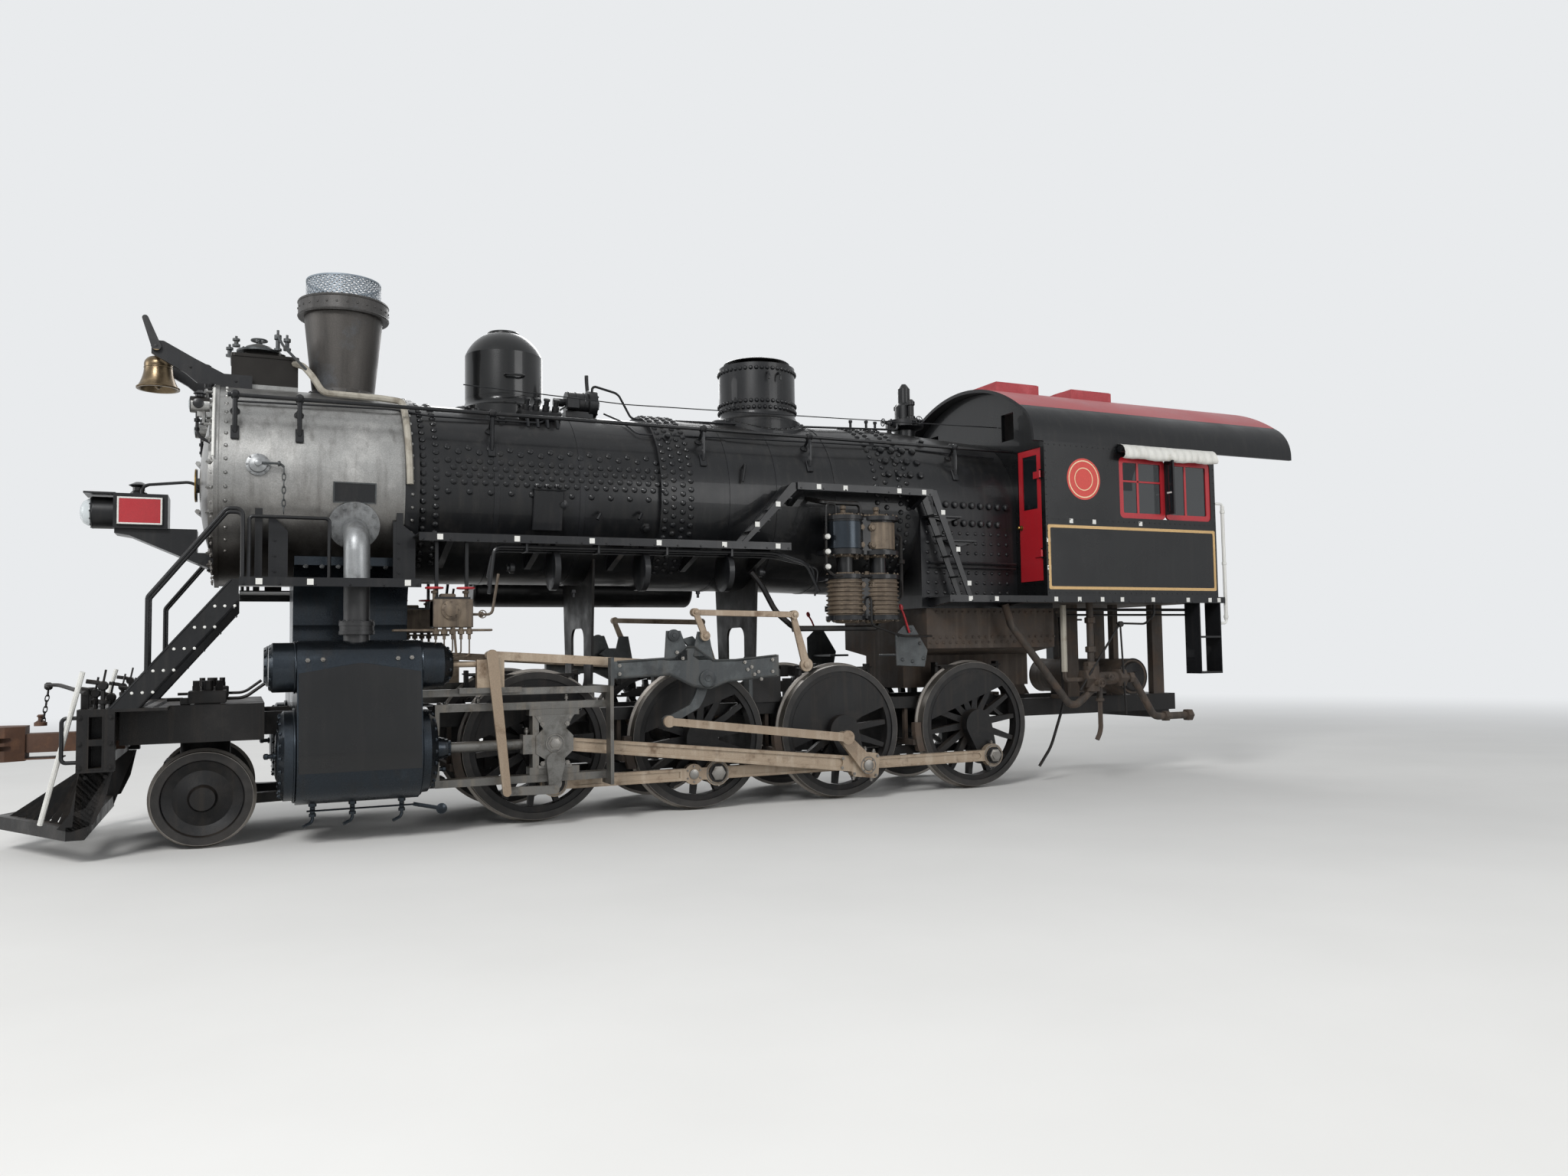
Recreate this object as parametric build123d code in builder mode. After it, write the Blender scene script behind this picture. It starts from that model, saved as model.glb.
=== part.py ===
# Steam locomotive, 2-8-0, facing -X, in millimetres, +Z up, standing on its wheel flanges
from build123d import *
from math import asin, atan2, cos, degrees, hypot, radians, sin, sqrt
import os

os.makedirs("parts", exist_ok=True)

# Stations are measured along the engine from the first driving axle, rearwards positive
coupler_reach = 4800
roof_reach = 9748
first_axle_x = (coupler_reach - roof_reach) / 2

# Clearances
seat_gap = 0.3
pin_gap = 0.5
running_gap = 8

# Wheels and axles
flange_height = 25.4
wheel_back = 680
tyre_width = 140
tread_diameter = 1448
lead_tread_diameter = 813
driver_stations = (0, 1702, 3378, 5156)
driver_axle_z = flange_height + tread_diameter / 2
lead_station = -2922
lead_axle_z = flange_height + lead_tread_diameter / 2
axle_radius = 118
lead_axle_radius = 80
spoke_count = 14
rim_depth = 128
hub_radius = 165

# Rods and crank pins
crank_radius = 381
left_crank_angle = -70
quarter_turn = 90
crank_pin_radius = 72
rod_inner = 912
side_rod_thick = 74
main_rod_inner = 1036
main_rod_thick = 92
main_rod_length = 3446
crank_pin_end = 1004
cylinder_axis_z = 790
motion_offset = 1090

# Main frame
frame_inner = 500
frame_thick = 115
top_rail_z = 955
top_rail_depth = 130
low_rail_z = 430
low_rail_depth = 90
jaw_half = 150
jaw_leg = 105

# Front end
beam_front = -3812
beam_depth = 172
beam_half = 1350
beam_low = 749
beam_high = 1228
coupler_z = 930
deck_plate = 25
deck_z = beam_high + deck_plate
deck_half = 980
deck_rear = -2440
apron_low = 932

# Cylinders
cylinder_front = -2196
cylinder_length = 1027
cylinder_radius = 430
valve_offset = 1205
valve_axis_z = 1560
valve_radius = 226
piston_rod_radius = 50

# Boiler
boiler_z = 3280
smokebox_radius = 948
smokebox_front_x = -2830
smokebox_rear_x = -1256
front_course_radius = 905
rear_course_radius = 955
course_step_x = 1262
cone_start_x = 2600
throat_radius = 1000
throat_x = 4350
wrapper_end_radius = 930
wrapper_end_x = 5600
backhead_x = 6250
firebox_low = 2100

# Cab
cab_front = 5732
cab_rear = 8373
cab_half = 1500
cab_wall = 45
cab_floor_z = 2225
eave_z = 4060
wall_top = eave_z - 40
shoulder_half = cab_half - 230
shoulder_z = 4470
roof_peak_z = 4880
roof_thick = 40
roof_front = 5592

# Running boards: name, front station, rear station, top height, inner edge, outer edge
board_plate = 12
board_lip = 76
board_rows = [
    dict(name="front", x0=-2653, x1=-1184, z=2330, inner=660, outer=1480, brackets=(-2500, -1300)),
    dict(name="middle", x0=-1184, x1=2554, z=2765, inner=815, outer=1330, brackets=(-900, -50, 800, 1600, 2380)),
    dict(name="raised", x0=2640, x1=4319, z=3410, inner=1000, outer=1330, brackets=(2720, 4240)),
    dict(name="cab", x0=4400, x1=8483, z=cab_floor_z, inner=1010, outer=cab_half, brackets=(4480, 5500)),
]

# Valve gear
gear_plane = 1230
gear_thick = 46
link_trunnion = (1622, 1373)
link_foot_radius = 587
eccentric_radius = 171
eccentric_turn = -96
eccentric_rod_length = 2019.4
union_link_length = 466
lever_foot_z = 370


def at(station):
    """Model X of a station measured from the first driving axle."""
    return first_axle_x + station


def side_plane(side, depth):
    """Plane facing the left of the engine, at a distance outboard on the given side."""
    return Plane.XZ.offset(-side * depth)


def block(x0, x1, y0, y1, z0, z1, mode=Mode.ADD):
    """Box between two corners, joined to the part being built."""
    with Locations(((x0 + x1) / 2, (y0 + y1) / 2, (z0 + z1) / 2)):
        Box(x1 - x0, y1 - y0, z1 - z0, mode=mode)


def tapered_bar(start, end, start_radius, end_radius):
    """Bar with round ends, in the sketch being drawn."""
    with BuildSketch(mode=Mode.PRIVATE) as bar:
        with Locations(start):
            Circle(start_radius)
        with Locations(end):
            Circle(end_radius)
        make_hull()
    add(bar.sketch)


def boiler_cut(radius, x0, x1):
    """Takes the boiler's round away from the part being built."""
    with Locations(((x0 + x1) / 2, 0, boiler_z)):
        Cylinder(radius + seat_gap, x1 - x0, rotation=(0, 90, 0), mode=Mode.SUBTRACT)


def shell_radius(station):
    """Outside radius of the boiler at a station."""
    if station < smokebox_rear_x + 130:
        return smokebox_radius
    if station < course_step_x:
        return front_course_radius
    if station < cone_start_x:
        return rear_course_radius
    if station < throat_x:
        share = (station - cone_start_x) / (throat_x - cone_start_x)
        return rear_course_radius + share * (throat_radius - rear_course_radius)
    share = min(1, (station - throat_x) / (wrapper_end_x - throat_x))
    return throat_radius - share * (throat_radius - wrapper_end_radius)


def side_block(side, x0, x1, inner, outer, z0, z1, mode=Mode.ADD):
    """Box on one side of the engine, between two distances from the centre plane."""
    block(x0, x1, min(side * inner, side * outer), max(side * inner, side * outer), z0, z1, mode=mode)


def pin_point(station, angle):
    """Crank pin of a driving wheel, as X and Z."""
    x = at(station) + crank_radius * cos(radians(angle))
    z = driver_axle_z + crank_radius * sin(radians(angle))
    return (x, z)


LEFT = -1
RIGHT = 1
crank_angles = {LEFT: left_crank_angle, RIGHT: left_crank_angle + quarter_turn}
side_names = {LEFT: "left", RIGHT: "right"}
lateral_axis = (0, 1, 0)


def wrist_point(side):
    """Wrist pin of a crosshead, from the third crank pin and the main rod's length."""
    pin = pin_point(driver_stations[2], crank_angles[side])
    return (pin[0] - sqrt(main_rod_length ** 2 - (pin[1] - cylinder_axis_z) ** 2), cylinder_axis_z)


def eccentric_point(side):
    """Small pin of a return crank, as X and Z."""
    turn = radians(crank_angles[side] + eccentric_turn)
    x = at(driver_stations[2]) + eccentric_radius * cos(turn)
    return (x, driver_axle_z + eccentric_radius * sin(turn))


def link_foot_point(side):
    """Foot of an expansion link, where the eccentric rod's length meets the foot's circle."""
    pin = eccentric_point(side)
    centre = (at(link_trunnion[0]), link_trunnion[1])
    span = hypot(pin[0] - centre[0], pin[1] - centre[1])
    along = (link_foot_radius ** 2 - eccentric_rod_length ** 2 + span ** 2) / (2 * span)
    across = sqrt(link_foot_radius ** 2 - along ** 2)
    ux = (pin[0] - centre[0]) / span
    uz = (pin[1] - centre[1]) / span
    return (centre[0] + along * ux + across * uz, centre[1] + along * uz - across * ux)

# Driving wheels on their axles: number, station and depth of the balance weight
driver_rows = [
    dict(number=1, station=driver_stations[0], weight=330),
    dict(number=2, station=driver_stations[1], weight=330),
    dict(number=3, station=driver_stations[2], weight=560),
    dict(number=4, station=driver_stations[3], weight=330),
]
tread_radius = tread_diameter / 2
flange_radius = tread_radius + flange_height
rim_radius = tread_radius - rim_depth
tyre_inner = tread_radius - 72

for row in driver_rows:
    centre = (at(row["station"]), driver_axle_z)
    axle_line = Axis((centre[0], 0, centre[1]), lateral_axis)
    with BuildPart() as driver:
        with BuildSketch(Plane.XZ.offset(-wheel_back)):
            with Locations(centre):
                Circle(axle_radius)
        extrude(amount=2 * wheel_back)
        for side in (LEFT, RIGHT):
            angle = crank_angles[side]
            pin = pin_point(row["station"], angle)
            # Tyre and rim
            with BuildSketch(Plane((centre[0], 0, centre[1]), x_dir=(0, 1, 0), z_dir=(1, 0, 0))):
                with BuildLine():
                    Polyline(
                        (side * wheel_back, rim_radius),
                        (side * wheel_back, flange_radius),
                        (side * (wheel_back + 22), flange_radius),
                        (side * (wheel_back + 34), tread_radius),
                        (side * (wheel_back + tyre_width), tread_radius - 4),
                        (side * (wheel_back + tyre_width), tyre_inner),
                        (side * (wheel_back + tyre_width - 14), tyre_inner),
                        (side * (wheel_back + tyre_width - 14), rim_radius),
                        close=True,
                    )
                make_face()
            revolve(axis=axle_line)
            # Spokes
            with BuildSketch(side_plane(side, wheel_back + 30)):
                with Locations(centre):
                    with PolarLocations(0, spoke_count, start_angle=angle):
                        with Locations((rim_radius / 2 + 20, 0)):
                            Trapezoid(88, rim_radius - 60, 88, rotation=-90)
            extrude(amount=-side * 74)
            # Hub, crank boss and balance weight
            with BuildSketch(side_plane(side, wheel_back - 20)):
                with Locations(centre):
                    Circle(hub_radius)
            extrude(amount=-side * 190)
            with BuildSketch(side_plane(side, wheel_back + 20)):
                tapered_bar(centre, pin, hub_radius + 10, 118)
            extrude(amount=-side * (rod_inner - running_gap - wheel_back - 20))
            with BuildSketch(side_plane(side, wheel_back + 12)):
                with Locations(centre):
                    Circle(rim_radius + 6)
                reach = rim_radius + 6 - row["weight"]
                with Locations(Location((centre[0], centre[1], 0), (0, 0, angle + 180))):
                    with Locations((reach - rim_radius, 0)):
                        Rectangle(2 * rim_radius, 3 * rim_radius, mode=Mode.SUBTRACT)
            extrude(amount=-side * 118)
            # Crank pin with its collar
            with BuildSketch(side_plane(side, rod_inner - running_gap - 1)):
                with Locations(pin):
                    Circle(crank_pin_radius)
            extrude(amount=-side * (crank_pin_end - rod_inner + running_gap + 1))
            with BuildSketch(side_plane(side, rod_inner + side_rod_thick + pin_gap)):
                with Locations(pin):
                    Circle(crank_pin_radius + 26)
            extrude(amount=-side * 16)
    name = f"driving_wheels_{row['number']}"
    driver.part.label = name
    export_step(driver.part, f"parts/{name}.step")

# Leading wheels: solid discs on one axle
lead_x = at(lead_station)
lead_radius = lead_tread_diameter / 2
with BuildPart() as lead_wheels:
    with BuildSketch(Plane((lead_x, 0, lead_axle_z), x_dir=(0, 1, 0), z_dir=(1, 0, 0))):
        with BuildLine():
            Polyline(
                (-850, 0),
                (-850, 100),
                (-790, 120),
                (-760, 240),
                (-790, lead_radius - 85),
                (-wheel_back - tyre_width, lead_radius - 75),
                (-wheel_back - tyre_width, lead_radius - 3),
                (-wheel_back - 34, lead_radius),
                (-wheel_back - 22, lead_radius + flange_height),
                (-wheel_back, lead_radius + flange_height),
                (-wheel_back, lead_radius - 80),
                (-700, 240),
                (-690, 130),
                (-650, 120),
                (-650, lead_axle_radius),
                (0, lead_axle_radius),
                (0, 0),
                close=True,
            )
        make_face()
    revolve(axis=Axis((lead_x, 0, lead_axle_z), lateral_axis))
    mirror(about=Plane.XZ)
lead_wheels.part.label = "lead_wheels"
export_step(lead_wheels.part, "parts/lead_wheels.step")

# Leading truck: journal boxes, cross frame and radius bars back to the pivot pin
pivot_station = -880
pivot_x = at(pivot_station)
truck_low = 330
with BuildPart() as lead_truck:
    with BuildSketch(Plane.XY.offset(truck_low)):
        with BuildLine():
            Polyline(
                (lead_x - 330, 560),
                (lead_x + 200, 560),
                (pivot_x - 60, 130),
                (pivot_x + 110, 130),
                (pivot_x + 110, 0),
                (lead_x - 330, 0),
                close=True,
            )
        make_face()
        with BuildLine():
            Polyline(
                (lead_x + 170, 440),
                (pivot_x - 250, 90),
                (pivot_x - 250, 0),
                (lead_x + 170, 0),
                close=True,
            )
        make_face(mode=Mode.SUBTRACT)
        with Locations((lead_x, 0)):
            Rectangle(2 * lead_axle_radius + 40, 800, mode=Mode.SUBTRACT)
    extrude(amount=90)
    # Journal boxes over the axle, swing bolster and its centre plate
    block(lead_x - 150, lead_x + 150, 430, 560, truck_low, 610)
    block(lead_x - 330, lead_x - 230, 0, 560, truck_low, 640)
    block(lead_x + 170, lead_x + 250, 0, 470, truck_low, 640)
    block(lead_x - 330, lead_x + 250, 0, 260, 600, 720)
    with BuildSketch(Plane.XZ.offset(-600)):
        with Locations((lead_x, lead_axle_z)):
            Circle(lead_axle_radius + pin_gap)
    extrude(amount=600, mode=Mode.SUBTRACT)
    with BuildSketch(Plane.XY.offset(truck_low - 5)):
        with Locations((pivot_x, 0)):
            Circle(50 + pin_gap)
    extrude(amount=100, mode=Mode.SUBTRACT)
    mirror(about=Plane.XZ)
    with BuildSketch(Plane.XY.offset(720)):
        with Locations((lead_x, 0)):
            Circle(210)
    extrude(amount=180)
lead_truck.part.label = "lead_truck"
export_step(lead_truck.part, "parts/lead_truck.step")

# Main frame: two bar frames with pedestals, joined by ties
frame_front = beam_front + beam_depth
frame_rear = 8460
with BuildPart() as main_frame:
    with BuildSketch(Plane.XZ.offset(frame_inner)):
        with BuildLine():
            Polyline(
                (at(frame_front), top_rail_z),
                (at(-560), top_rail_z),
                (at(driver_stations[3] + 380), top_rail_z),
                (at(driver_stations[3] + 600), 800),
                (at(frame_rear), 800),
                (at(frame_rear), 1010),
                (at(driver_stations[3] + 620), 1010),
                (at(driver_stations[3] + 380), top_rail_z + top_rail_depth),
                (at(-560), top_rail_z + top_rail_depth),
                (at(-950), 1160),
                (at(frame_front), 1160),
                close=True,
            )
        make_face()
        for station in driver_stations:
            for leg in (-1, 1):
                with Locations((at(station) + leg * (jaw_half + jaw_leg / 2), 700)):
                    Rectangle(jaw_leg, 540)
        low_length = driver_stations[3] + 2 * (jaw_half + jaw_leg)
        with Locations((at(driver_stations[3] / 2), low_rail_z + low_rail_depth / 2)):
            Rectangle(low_length, low_rail_depth)
    extrude(amount=frame_thick)
    mirror(about=Plane.XZ)
    # Ties across the frames: station, length, lowest and highest point
    tie_rows = [
        dict(x=-3500, length=140, low=950, high=1150),
        dict(x=lead_station, length=420, low=908, high=1060),
        dict(x=-880, length=260, low=960, high=1060),
        dict(x=640, length=60, low=560, high=1085),
        dict(x=2480, length=60, low=560, high=1085),
        dict(x=4230, length=60, low=560, high=1085),
        dict(x=5900, length=120, low=800, high=1010),
        dict(x=8300, length=320, low=700, high=1010),
    ]
    tie_half = frame_inner - seat_gap
    for tie in tie_rows:
        half = tie["length"] / 2
        block(at(tie["x"]) - half, at(tie["x"]) + half, -tie_half, tie_half, tie["low"], tie["high"])
    # Pocket and pin hole of the drawbar, open to the rear
    drawbar_pin = 55
    block(at(8240), at(8460), -170, 170, 790, 900, mode=Mode.SUBTRACT)
    with BuildSketch(Plane.XY.offset(690)):
        with Locations((at(8360), 0)):
            Circle(drawbar_pin)
    extrude(amount=100, mode=Mode.SUBTRACT)
    # Pivot pin of the leading truck, hung from its tie
    with BuildSketch(Plane.XY.offset(truck_low - 20)):
        with Locations((pivot_x, 0)):
            Circle(50)
    extrude(amount=960 - truck_low + 20)
    # Waist sheets that carry the boiler
    for station, radius in ((640, front_course_radius), (2480, rear_course_radius)):
        with BuildSketch(Plane.YZ.offset(at(station) - 13)):
            with BuildLine():
                Polyline((-480, 1060), (480, 1060), (620, 2700), (-620, 2700), close=True)
            make_face()
            with Locations((0, boiler_z)):
                Circle(radius + seat_gap, mode=Mode.SUBTRACT)
            with Locations((0, 1600)):
                RectangleRounded(500, 620, 120, mode=Mode.SUBTRACT)
        extrude(amount=26)
main_frame.part.label = "main_frame"
export_step(main_frame.part, "parts/main_frame.step")

# Axle boxes in their pedestals, and the leaf springs over them, seated on the frame
spring_low = top_rail_z + top_rail_depth
leaf_rows = 6
leaf_step = 22
with BuildPart() as axle_boxes:
    with BuildSketch(Plane.XZ.offset(frame_inner - 25)):
        for station in driver_stations:
            with Locations((at(station), driver_axle_z)):
                RectangleRounded(2 * jaw_half, 330, 30)
                Circle(axle_radius + pin_gap, mode=Mode.SUBTRACT)
    extrude(amount=frame_thick + 50)
    with BuildSketch(Plane.XZ.offset(frame_inner + 10)):
        for station in driver_stations:
            for leaf in range(leaf_rows):
                with Locations((at(station), spring_low + 60 + leaf_step * (leaf + 0.5))):
                    Rectangle(940 - 124 * leaf, leaf_step)
            with Locations((at(station), spring_low + 110)):
                Rectangle(90, 220)
    extrude(amount=frame_thick - 20)
    mirror(about=Plane.XZ)
axle_boxes.part.label = "axle_boxes"
export_step(axle_boxes.part, "parts/axle_boxes.step")

# Pilot beam with its cast ends
with BuildPart() as pilot_beam:
    block(at(beam_front), at(frame_front), -beam_half, beam_half, beam_low, beam_high)
    for side in (LEFT, RIGHT):
        side_block(side, at(beam_front), at(beam_front) + 265, beam_half - 120, beam_half, beam_low, beam_high)
        with BuildSketch(side_plane(side, beam_half - 200)):
            with GridLocations(0, 230, 1, 2):
                with Locations((at(beam_front) + 132, (beam_low + beam_high) / 2)):
                    Rectangle(96, 180)
        extrude(amount=-side * 201, mode=Mode.SUBTRACT)
    # Pocket for the coupler's shank
    block(at(beam_front) - 1, at(frame_front) + 1, -115, 115, coupler_z - 90, coupler_z + 90, mode=Mode.SUBTRACT)
pilot_beam.part.label = "pilot_beam"
export_step(pilot_beam.part, "parts/pilot_beam.step")

# Front deck with side aprons
with BuildPart() as front_deck:
    block(at(beam_front), at(beam_front + 640), -beam_half, beam_half, deck_z - deck_plate, deck_z)
    block(at(beam_front), at(deck_rear), -deck_half, deck_half, deck_z - deck_plate, deck_z)
    for side in (LEFT, RIGHT):
        x0 = at(frame_front) + 96
        side_block(side, x0, at(deck_rear), deck_half - 30, deck_half, apron_low, deck_z - 1)
        side_block(side, x0, at(deck_rear), frame_inner, frame_inner + frame_thick, 1160, deck_z - 1)
    for side in (LEFT, RIGHT):
        side_block(side, at(-2990), at(-2790), deck_half - 190, deck_half - 30, deck_z - 1, deck_z + 120)
        with Locations((at(-2890), side * (deck_half - 110), deck_z + 160)):
            Cylinder(46, 90)
front_deck.part.label = "front_deck"
export_step(front_deck.part, "parts/front_deck.step")

# Pilot: slanted bars between a top bar and a pointed foot frame
pilot_bars = 8
pilot_top_x = beam_front - 30
pilot_top_z = 700
pilot_toe = -4560
pilot_heel = -3890
pilot_half = 1200
pilot_low = 200
with BuildPart() as pilot:
    with BuildSketch(Plane.XY.offset(pilot_low)):
        with BuildLine():
            Polyline(
                (at(pilot_toe), 0),
                (at(pilot_heel), pilot_half),
                (at(pilot_heel) + 130, pilot_half),
                (at(pilot_heel) + 130, 0),
                close=True,
            )
        make_face()
        with BuildLine():
            Polyline(
                (at(pilot_toe) + 150, 0),
                (at(pilot_heel) + 20, pilot_half - 190),
                (at(pilot_heel) + 50, pilot_half - 190),
                (at(pilot_heel) + 50, 0),
                close=True,
            )
        make_face(mode=Mode.SUBTRACT)
    extrude(amount=110)
    block(at(pilot_top_x) - 30, at(beam_front) + 80, 0, 560, pilot_top_z - 50, beam_low)
    for bar in range(pilot_bars):
        share = (bar + 0.5) / pilot_bars
        foot = Vector(
            at(pilot_toe + (pilot_heel - pilot_toe) * share) + 50,
            pilot_half * share * 0.97,
            pilot_low + 60,
        )
        head = Vector(at(pilot_top_x), 530 * share, pilot_top_z)
        run = head - foot
        with BuildSketch(Plane(foot, x_dir=(0, 1, 0), z_dir=run)):
            Rectangle(52, 46)
        extrude(amount=run.length)
    # Back brackets that hang the pilot from the beam
    with BuildSketch(Plane.XZ.offset(-pilot_half)):
        with BuildLine():
            Polyline(
                (at(pilot_heel) + 40, pilot_low + 20),
                (at(pilot_heel) + 130, pilot_low + 20),
                (at(frame_front) + 60, beam_low),
                (at(beam_front), beam_low),
                close=True,
            )
        make_face()
    extrude(amount=60)
    mirror(about=Plane.XZ)
pilot.part.label = "pilot"
export_step(pilot.part, "parts/pilot.step")

# Front coupler: shank, head with its guard arm, and the hinged knuckle
coupler_face = at(-coupler_reach)
knuckle_pin_x = coupler_face + 190
knuckle_pin_y = 118
with BuildPart() as coupler:
    block(coupler_face + 420, at(-3570) - seat_gap, -95, 95, coupler_z - 82, coupler_z + 82)
    with BuildSketch(Plane.XY.offset(coupler_z - 150)):
        with BuildLine():
            Polyline(
                (coupler_face + 470, -120),
                (coupler_face + 330, -190),
                (coupler_face + 20, -235),
                (coupler_face, -215),
                (coupler_face + 60, -120),
                (coupler_face + 200, -30),
                (coupler_face + 215, 60),
                (coupler_face + 270, 110),
                (coupler_face + 300, 190),
                (coupler_face + 470, 120),
                close=True,
            )
        make_face()
    extrude(amount=300)
    # Ears above and below the knuckle, with its pin
    for low in (coupler_z - 150, coupler_z + 115):
        with BuildSketch(Plane.XY.offset(low)):
            with BuildLine():
                Polyline(
                    (coupler_face + 300, 190),
                    (coupler_face + 150, 180),
                    (coupler_face + 120, 110),
                    (coupler_face + 190, 60),
                    (coupler_face + 330, 40),
                    close=True,
                )
            make_face()
        extrude(amount=35)
    with BuildSketch(Plane.XY.offset(coupler_z - 150)):
        with Locations((knuckle_pin_x, knuckle_pin_y)):
            Circle(20)
    extrude(amount=300)
    # Lightening slots in the guard arm
    with BuildSketch(Plane.XZ.offset(150)):
        with Locations((coupler_face + 150, coupler_z), (coupler_face + 330, coupler_z)):
            with GridLocations(0, 70, 1, 2):
                RectangleRounded(90, 42, 12)
    extrude(amount=110, mode=Mode.SUBTRACT)
coupler.part.label = "coupler"
export_step(coupler.part, "parts/coupler.step")

with BuildPart() as coupler_knuckle:
    with BuildSketch(Plane.XY.offset(coupler_z - 112)):
        with BuildLine():
            Polyline(
                (coupler_face + 205, 90),
                (coupler_face + 195, 0),
                (coupler_face + 150, -40),
                (coupler_face + 85, -60),
                (coupler_face + 55, -30),
                (coupler_face + 95, 5),
                (coupler_face + 20, 40),
                (coupler_face + 5, 95),
                (coupler_face + 40, 150),
                (coupler_face + 130, 170),
                (coupler_face + 225, 160),
                close=True,
            )
        make_face()
        with Locations((knuckle_pin_x, knuckle_pin_y)):
            Circle(20 + pin_gap, mode=Mode.SUBTRACT)
    extrude(amount=224)
coupler_knuckle.part.label = "coupler_knuckle"
export_step(coupler_knuckle.part, "parts/coupler_knuckle.step")

# Cylinders with valve chests, cast with the saddle under the smokebox
with BuildPart() as cylinders:
    with BuildSketch(Plane.YZ.offset(at(cylinder_front))):
        with BuildSketch(mode=Mode.PRIVATE) as jacket:
            with Locations((-motion_offset, cylinder_axis_z)):
                Circle(cylinder_radius)
            with Locations((-valve_offset, valve_axis_z)):
                Circle(valve_radius)
            make_hull()
        add(jacket.sketch)
        with BuildLine():
            Line((0, 1165), (-motion_offset + 100, 1165))
            Line((-motion_offset + 100, 1165), (-motion_offset + 150, 1500))
            Line((-motion_offset + 150, 1500), (-640, 1500))
            ThreePointArc((-640, 1500), (-440, 1650), (-380, 1950))
            ThreePointArc((-380, 1950), (-430, 2250), (-640, 2500))
            Line((-640, 2500), (-640, 2620))
            Line((-640, 2620), (0, 2620))
            Line((0, 2620), (0, 1165))
        make_face()
        with Locations((0, boiler_z)):
            Circle(smokebox_radius + seat_gap, mode=Mode.SUBTRACT)
    extrude(amount=cylinder_length)
    # Webs that bolt the cylinders to the outside of the frames
    web_inner = -(frame_inner + frame_thick)
    block(at(cylinder_front + 120), at(cylinder_front + 900), -motion_offset + 250, web_inner, 700, 1300)
    mirror(about=Plane.XZ)
    # Piston rod's bore
    with BuildSketch(Plane.YZ.offset(at(cylinder_front + cylinder_length) + 1)):
        with Locations((-motion_offset, cylinder_axis_z), (motion_offset, cylinder_axis_z)):
            Circle(piston_rod_radius + pin_gap)
    extrude(amount=-760, mode=Mode.SUBTRACT)
cylinders.part.label = "cylinders"
export_step(cylinders.part, "parts/cylinders.step")

# Cylinder and valve chest covers
cylinder_rear = cylinder_front + cylinder_length
with BuildPart() as cylinder_covers:
    with BuildSketch(Plane.XZ.offset(motion_offset)):
        with BuildLine():
            Polyline(
                (at(cylinder_front), cylinder_axis_z),
                (at(cylinder_front), cylinder_axis_z + 392),
                (at(cylinder_front) - 96, cylinder_axis_z + 392),
                (at(cylinder_front) - 136, cylinder_axis_z + 340),
                (at(cylinder_front) - 142, cylinder_axis_z),
                close=True,
            )
        make_face()
        with BuildLine():
            Polyline(
                (at(cylinder_rear), cylinder_axis_z),
                (at(cylinder_rear), cylinder_axis_z + 392),
                (at(cylinder_rear) + 80, cylinder_axis_z + 385),
                (at(cylinder_rear) + 150, cylinder_axis_z + 300),
                (at(cylinder_rear) + 150, cylinder_axis_z + 115),
                (at(cylinder_rear) + 240, cylinder_axis_z + 95),
                (at(cylinder_rear) + 240, cylinder_axis_z),
                close=True,
            )
        make_face()
    revolve(axis=Axis((0, -motion_offset, cylinder_axis_z), (1, 0, 0)))
    with BuildSketch(Plane.XZ.offset(valve_offset)):
        with BuildLine():
            Polyline(
                (at(cylinder_front), valve_axis_z),
                (at(cylinder_front), valve_axis_z + 215),
                (at(cylinder_front) - 190, valve_axis_z + 215),
                (at(cylinder_front) - 222, valve_axis_z + 180),
                (at(cylinder_front) - 222, valve_axis_z),
                close=True,
            )
        make_face()
        with BuildLine():
            Polyline(
                (at(cylinder_rear), valve_axis_z),
                (at(cylinder_rear), valve_axis_z + 215),
                (at(cylinder_rear) + 200, valve_axis_z + 205),
                (at(cylinder_rear) + 288, valve_axis_z + 120),
                (at(cylinder_rear) + 288, valve_axis_z),
                close=True,
            )
        make_face()
    revolve(axis=Axis((0, -valve_offset, valve_axis_z), (1, 0, 0)))
    with BuildSketch(Plane.YZ.offset(at(cylinder_rear) - 1)):
        with Locations((-motion_offset, cylinder_axis_z)):
            Circle(piston_rod_radius + pin_gap)
    extrude(amount=260, mode=Mode.SUBTRACT)
    mirror(about=Plane.XZ)
cylinder_covers.part.label = "cylinder_covers"
export_step(cylinder_covers.part, "parts/cylinder_covers.step")

# Steam pipes from the smokebox down to the valve chests
steam_pipe_x = at(-1700)
steam_pipe_radius = 112
with BuildPart() as steam_pipes:
    with BuildLine() as pipe_path:
        FilletPolyline(
            (steam_pipe_x, -760, 2860),
            (steam_pipe_x, -1170, 2720),
            (steam_pipe_x, -1190, valve_axis_z + 120),
            radius=180,
        )
    with BuildSketch(Plane(pipe_path.line @ 0, z_dir=pipe_path.line % 0)):
        Circle(steam_pipe_radius)
    sweep(path=pipe_path.line)
    boiler_cut(smokebox_radius, at(smokebox_front_x), at(smokebox_rear_x))
    with BuildSketch(Plane.YZ.offset(at(cylinder_front))):
        with Locations((-valve_offset, valve_axis_z)):
            Circle(valve_radius + seat_gap)
    extrude(amount=cylinder_length, mode=Mode.SUBTRACT)
    with BuildSketch(Plane.XY.offset(1840)):
        with Locations((steam_pipe_x, -1190)):
            Circle(steam_pipe_radius + 34)
    extrude(amount=120)
    mirror(about=Plane.XZ)
steam_pipes.part.label = "steam_pipes"
export_step(steam_pipes.part, "parts/steam_pipes.step")

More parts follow.
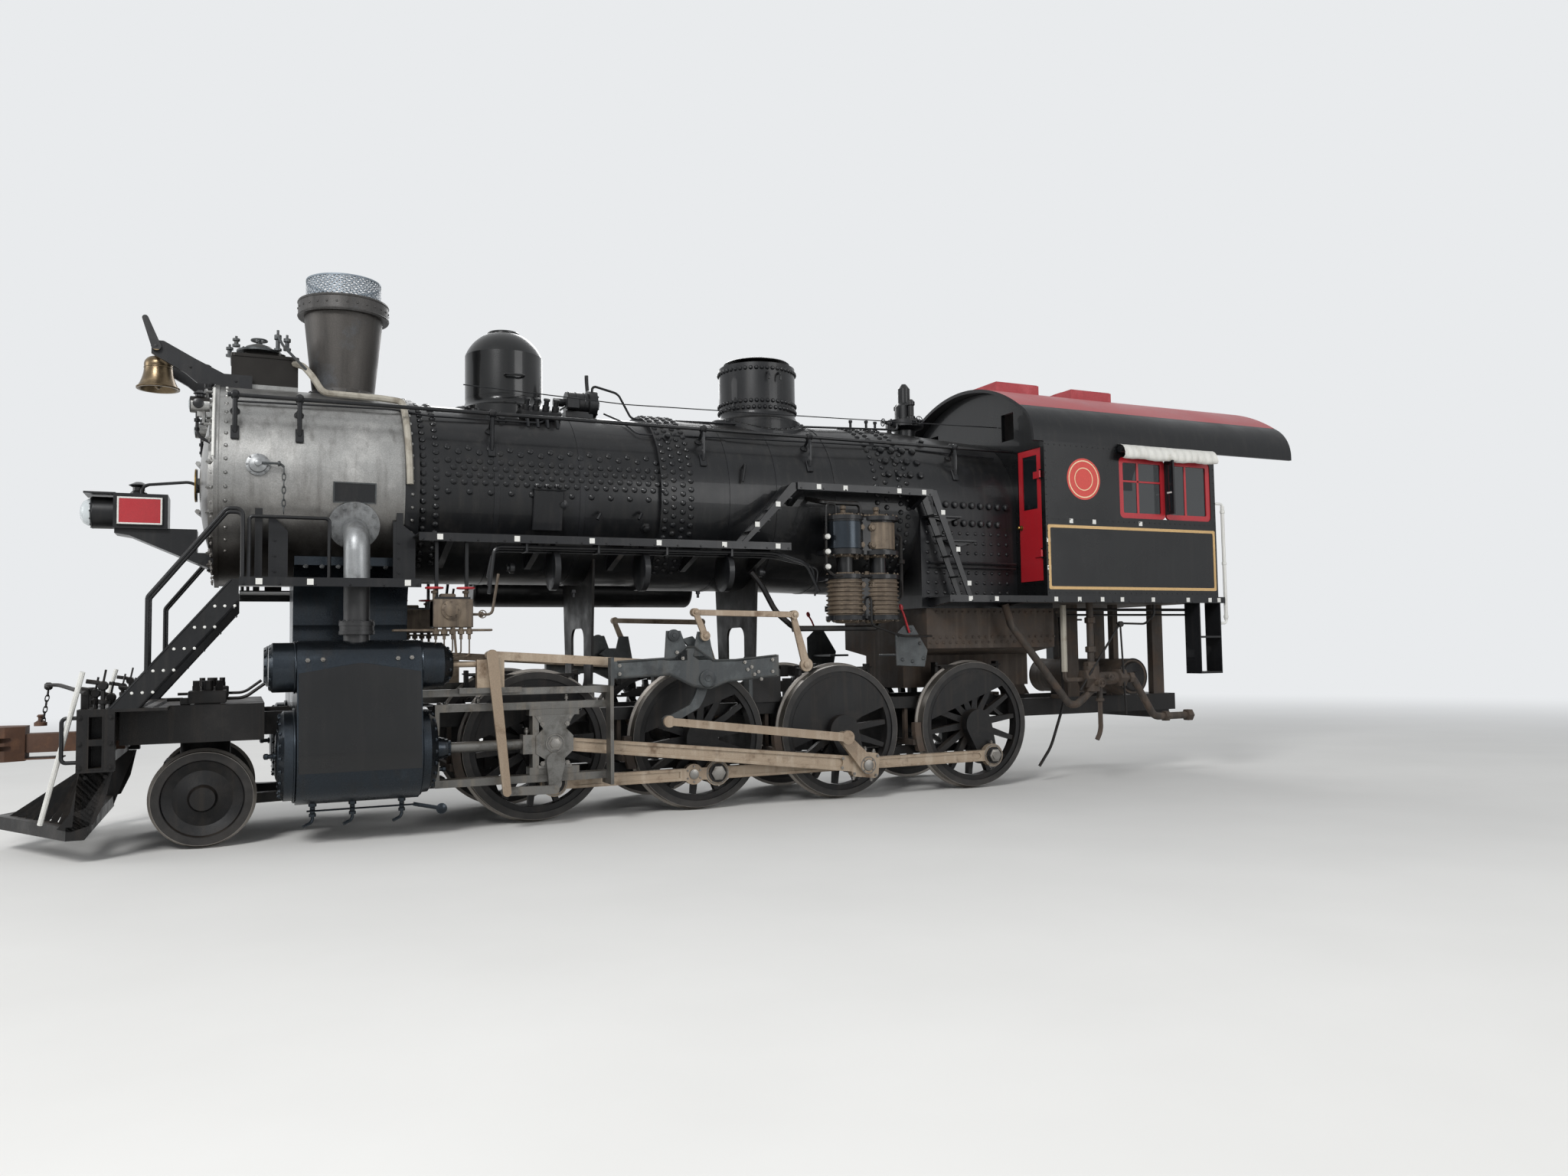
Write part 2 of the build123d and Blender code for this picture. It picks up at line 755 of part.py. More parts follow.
# Smokebox with the box on its top
with BuildPart() as smokebox:
    with BuildSketch(Plane.YZ.offset(at(smokebox_front_x))):
        with Locations((0, boiler_z)):
            Circle(smokebox_radius)
    extrude(amount=smokebox_rear_x - smokebox_front_x)
    block(at(-2740), at(-2160), -230, 230, 4000, 4500)
    with BuildSketch(Plane.XY.offset(4500)):
        with Locations((at(-2450), 0)):
            RectangleRounded(600, 480, 40)
    extrude(amount=30)
    with BuildSketch(Plane.XY.offset(4530)):
        with Locations((at(-2450), 0)):
            SlotOverall(380, 180)
    extrude(amount=60)
smokebox.part.label = "smokebox"
export_step(smokebox.part, "parts/smokebox.step")

# Smokebox front ring, plate and dished door
front_face = at(smokebox_front_x)
ring_face = 36
door_radius = 620
door_edge = 86
door_dish = 86
class_lamp_y = 660
class_lamp_z = boiler_z + 640
class_lamp_radius = 74
class_lamp_reach = 190
with BuildPart() as smokebox_front:
    with BuildSketch(Plane.XZ):
        with BuildLine():
            ring_top = boiler_z + smokebox_radius + 14
            Line((front_face, boiler_z), (front_face, ring_top))
            Line((front_face, ring_top), (front_face - ring_face, ring_top))
            Line((front_face - ring_face, ring_top), (front_face - ring_face, boiler_z + door_radius + 20))
            Line((front_face - ring_face, boiler_z + door_radius + 20), (front_face - door_edge, boiler_z + door_radius))
            RadiusArc(
                (front_face - door_edge, boiler_z + door_radius),
                (front_face - door_edge - door_dish, boiler_z),
                -(door_radius ** 2 + door_dish ** 2) / (2 * door_dish),
            )
            Line((front_face - door_edge - door_dish, boiler_z), (front_face, boiler_z))
        make_face()
    revolve(axis=Axis((0, 0, boiler_z), (1, 0, 0)))
    # Class lamps on brackets from the ring, and the door's centre cap
    for side in (LEFT, RIGHT):
        with BuildSketch(Plane.YZ.offset(front_face - ring_face - class_lamp_reach)):
            with Locations((side * class_lamp_y, class_lamp_z)):
                Circle(class_lamp_radius)
        extrude(amount=class_lamp_reach - 40)
        lamp_foot = (class_lamp_y - 35, class_lamp_y + 35)
        x0 = front_face - ring_face - class_lamp_reach + 50
        side_block(side, x0, front_face - ring_face + 1, *lamp_foot, class_lamp_z - 110, class_lamp_z - 40)
    with BuildSketch(Plane.YZ.offset(front_face - door_edge - door_dish - 16)):
        with Locations((0, boiler_z)):
            Circle(70)
    extrude(amount=60)
smokebox_front.part.label = "smokebox_front"
export_step(smokebox_front.part, "parts/smokebox_front.step")

# Smokestack: tapered barrel, cap band and wire screen
stack_x = at(-1735)
with BuildPart() as smokestack:
    with BuildSketch(Plane.XZ):
        with BuildLine():
            Polyline(
                (stack_x, 4000),
                (stack_x + 330, 4000),
                (stack_x + 310, 4215),
                (stack_x + 292, 4260),
                (stack_x + 368, 5000),
                (stack_x + 423, 5000),
                (stack_x + 423, 5160),
                (stack_x + 352, 5160),
                (stack_x + 352, 5376),
                (stack_x + 338, 5376),
                (stack_x + 338, 5060),
                (stack_x + 250, 4560),
                (stack_x, 4560),
                close=True,
            )
        make_face()
    revolve(axis=Axis((stack_x, 0, 0), (0, 0, 1)))
    boiler_cut(smokebox_radius, at(smokebox_front_x), at(smokebox_rear_x))
smokestack.part.label = "smokestack"
export_step(smokestack.part, "parts/smokestack.step")

# Boiler barrel: two courses and a cone up to the firebox
with BuildPart() as boiler_barrel:
    with BuildSketch(Plane.XZ):
        with BuildLine():
            Polyline(
                (at(smokebox_rear_x), boiler_z),
                (at(smokebox_rear_x), boiler_z + smokebox_radius),
                (at(smokebox_rear_x) + 130, boiler_z + smokebox_radius),
                (at(smokebox_rear_x) + 130, boiler_z + front_course_radius),
                (at(course_step_x), boiler_z + front_course_radius),
                (at(course_step_x), boiler_z + rear_course_radius),
                (at(cone_start_x), boiler_z + rear_course_radius),
                (at(throat_x), boiler_z + throat_radius),
                (at(throat_x), boiler_z),
                close=True,
            )
        make_face()
    revolve(axis=Axis((0, 0, boiler_z), (1, 0, 0)))
boiler_barrel.part.label = "boiler_barrel"
export_step(boiler_barrel.part, "parts/boiler_barrel.step")


def wrapper_outline(radius, low):
    """Round crown on straight sides."""
    with BuildSketch() as outline:
        with BuildLine():
            Line((-radius, low), (-radius, boiler_z))
            ThreePointArc((-radius, boiler_z), (0, boiler_z + radius), (radius, boiler_z))
            Line((radius, boiler_z), (radius, low))
            Line((radius, low), (-radius, low))
        make_face()
    return outline.sketch


# Firebox wrapper, narrowing to the backhead inside the cab
with BuildPart() as firebox:
    with BuildSketch(Plane.YZ.offset(at(throat_x))):
        add(wrapper_outline(throat_radius, firebox_low))
    with BuildSketch(Plane.YZ.offset(at(wrapper_end_x))):
        add(wrapper_outline(wrapper_end_radius, firebox_low))
    loft()
    with BuildSketch(Plane.YZ.offset(at(wrapper_end_x))):
        add(wrapper_outline(wrapper_end_radius, firebox_low))
    extrude(amount=backhead_x - wrapper_end_x)
firebox.part.label = "firebox"
export_step(firebox.part, "parts/firebox.step")

# Backhead fittings: fire door and throttle
with BuildPart() as backhead_fittings:
    with BuildSketch(Plane.YZ.offset(at(backhead_x))):
        with Locations((0, 2750)):
            RectangleRounded(620, 460, 120)
    extrude(amount=40)
    with BuildSketch(Plane.YZ.offset(at(backhead_x))):
        with Locations((0, 3700)):
            RectangleRounded(900, 120, 40)
    extrude(amount=90)
    with BuildSketch(Plane.YZ.offset(at(backhead_x))):
        with Locations((420, 3300)):
            Circle(110)
    extrude(amount=60)
    with BuildSketch(Plane.YZ.offset(at(backhead_x))):
        with Locations((-420, 3330)):
            RectangleRounded(90, 420, 30)
    extrude(amount=80)
backhead_fittings.part.label = "backhead_fittings"
export_step(backhead_fittings.part, "parts/backhead_fittings.step")

# Ash pan under the firebox
with BuildPart() as ash_pan:
    with BuildSketch(Plane.YZ.offset(at(4420))):
        with BuildLine():
            Polyline(
                (-980, firebox_low),
                (-980, 1640),
                (-440, 1560),
                (-440, 1180),
                (440, 1180),
                (440, 1560),
                (980, 1640),
                (980, firebox_low),
                close=True,
            )
        make_face()
    extrude(amount=1800)
ash_pan.part.label = "ash_pan"
export_step(ash_pan.part, "parts/ash_pan.step")


def dome_outline(x, radius, top, boiler_radius, rise):
    """Half section of a round dome with a flared foot, down into the boiler's top."""
    skirt = boiler_z + boiler_radius
    with BuildSketch() as outline:
        with BuildLine():
            Line((x, skirt - 160), (x + radius + 60, skirt - 160))
            Line((x + radius + 60, skirt - 160), (x + radius + 60, skirt + 10))
            ThreePointArc((x + radius + 60, skirt + 10), (x + radius + 14, skirt + 50), (x + radius, skirt + 130))
            Line((x + radius, skirt + 130), (x + radius, top - rise))
            RadiusArc((x + radius, top - rise), (x, top), -(radius ** 2 + rise ** 2) / (2 * rise))
            Line((x, top), (x, skirt - 160))
        make_face()
    return outline.sketch


def saddle_flange(x, radius, boiler_radius):
    """Round flange that lies on the boiler's shell, in the part being built."""
    with Locations((x, 0, boiler_z)):
        Cylinder(boiler_radius + flange_thick, 2 * radius, rotation=(0, 90, 0))
    with Locations((x, 0, boiler_z + 1000)):
        Cylinder(radius, 1400, mode=Mode.INTERSECT)


flange_thick = 22
# Sand dome
sand_dome_x = at(-150)
with BuildPart() as sand_dome:
    saddle_flange(sand_dome_x, 500, front_course_radius)
    with BuildSketch(Plane.XZ):
        add(dome_outline(sand_dome_x, 396, 5050, front_course_radius, 280))
    revolve(axis=Axis((sand_dome_x, 0, 0), (0, 0, 1)))
    boiler_cut(front_course_radius, sand_dome_x - 600, sand_dome_x + 600)
sand_dome.part.label = "sand_dome"
export_step(sand_dome.part, "parts/sand_dome.step")

# Steam dome
steam_dome_x = at(2780)
steam_dome_seat = shell_radius(2780 + 560)
with BuildPart() as steam_dome:
    saddle_flange(steam_dome_x, 560, steam_dome_seat)
    with BuildSketch(Plane.XZ):
        add(dome_outline(steam_dome_x, 442, 4970, steam_dome_seat, 60))
    revolve(axis=Axis((steam_dome_x, 0, 0), (0, 0, 1)))
    with BuildSketch(Plane.XZ):
        with BuildLine():
            Polyline(
                (steam_dome_x - 700, boiler_z),
                (steam_dome_x - 700, boiler_z + rear_course_radius + seat_gap),
                (at(cone_start_x), boiler_z + rear_course_radius + seat_gap),
                (at(throat_x), boiler_z + throat_radius + seat_gap),
                (at(throat_x), boiler_z),
                close=True,
            )
        make_face()
    revolve(axis=Axis((0, 0, boiler_z), (1, 0, 0)), mode=Mode.SUBTRACT)
steam_dome.part.label = "steam_dome"
export_step(steam_dome.part, "parts/steam_dome.step")

# Safety valve turret on the firebox
turret_station = 4780
turret_x = at(turret_station)
turret_foot = 130
with BuildPart() as safety_turret:
    with BuildSketch(Plane.XZ):
        with BuildLine():
            Polyline(
                (turret_x, 4000),
                (turret_x + turret_foot, 4000),
                (turret_x + turret_foot, 4330),
                (turret_x + 235, 4370),
                (turret_x + 235, 4450),
                (turret_x + 110, 4480),
                (turret_x + 110, 4640),
                (turret_x + 75, 4680),
                (turret_x + 75, 4860),
                (turret_x + 30, 4920),
                (turret_x, 4920),
                close=True,
            )
        make_face()
    revolve(axis=Axis((turret_x, 0, 0), (0, 0, 1)))
    boiler_cut(shell_radius(turret_station - turret_foot), at(throat_x), at(wrapper_end_x))
safety_turret.part.label = "safety_turret"
export_step(safety_turret.part, "parts/safety_turret.step")

# Turbine generator on the barrel
generator_x = at(640)
with BuildPart() as generator:
    block(generator_x - 150, generator_x + 150, -90, 90, 4000, 4250)
    with Locations((generator_x, 0, 4350)):
        Cylinder(120, 260, rotation=(0, 90, 0))
    with Locations((generator_x + 150, 0, 4350)):
        Cylinder(150, 90, rotation=(0, 90, 0))
    with Locations((generator_x - 190, 0, 4350)):
        Cylinder(45, 140, rotation=(0, 90, 0))
    boiler_cut(front_course_radius, at(smokebox_rear_x), at(course_step_x))
generator.part.label = "generator"
export_step(generator.part, "parts/generator.step")

# Bell bracket leaning forward from the smokebox
bell_x = at(-3356)
bell_pivot_z = 4500
with BuildPart() as bell_bracket:
    with BuildSketch(Plane.XZ.offset(270)):
        with BuildLine():
            Polyline(
                (at(-2560), 4180),
                (at(-2860), 4060),
                (at(-3120), 4280),
                (bell_x - 40, bell_pivot_z - 60),
                (bell_x - 40, bell_pivot_z + 60),
                (bell_x + 60, bell_pivot_z + 60),
                (at(-3040), 4420),
                (at(-2800), 4300),
                (at(-2560), 4300),
                close=True,
            )
        make_face()
        with Locations((bell_x, bell_pivot_z)):
            Circle(26 + pin_gap, mode=Mode.SUBTRACT)
    extrude(amount=40)
    mirror(about=Plane.XZ)
    block(at(smokebox_front_x) + 4, at(-2760), -310, 310, 4000, 4240)
    boiler_cut(smokebox_radius, at(smokebox_front_x), at(smokebox_rear_x))
    boiler_cut(smokebox_radius + 14, at(smokebox_front_x) - 200, at(smokebox_front_x) + 1)
bell_bracket.part.label = "bell_bracket"
export_step(bell_bracket.part, "parts/bell_bracket.step")

# Bell with its yoke and pull lever
with BuildPart() as bell:
    with BuildSketch(Plane.XZ):
        with BuildLine():
            Line((bell_x, 4476), (bell_x + 60, 4476))
            ThreePointArc((bell_x + 60, 4476), (bell_x + 108, 4440), (bell_x + 118, 4380))
            ThreePointArc((bell_x + 118, 4380), (bell_x + 136, 4270), (bell_x + 182, 4170))
            Line((bell_x + 182, 4170), (bell_x + 160, 4170))
            ThreePointArc((bell_x + 160, 4170), (bell_x + 116, 4270), (bell_x + 98, 4380))
            Line((bell_x + 98, 4380), (bell_x + 80, 4440))
            Line((bell_x + 80, 4440), (bell_x, 4440))
            Line((bell_x, 4440), (bell_x, 4476))
        make_face()
    revolve(axis=Axis((bell_x, 0, 0), (0, 0, 1)))
    with BuildSketch(Plane.XZ.offset(-262)):
        with Locations((bell_x, bell_pivot_z)):
            Circle(34)
    extrude(amount=524)
    with BuildSketch(Plane.XZ.offset(-330)):
        with Locations((bell_x, bell_pivot_z)):
            Circle(26)
    extrude(amount=660)
    with BuildSketch(Plane.XZ.offset(318)):
        tapered_bar((bell_x, bell_pivot_z), (bell_x - 90, bell_pivot_z + 250), 40, 26)
    extrude(amount=26)
bell.part.label = "bell"
export_step(bell.part, "parts/bell.step")

# Headlight with hood and side number boards, on its bracket
lamp_radius = 146
lamp_z = 2994
lamp_lens_radius = 122
lamp_bracket_half = 150
with BuildPart() as headlight:
    block(at(-3688), at(-3251), -190, 190, 2840, 3160)
    with BuildSketch(Plane.YZ.offset(at(-3860))):
        with Locations((0, lamp_z)):
            Circle(lamp_radius)
    extrude(amount=200)
    with BuildSketch(Plane.YZ.offset(at(-3870))):
        with Locations((0, lamp_z)):
            Circle(lamp_lens_radius)
    extrude(amount=44, mode=Mode.SUBTRACT)
    block(at(-3923), at(-3670), -184, 184, 3150, 3166)
    for side in (LEFT, RIGHT):
        side_block(side, at(-3660), at(-3290), 185, 214, 2870, 3130)
    with BuildSketch(Plane.XZ.offset(-lamp_bracket_half)):
        with BuildLine():
            Polyline(
                (at(-3680), 2850),
                (at(-3680), 2800),
                (at(-3560), 2780),
                (front_face - ring_face - seat_gap, 2470),
                (front_face - ring_face - seat_gap, 2850),
                close=True,
            )
        make_face()
    extrude(amount=2 * lamp_bracket_half)
    with BuildSketch(Plane.YZ.offset(front_face - door_edge - door_dish - 10)):
        with Locations((0, boiler_z)):
            Circle(door_radius + 45)
    extrude(amount=door_edge + door_dish + 10, mode=Mode.SUBTRACT)
headlight.part.label = "headlight"
export_step(headlight.part, "parts/headlight.step")

# Running boards with turned-down lips, on brackets from the boiler
bracket_width = 60
with BuildPart() as running_boards:
    for row in board_rows:
        underside = row["z"] - board_plate
        with BuildSketch(Plane.YZ.offset(at(row["x0"]))):
            with BuildLine():
                Polyline(
                    (-row["inner"], row["z"]),
                    (-row["outer"], row["z"]),
                    (-row["outer"], row["z"] - board_lip),
                    (-row["outer"] + 14, row["z"] - board_lip),
                    (-row["outer"] + 14, underside),
                    (-row["inner"], underside),
                    close=True,
                )
            make_face()
        extrude(amount=row["x1"] - row["x0"])
        if row["name"] == "front":
            with BuildSketch(Plane.XY.offset(row["z"] - board_lip)):
                with Locations((steam_pipe_x, -1180)):
                    Circle(steam_pipe_radius + 20)
            extrude(amount=2 * board_lip, mode=Mode.SUBTRACT)
        for station in row["brackets"]:
            ends = (station - bracket_width / 2, station + bracket_width / 2)
            shell = max(shell_radius(ends[0]), shell_radius(ends[1])) + seat_gap
            with BuildSketch(Plane.YZ.offset(at(ends[0]))):
                with BuildLine():
                    if row["name"] == "front":
                        Polyline((-730, row["z"]), (-900, row["z"]), (-900, boiler_z), (-730, boiler_z), close=True)
                    elif row["name"] == "cab":
                        Polyline(
                            (-shell, underside),
                            (-row["outer"] + 30, underside),
                            (-row["outer"] + 30, underside - 50),
                            (-shell, firebox_low + 10),
                            close=True,
                        )
                    else:
                        Polyline(
                            (-row["inner"] + 190, underside),
                            (-row["outer"] + 30, underside),
                            (-row["outer"] + 30, underside - 50),
                            (-row["inner"] + 190, underside - 260),
                            close=True,
                        )
                make_face()
                if row["name"] != "cab":
                    with Locations((0, boiler_z)):
                        Circle(shell, mode=Mode.SUBTRACT)
            extrude(amount=bracket_width)
    # Mechanical lubricator hung from the middle board
    block(at(-1060), at(-700), -1300, -1120, 1900, 2140)
    block(at(-1040), at(-720), -1280, -1140, 2139, 2180)
    for station in (-1030, -760):
        block(at(station), at(station) + 30, -1230, -1190, 2130, 2755)
    mirror(about=Plane.XZ)
running_boards.part.label = "running_boards"
export_step(running_boards.part, "parts/running_boards.step")

# Boiler handrails on stanchions that stand square to the shell
rail_z = 3985
rail_offset = 900
rail_radius = 19
rail_boss = 31
post_radius = 16
rail_front = -2760
rail_rear = 5720
stanchion_stations = (-2700, -2170, -440, 1750, 3000, 4900)
rail_reach = hypot(rail_offset, rail_z - boiler_z)
with BuildPart() as handrails:
    with BuildSketch(Plane.YZ.offset(at(rail_front))):
        with Locations((-rail_offset, rail_z)):
            Circle(rail_radius)
    extrude(amount=rail_rear - rail_front)
    for station in stanchion_stations:
        with BuildSketch(Plane.YZ.offset(at(station) - rail_boss)):
            with Locations((-rail_offset, rail_z)):
                Circle(rail_boss)
        extrude(amount=2 * rail_boss)
        with BuildSketch(Plane((at(station), -rail_offset, rail_z), z_dir=(0, rail_offset, boiler_z - rail_z))):
            Circle(post_radius)
        seat = max(shell_radius(station - post_radius), shell_radius(station + post_radius)) + seat_gap
        extrude(amount=rail_reach - seat)
    # Short rail beside the smokebox, grab irons at the cab's rear and on the pilot beam
    front_board = board_rows[0]["z"] + seat_gap
    side_rails = [
        [(at(-2576), -1050, front_board), (at(-2576), -1050, 2890), (at(-1923), -1050, 2890), (at(-1923), -1050, front_board)],
        [
            (at(cab_rear) + seat_gap, -cab_half + 30, 3400),
            (at(board_rows[-1]["x1"]) + 38, -cab_half + 30, 3400),
            (at(board_rows[-1]["x1"]) + 38, -cab_half + 30, 1900),
            (at(cab_rear) + 29 + seat_gap, -cab_half + 30, 1900),
        ],
        [
            (at(beam_front) - seat_gap, -beam_half + 80, 1185),
            (at(beam_front) - 110, -beam_half + 80, 1185),
            (at(beam_front) - 110, -beam_half + 80, 830),
            (at(beam_front) - seat_gap, -beam_half + 80, 830),
        ],
    ]
    for points in side_rails:
        with BuildLine() as rail_path:
            FilletPolyline(*points, radius=35)
        with BuildSketch(Plane(rail_path.line @ 0, z_dir=rail_path.line % 0)):
            Circle(post_radius)
        sweep(path=rail_path.line)
    mirror(about=Plane.XZ)
handrails.part.label = "handrails"
export_step(handrails.part, "parts/handrails.step")

# Cross-compound air compressor on the left side
pump_y = -1240
pump_rows = [
    dict(x=3230, upper=200, lower=185),
    dict(x=3640, upper=185, lower=205),
]
with BuildPart() as air_compressor:
    for row in pump_rows:
        with BuildSketch(Plane.XY.offset(2690)):
            with Locations((at(row["x"]), pump_y)):
                Circle(row["upper"])
        extrude(amount=350)
        with BuildSketch(Plane.XY.offset(2000)):
            with Locations((at(row["x"]), pump_y)):
                Circle(row["lower"])
        extrude(amount=440)
        for low in (1956, 2400, 2656, 3031):
            with BuildSketch(Plane.XY.offset(low)):
                with Locations((at(row["x"]), pump_y)):
                    Circle(row["lower"] + 28)
            extrude(amount=44)
        with BuildSketch(Plane.XY.offset(2430)):
            with Locations((at(row["x"]), pump_y)):
                Circle(90)
        extrude(amount=240)
    block(at(3200), at(3680), pump_y - 120, pump_y + 120, 2660, 3060)
    block(at(3200), at(3680), pump_y - 120, pump_y + 120, 1970, 2440)
    for station in (3160, 3700):
        for low in (2399, 2690):
            block(at(station) - 30, at(station) + 30, -1120, -780, low, low + 45)
        boiler_cut(shell_radius(station + 30), at(station) - 31, at(station) + 31)
air_compressor.part.label = "air_compressor"
export_step(air_compressor.part, "parts/air_compressor.step")

# Air reservoir under the right running board
with BuildPart() as air_reservoir:
    with Locations((at(1000), 1080, 2390)):
        Cylinder(205, 2600, rotation=(0, 90, 0))
    fillet(air_reservoir.faces().filter_by(GeomType.PLANE).edges(), radius=60)
    for station in (100, 1900):
        block(at(station) - 30, at(station) + 30, 980, 1180, 2560, 2753)
air_reservoir.part.label = "air_reservoir"
export_step(air_reservoir.part, "parts/air_reservoir.step")

# Cab: floor, side sheets, front wall and roof
with BuildPart() as cab_floor:
    floor_half = board_rows[3]["inner"] - seat_gap
    hole_half = wrapper_end_radius + seat_gap
    block(at(cab_front), at(board_rows[3]["x1"]), -floor_half, floor_half, cab_floor_z - 60, cab_floor_z)
    block(at(cab_front) - 1, at(backhead_x) + seat_gap, -hole_half, hole_half, 2100, 2300, mode=Mode.SUBTRACT)
    # Supports from the frames
    for side in (LEFT, RIGHT):
        for station in (6800, 8200):
            x0 = at(station) - 90
            side_block(side, x0, x0 + 180, frame_inner + 10, frame_inner + frame_thick - 10, 1010, cab_floor_z - 59)
    # Cross drum that lies on the frames
    with BuildSketch(Plane.XZ.offset(-900)):
        with Locations((at(7500), 1250)):
            Circle(225)
    extrude(amount=1800)
    for side in (LEFT, RIGHT):
        side_block(side, at(7400), at(7600), frame_inner + 10, frame_inner + frame_thick - 10, 1010 + seat_gap, 1100)
        side_block(side, at(7460), at(7540), frame_inner + 10, frame_inner + frame_thick - 10, 1400, cab_floor_z - 59)
cab_floor.part.label = "cab_floor"
export_step(cab_floor.part, "parts/cab_floor.step")

window_x0 = 6840
window_x1 = 8296
window_z0 = 3163
window_z1 = 3900
with BuildPart() as cab_sides:
    with BuildSketch(Plane.XZ.offset(cab_half - cab_wall)):
        with Locations((at((cab_front + cab_rear) / 2), (cab_floor_z + wall_top) / 2)):
            Rectangle(cab_rear - cab_front, wall_top - cab_floor_z)
        with Locations((at((window_x0 + window_x1) / 2), (window_z0 + window_z1) / 2)):
            RectangleRounded(window_x1 - window_x0, window_z1 - window_z0, 60, mode=Mode.SUBTRACT)
    extrude(amount=cab_wall)
    # Stiff rear edge
    block(at(cab_rear) - 60, at(cab_rear), -cab_half + cab_wall - 1, -cab_half + 110, cab_floor_z, wall_top)
    mirror(about=Plane.XZ)
cab_sides.part.label = "cab_sides"
export_step(cab_sides.part, "parts/cab_sides.step")


def roof_outline(drop, low):
    """Arched roof section, moved inwards by drop and closed at the given height."""
    half = cab_half - drop
    shoulder = (shoulder_half - drop * 0.6, shoulder_z - drop * 0.8)
    with BuildSketch() as outline:
        with BuildLine():
            Line((-half, low), (-half, eave_z))
            ThreePointArc((-half, eave_z), (-half + 70, eave_z + 255), (-shoulder[0], shoulder[1]))
            ThreePointArc((-shoulder[0], shoulder[1]), (0, roof_peak_z - drop), shoulder)
            ThreePointArc(shoulder, (half - 70, eave_z + 255), (half, eave_z))
            Line((half, eave_z), (half, low))
            Line((half, low), (-half, low))
        make_face()
    return outline.sketch


door_inner = cab_half - 500
door_outer = cab_half - 70
door_low = 2400
door_high = 3960
door_gap = 6
hinge_levels = (2720, 3640)
hinge_pin = 8
hinge_barrel = 14
hinge_height = 80
hinge_x = at(cab_front) - 21
hinge_offset = door_outer + 6
with BuildPart() as cab_front_wall:
    with BuildSketch(Plane.YZ.offset(at(cab_front))):
        add(roof_outline(cab_wall + seat_gap, cab_floor_z))
        add(wrapper_outline(wrapper_end_radius + seat_gap, cab_floor_z - 10), mode=Mode.SUBTRACT)
        for side in (LEFT, RIGHT):
            with Locations((side * (door_inner + door_outer) / 2, (door_low + door_high) / 2)):
                Rectangle(door_outer - door_inner, door_high - door_low, mode=Mode.SUBTRACT)
            with Locations((side * (shoulder_half - 450), 4300)):
                Rectangle(240, 330, mode=Mode.SUBTRACT)
    extrude(amount=50)
    # Hinge pins of the front doors, with a lug above and below each barrel
    for side in (LEFT, RIGHT):
        for level in hinge_levels:
            with BuildSketch(Plane.XY.offset(level - hinge_height / 2 - 16)):
                with Locations((hinge_x, side * hinge_offset)):
                    Circle(hinge_pin)
            extrude(amount=hinge_height + 32)
            for low in (level - hinge_height / 2 - 16, level + hinge_height / 2 + 2):
                lug = (hinge_offset - 4, hinge_offset + 9)
                side_block(side, hinge_x - 8, at(cab_front) + 1, lug[0], lug[1], low, low + 14)
cab_front_wall.part.label = "cab_front_wall"
export_step(cab_front_wall.part, "parts/cab_front_wall.step")

with BuildPart() as cab_roof:
    with BuildSketch(Plane.YZ.offset(at(roof_front))):
        add(roof_outline(0, wall_top))
        add(roof_outline(roof_thick, wall_top), mode=Mode.SUBTRACT)
    extrude(amount=roof_reach - roof_front)
cab_roof.part.label = "cab_roof"
export_step(cab_roof.part, "parts/cab_roof.step")

# Roof hatches
with BuildPart() as roof_hatches:
    for station in (6200, 7380):
        block(at(station) - 330, at(station) + 330, -420, 420, 4700, 4960)
    with BuildSketch(Plane.YZ.offset(at(roof_front))):
        add(roof_outline(-seat_gap, wall_top))
    extrude(amount=roof_reach - roof_front, mode=Mode.SUBTRACT)
roof_hatches.part.label = "roof_hatches"
export_step(roof_hatches.part, "parts/roof_hatches.step")

# Front doors of the cab, on straps hinged at their outer edges
for side in (LEFT, RIGHT):
    with BuildPart() as cab_door:
        x0 = at(cab_front)
        inner = door_inner + door_gap
        outer = door_outer - door_gap
        leaf = x0 + 5
        side_block(side, leaf, leaf + 35, inner, outer, door_low + door_gap, door_high - door_gap)
        side_block(side, x0, x0 + 50, door_inner + 80, door_outer - 80, 3250, 3880, mode=Mode.SUBTRACT)
        for level in hinge_levels:
            low = level - hinge_height / 2
            side_block(side, hinge_x + 7, x0 - door_gap, outer - 120, hinge_offset, low, low + hinge_height)
            side_block(side, x0 - door_gap - 1, leaf + 1, outer - 120, outer - 10, low, low + hinge_height)
            with BuildSketch(Plane.XY.offset(low)):
                with Locations((hinge_x, side * hinge_offset)):
                    Circle(hinge_barrel)
            extrude(amount=hinge_height)
            with BuildSketch(Plane.XY.offset(low)):
                with Locations((hinge_x, side * hinge_offset)):
                    Circle(hinge_pin + pin_gap)
            extrude(amount=hinge_height, mode=Mode.SUBTRACT)
    name = f"cab_door_{side_names[side]}"
    cab_door.part.label = name
    export_step(cab_door.part, f"parts/{name}.step")

# Side window sashes
sash_inner = cab_half - cab_wall + 8
sash_thick = 28
with BuildPart() as window_sashes:
    with BuildSketch(Plane.XZ.offset(sash_inner)):
        for x0, x1 in ((window_x0, 7560), (7575, window_x1)):
            with Locations((at((x0 + x1) / 2), (window_z0 + window_z1) / 2)):
                RectangleRounded(x1 - x0 - 2 * seat_gap, window_z1 - window_z0 - 2 * seat_gap, 60)
                RectangleRounded(x1 - x0 - 130, window_z1 - window_z0 - 130, 20, mode=Mode.SUBTRACT)
    extrude(amount=sash_thick)
    mirror(about=Plane.XZ)
window_sashes.part.label = "window_sashes"
export_step(window_sashes.part, "parts/window_sashes.step")

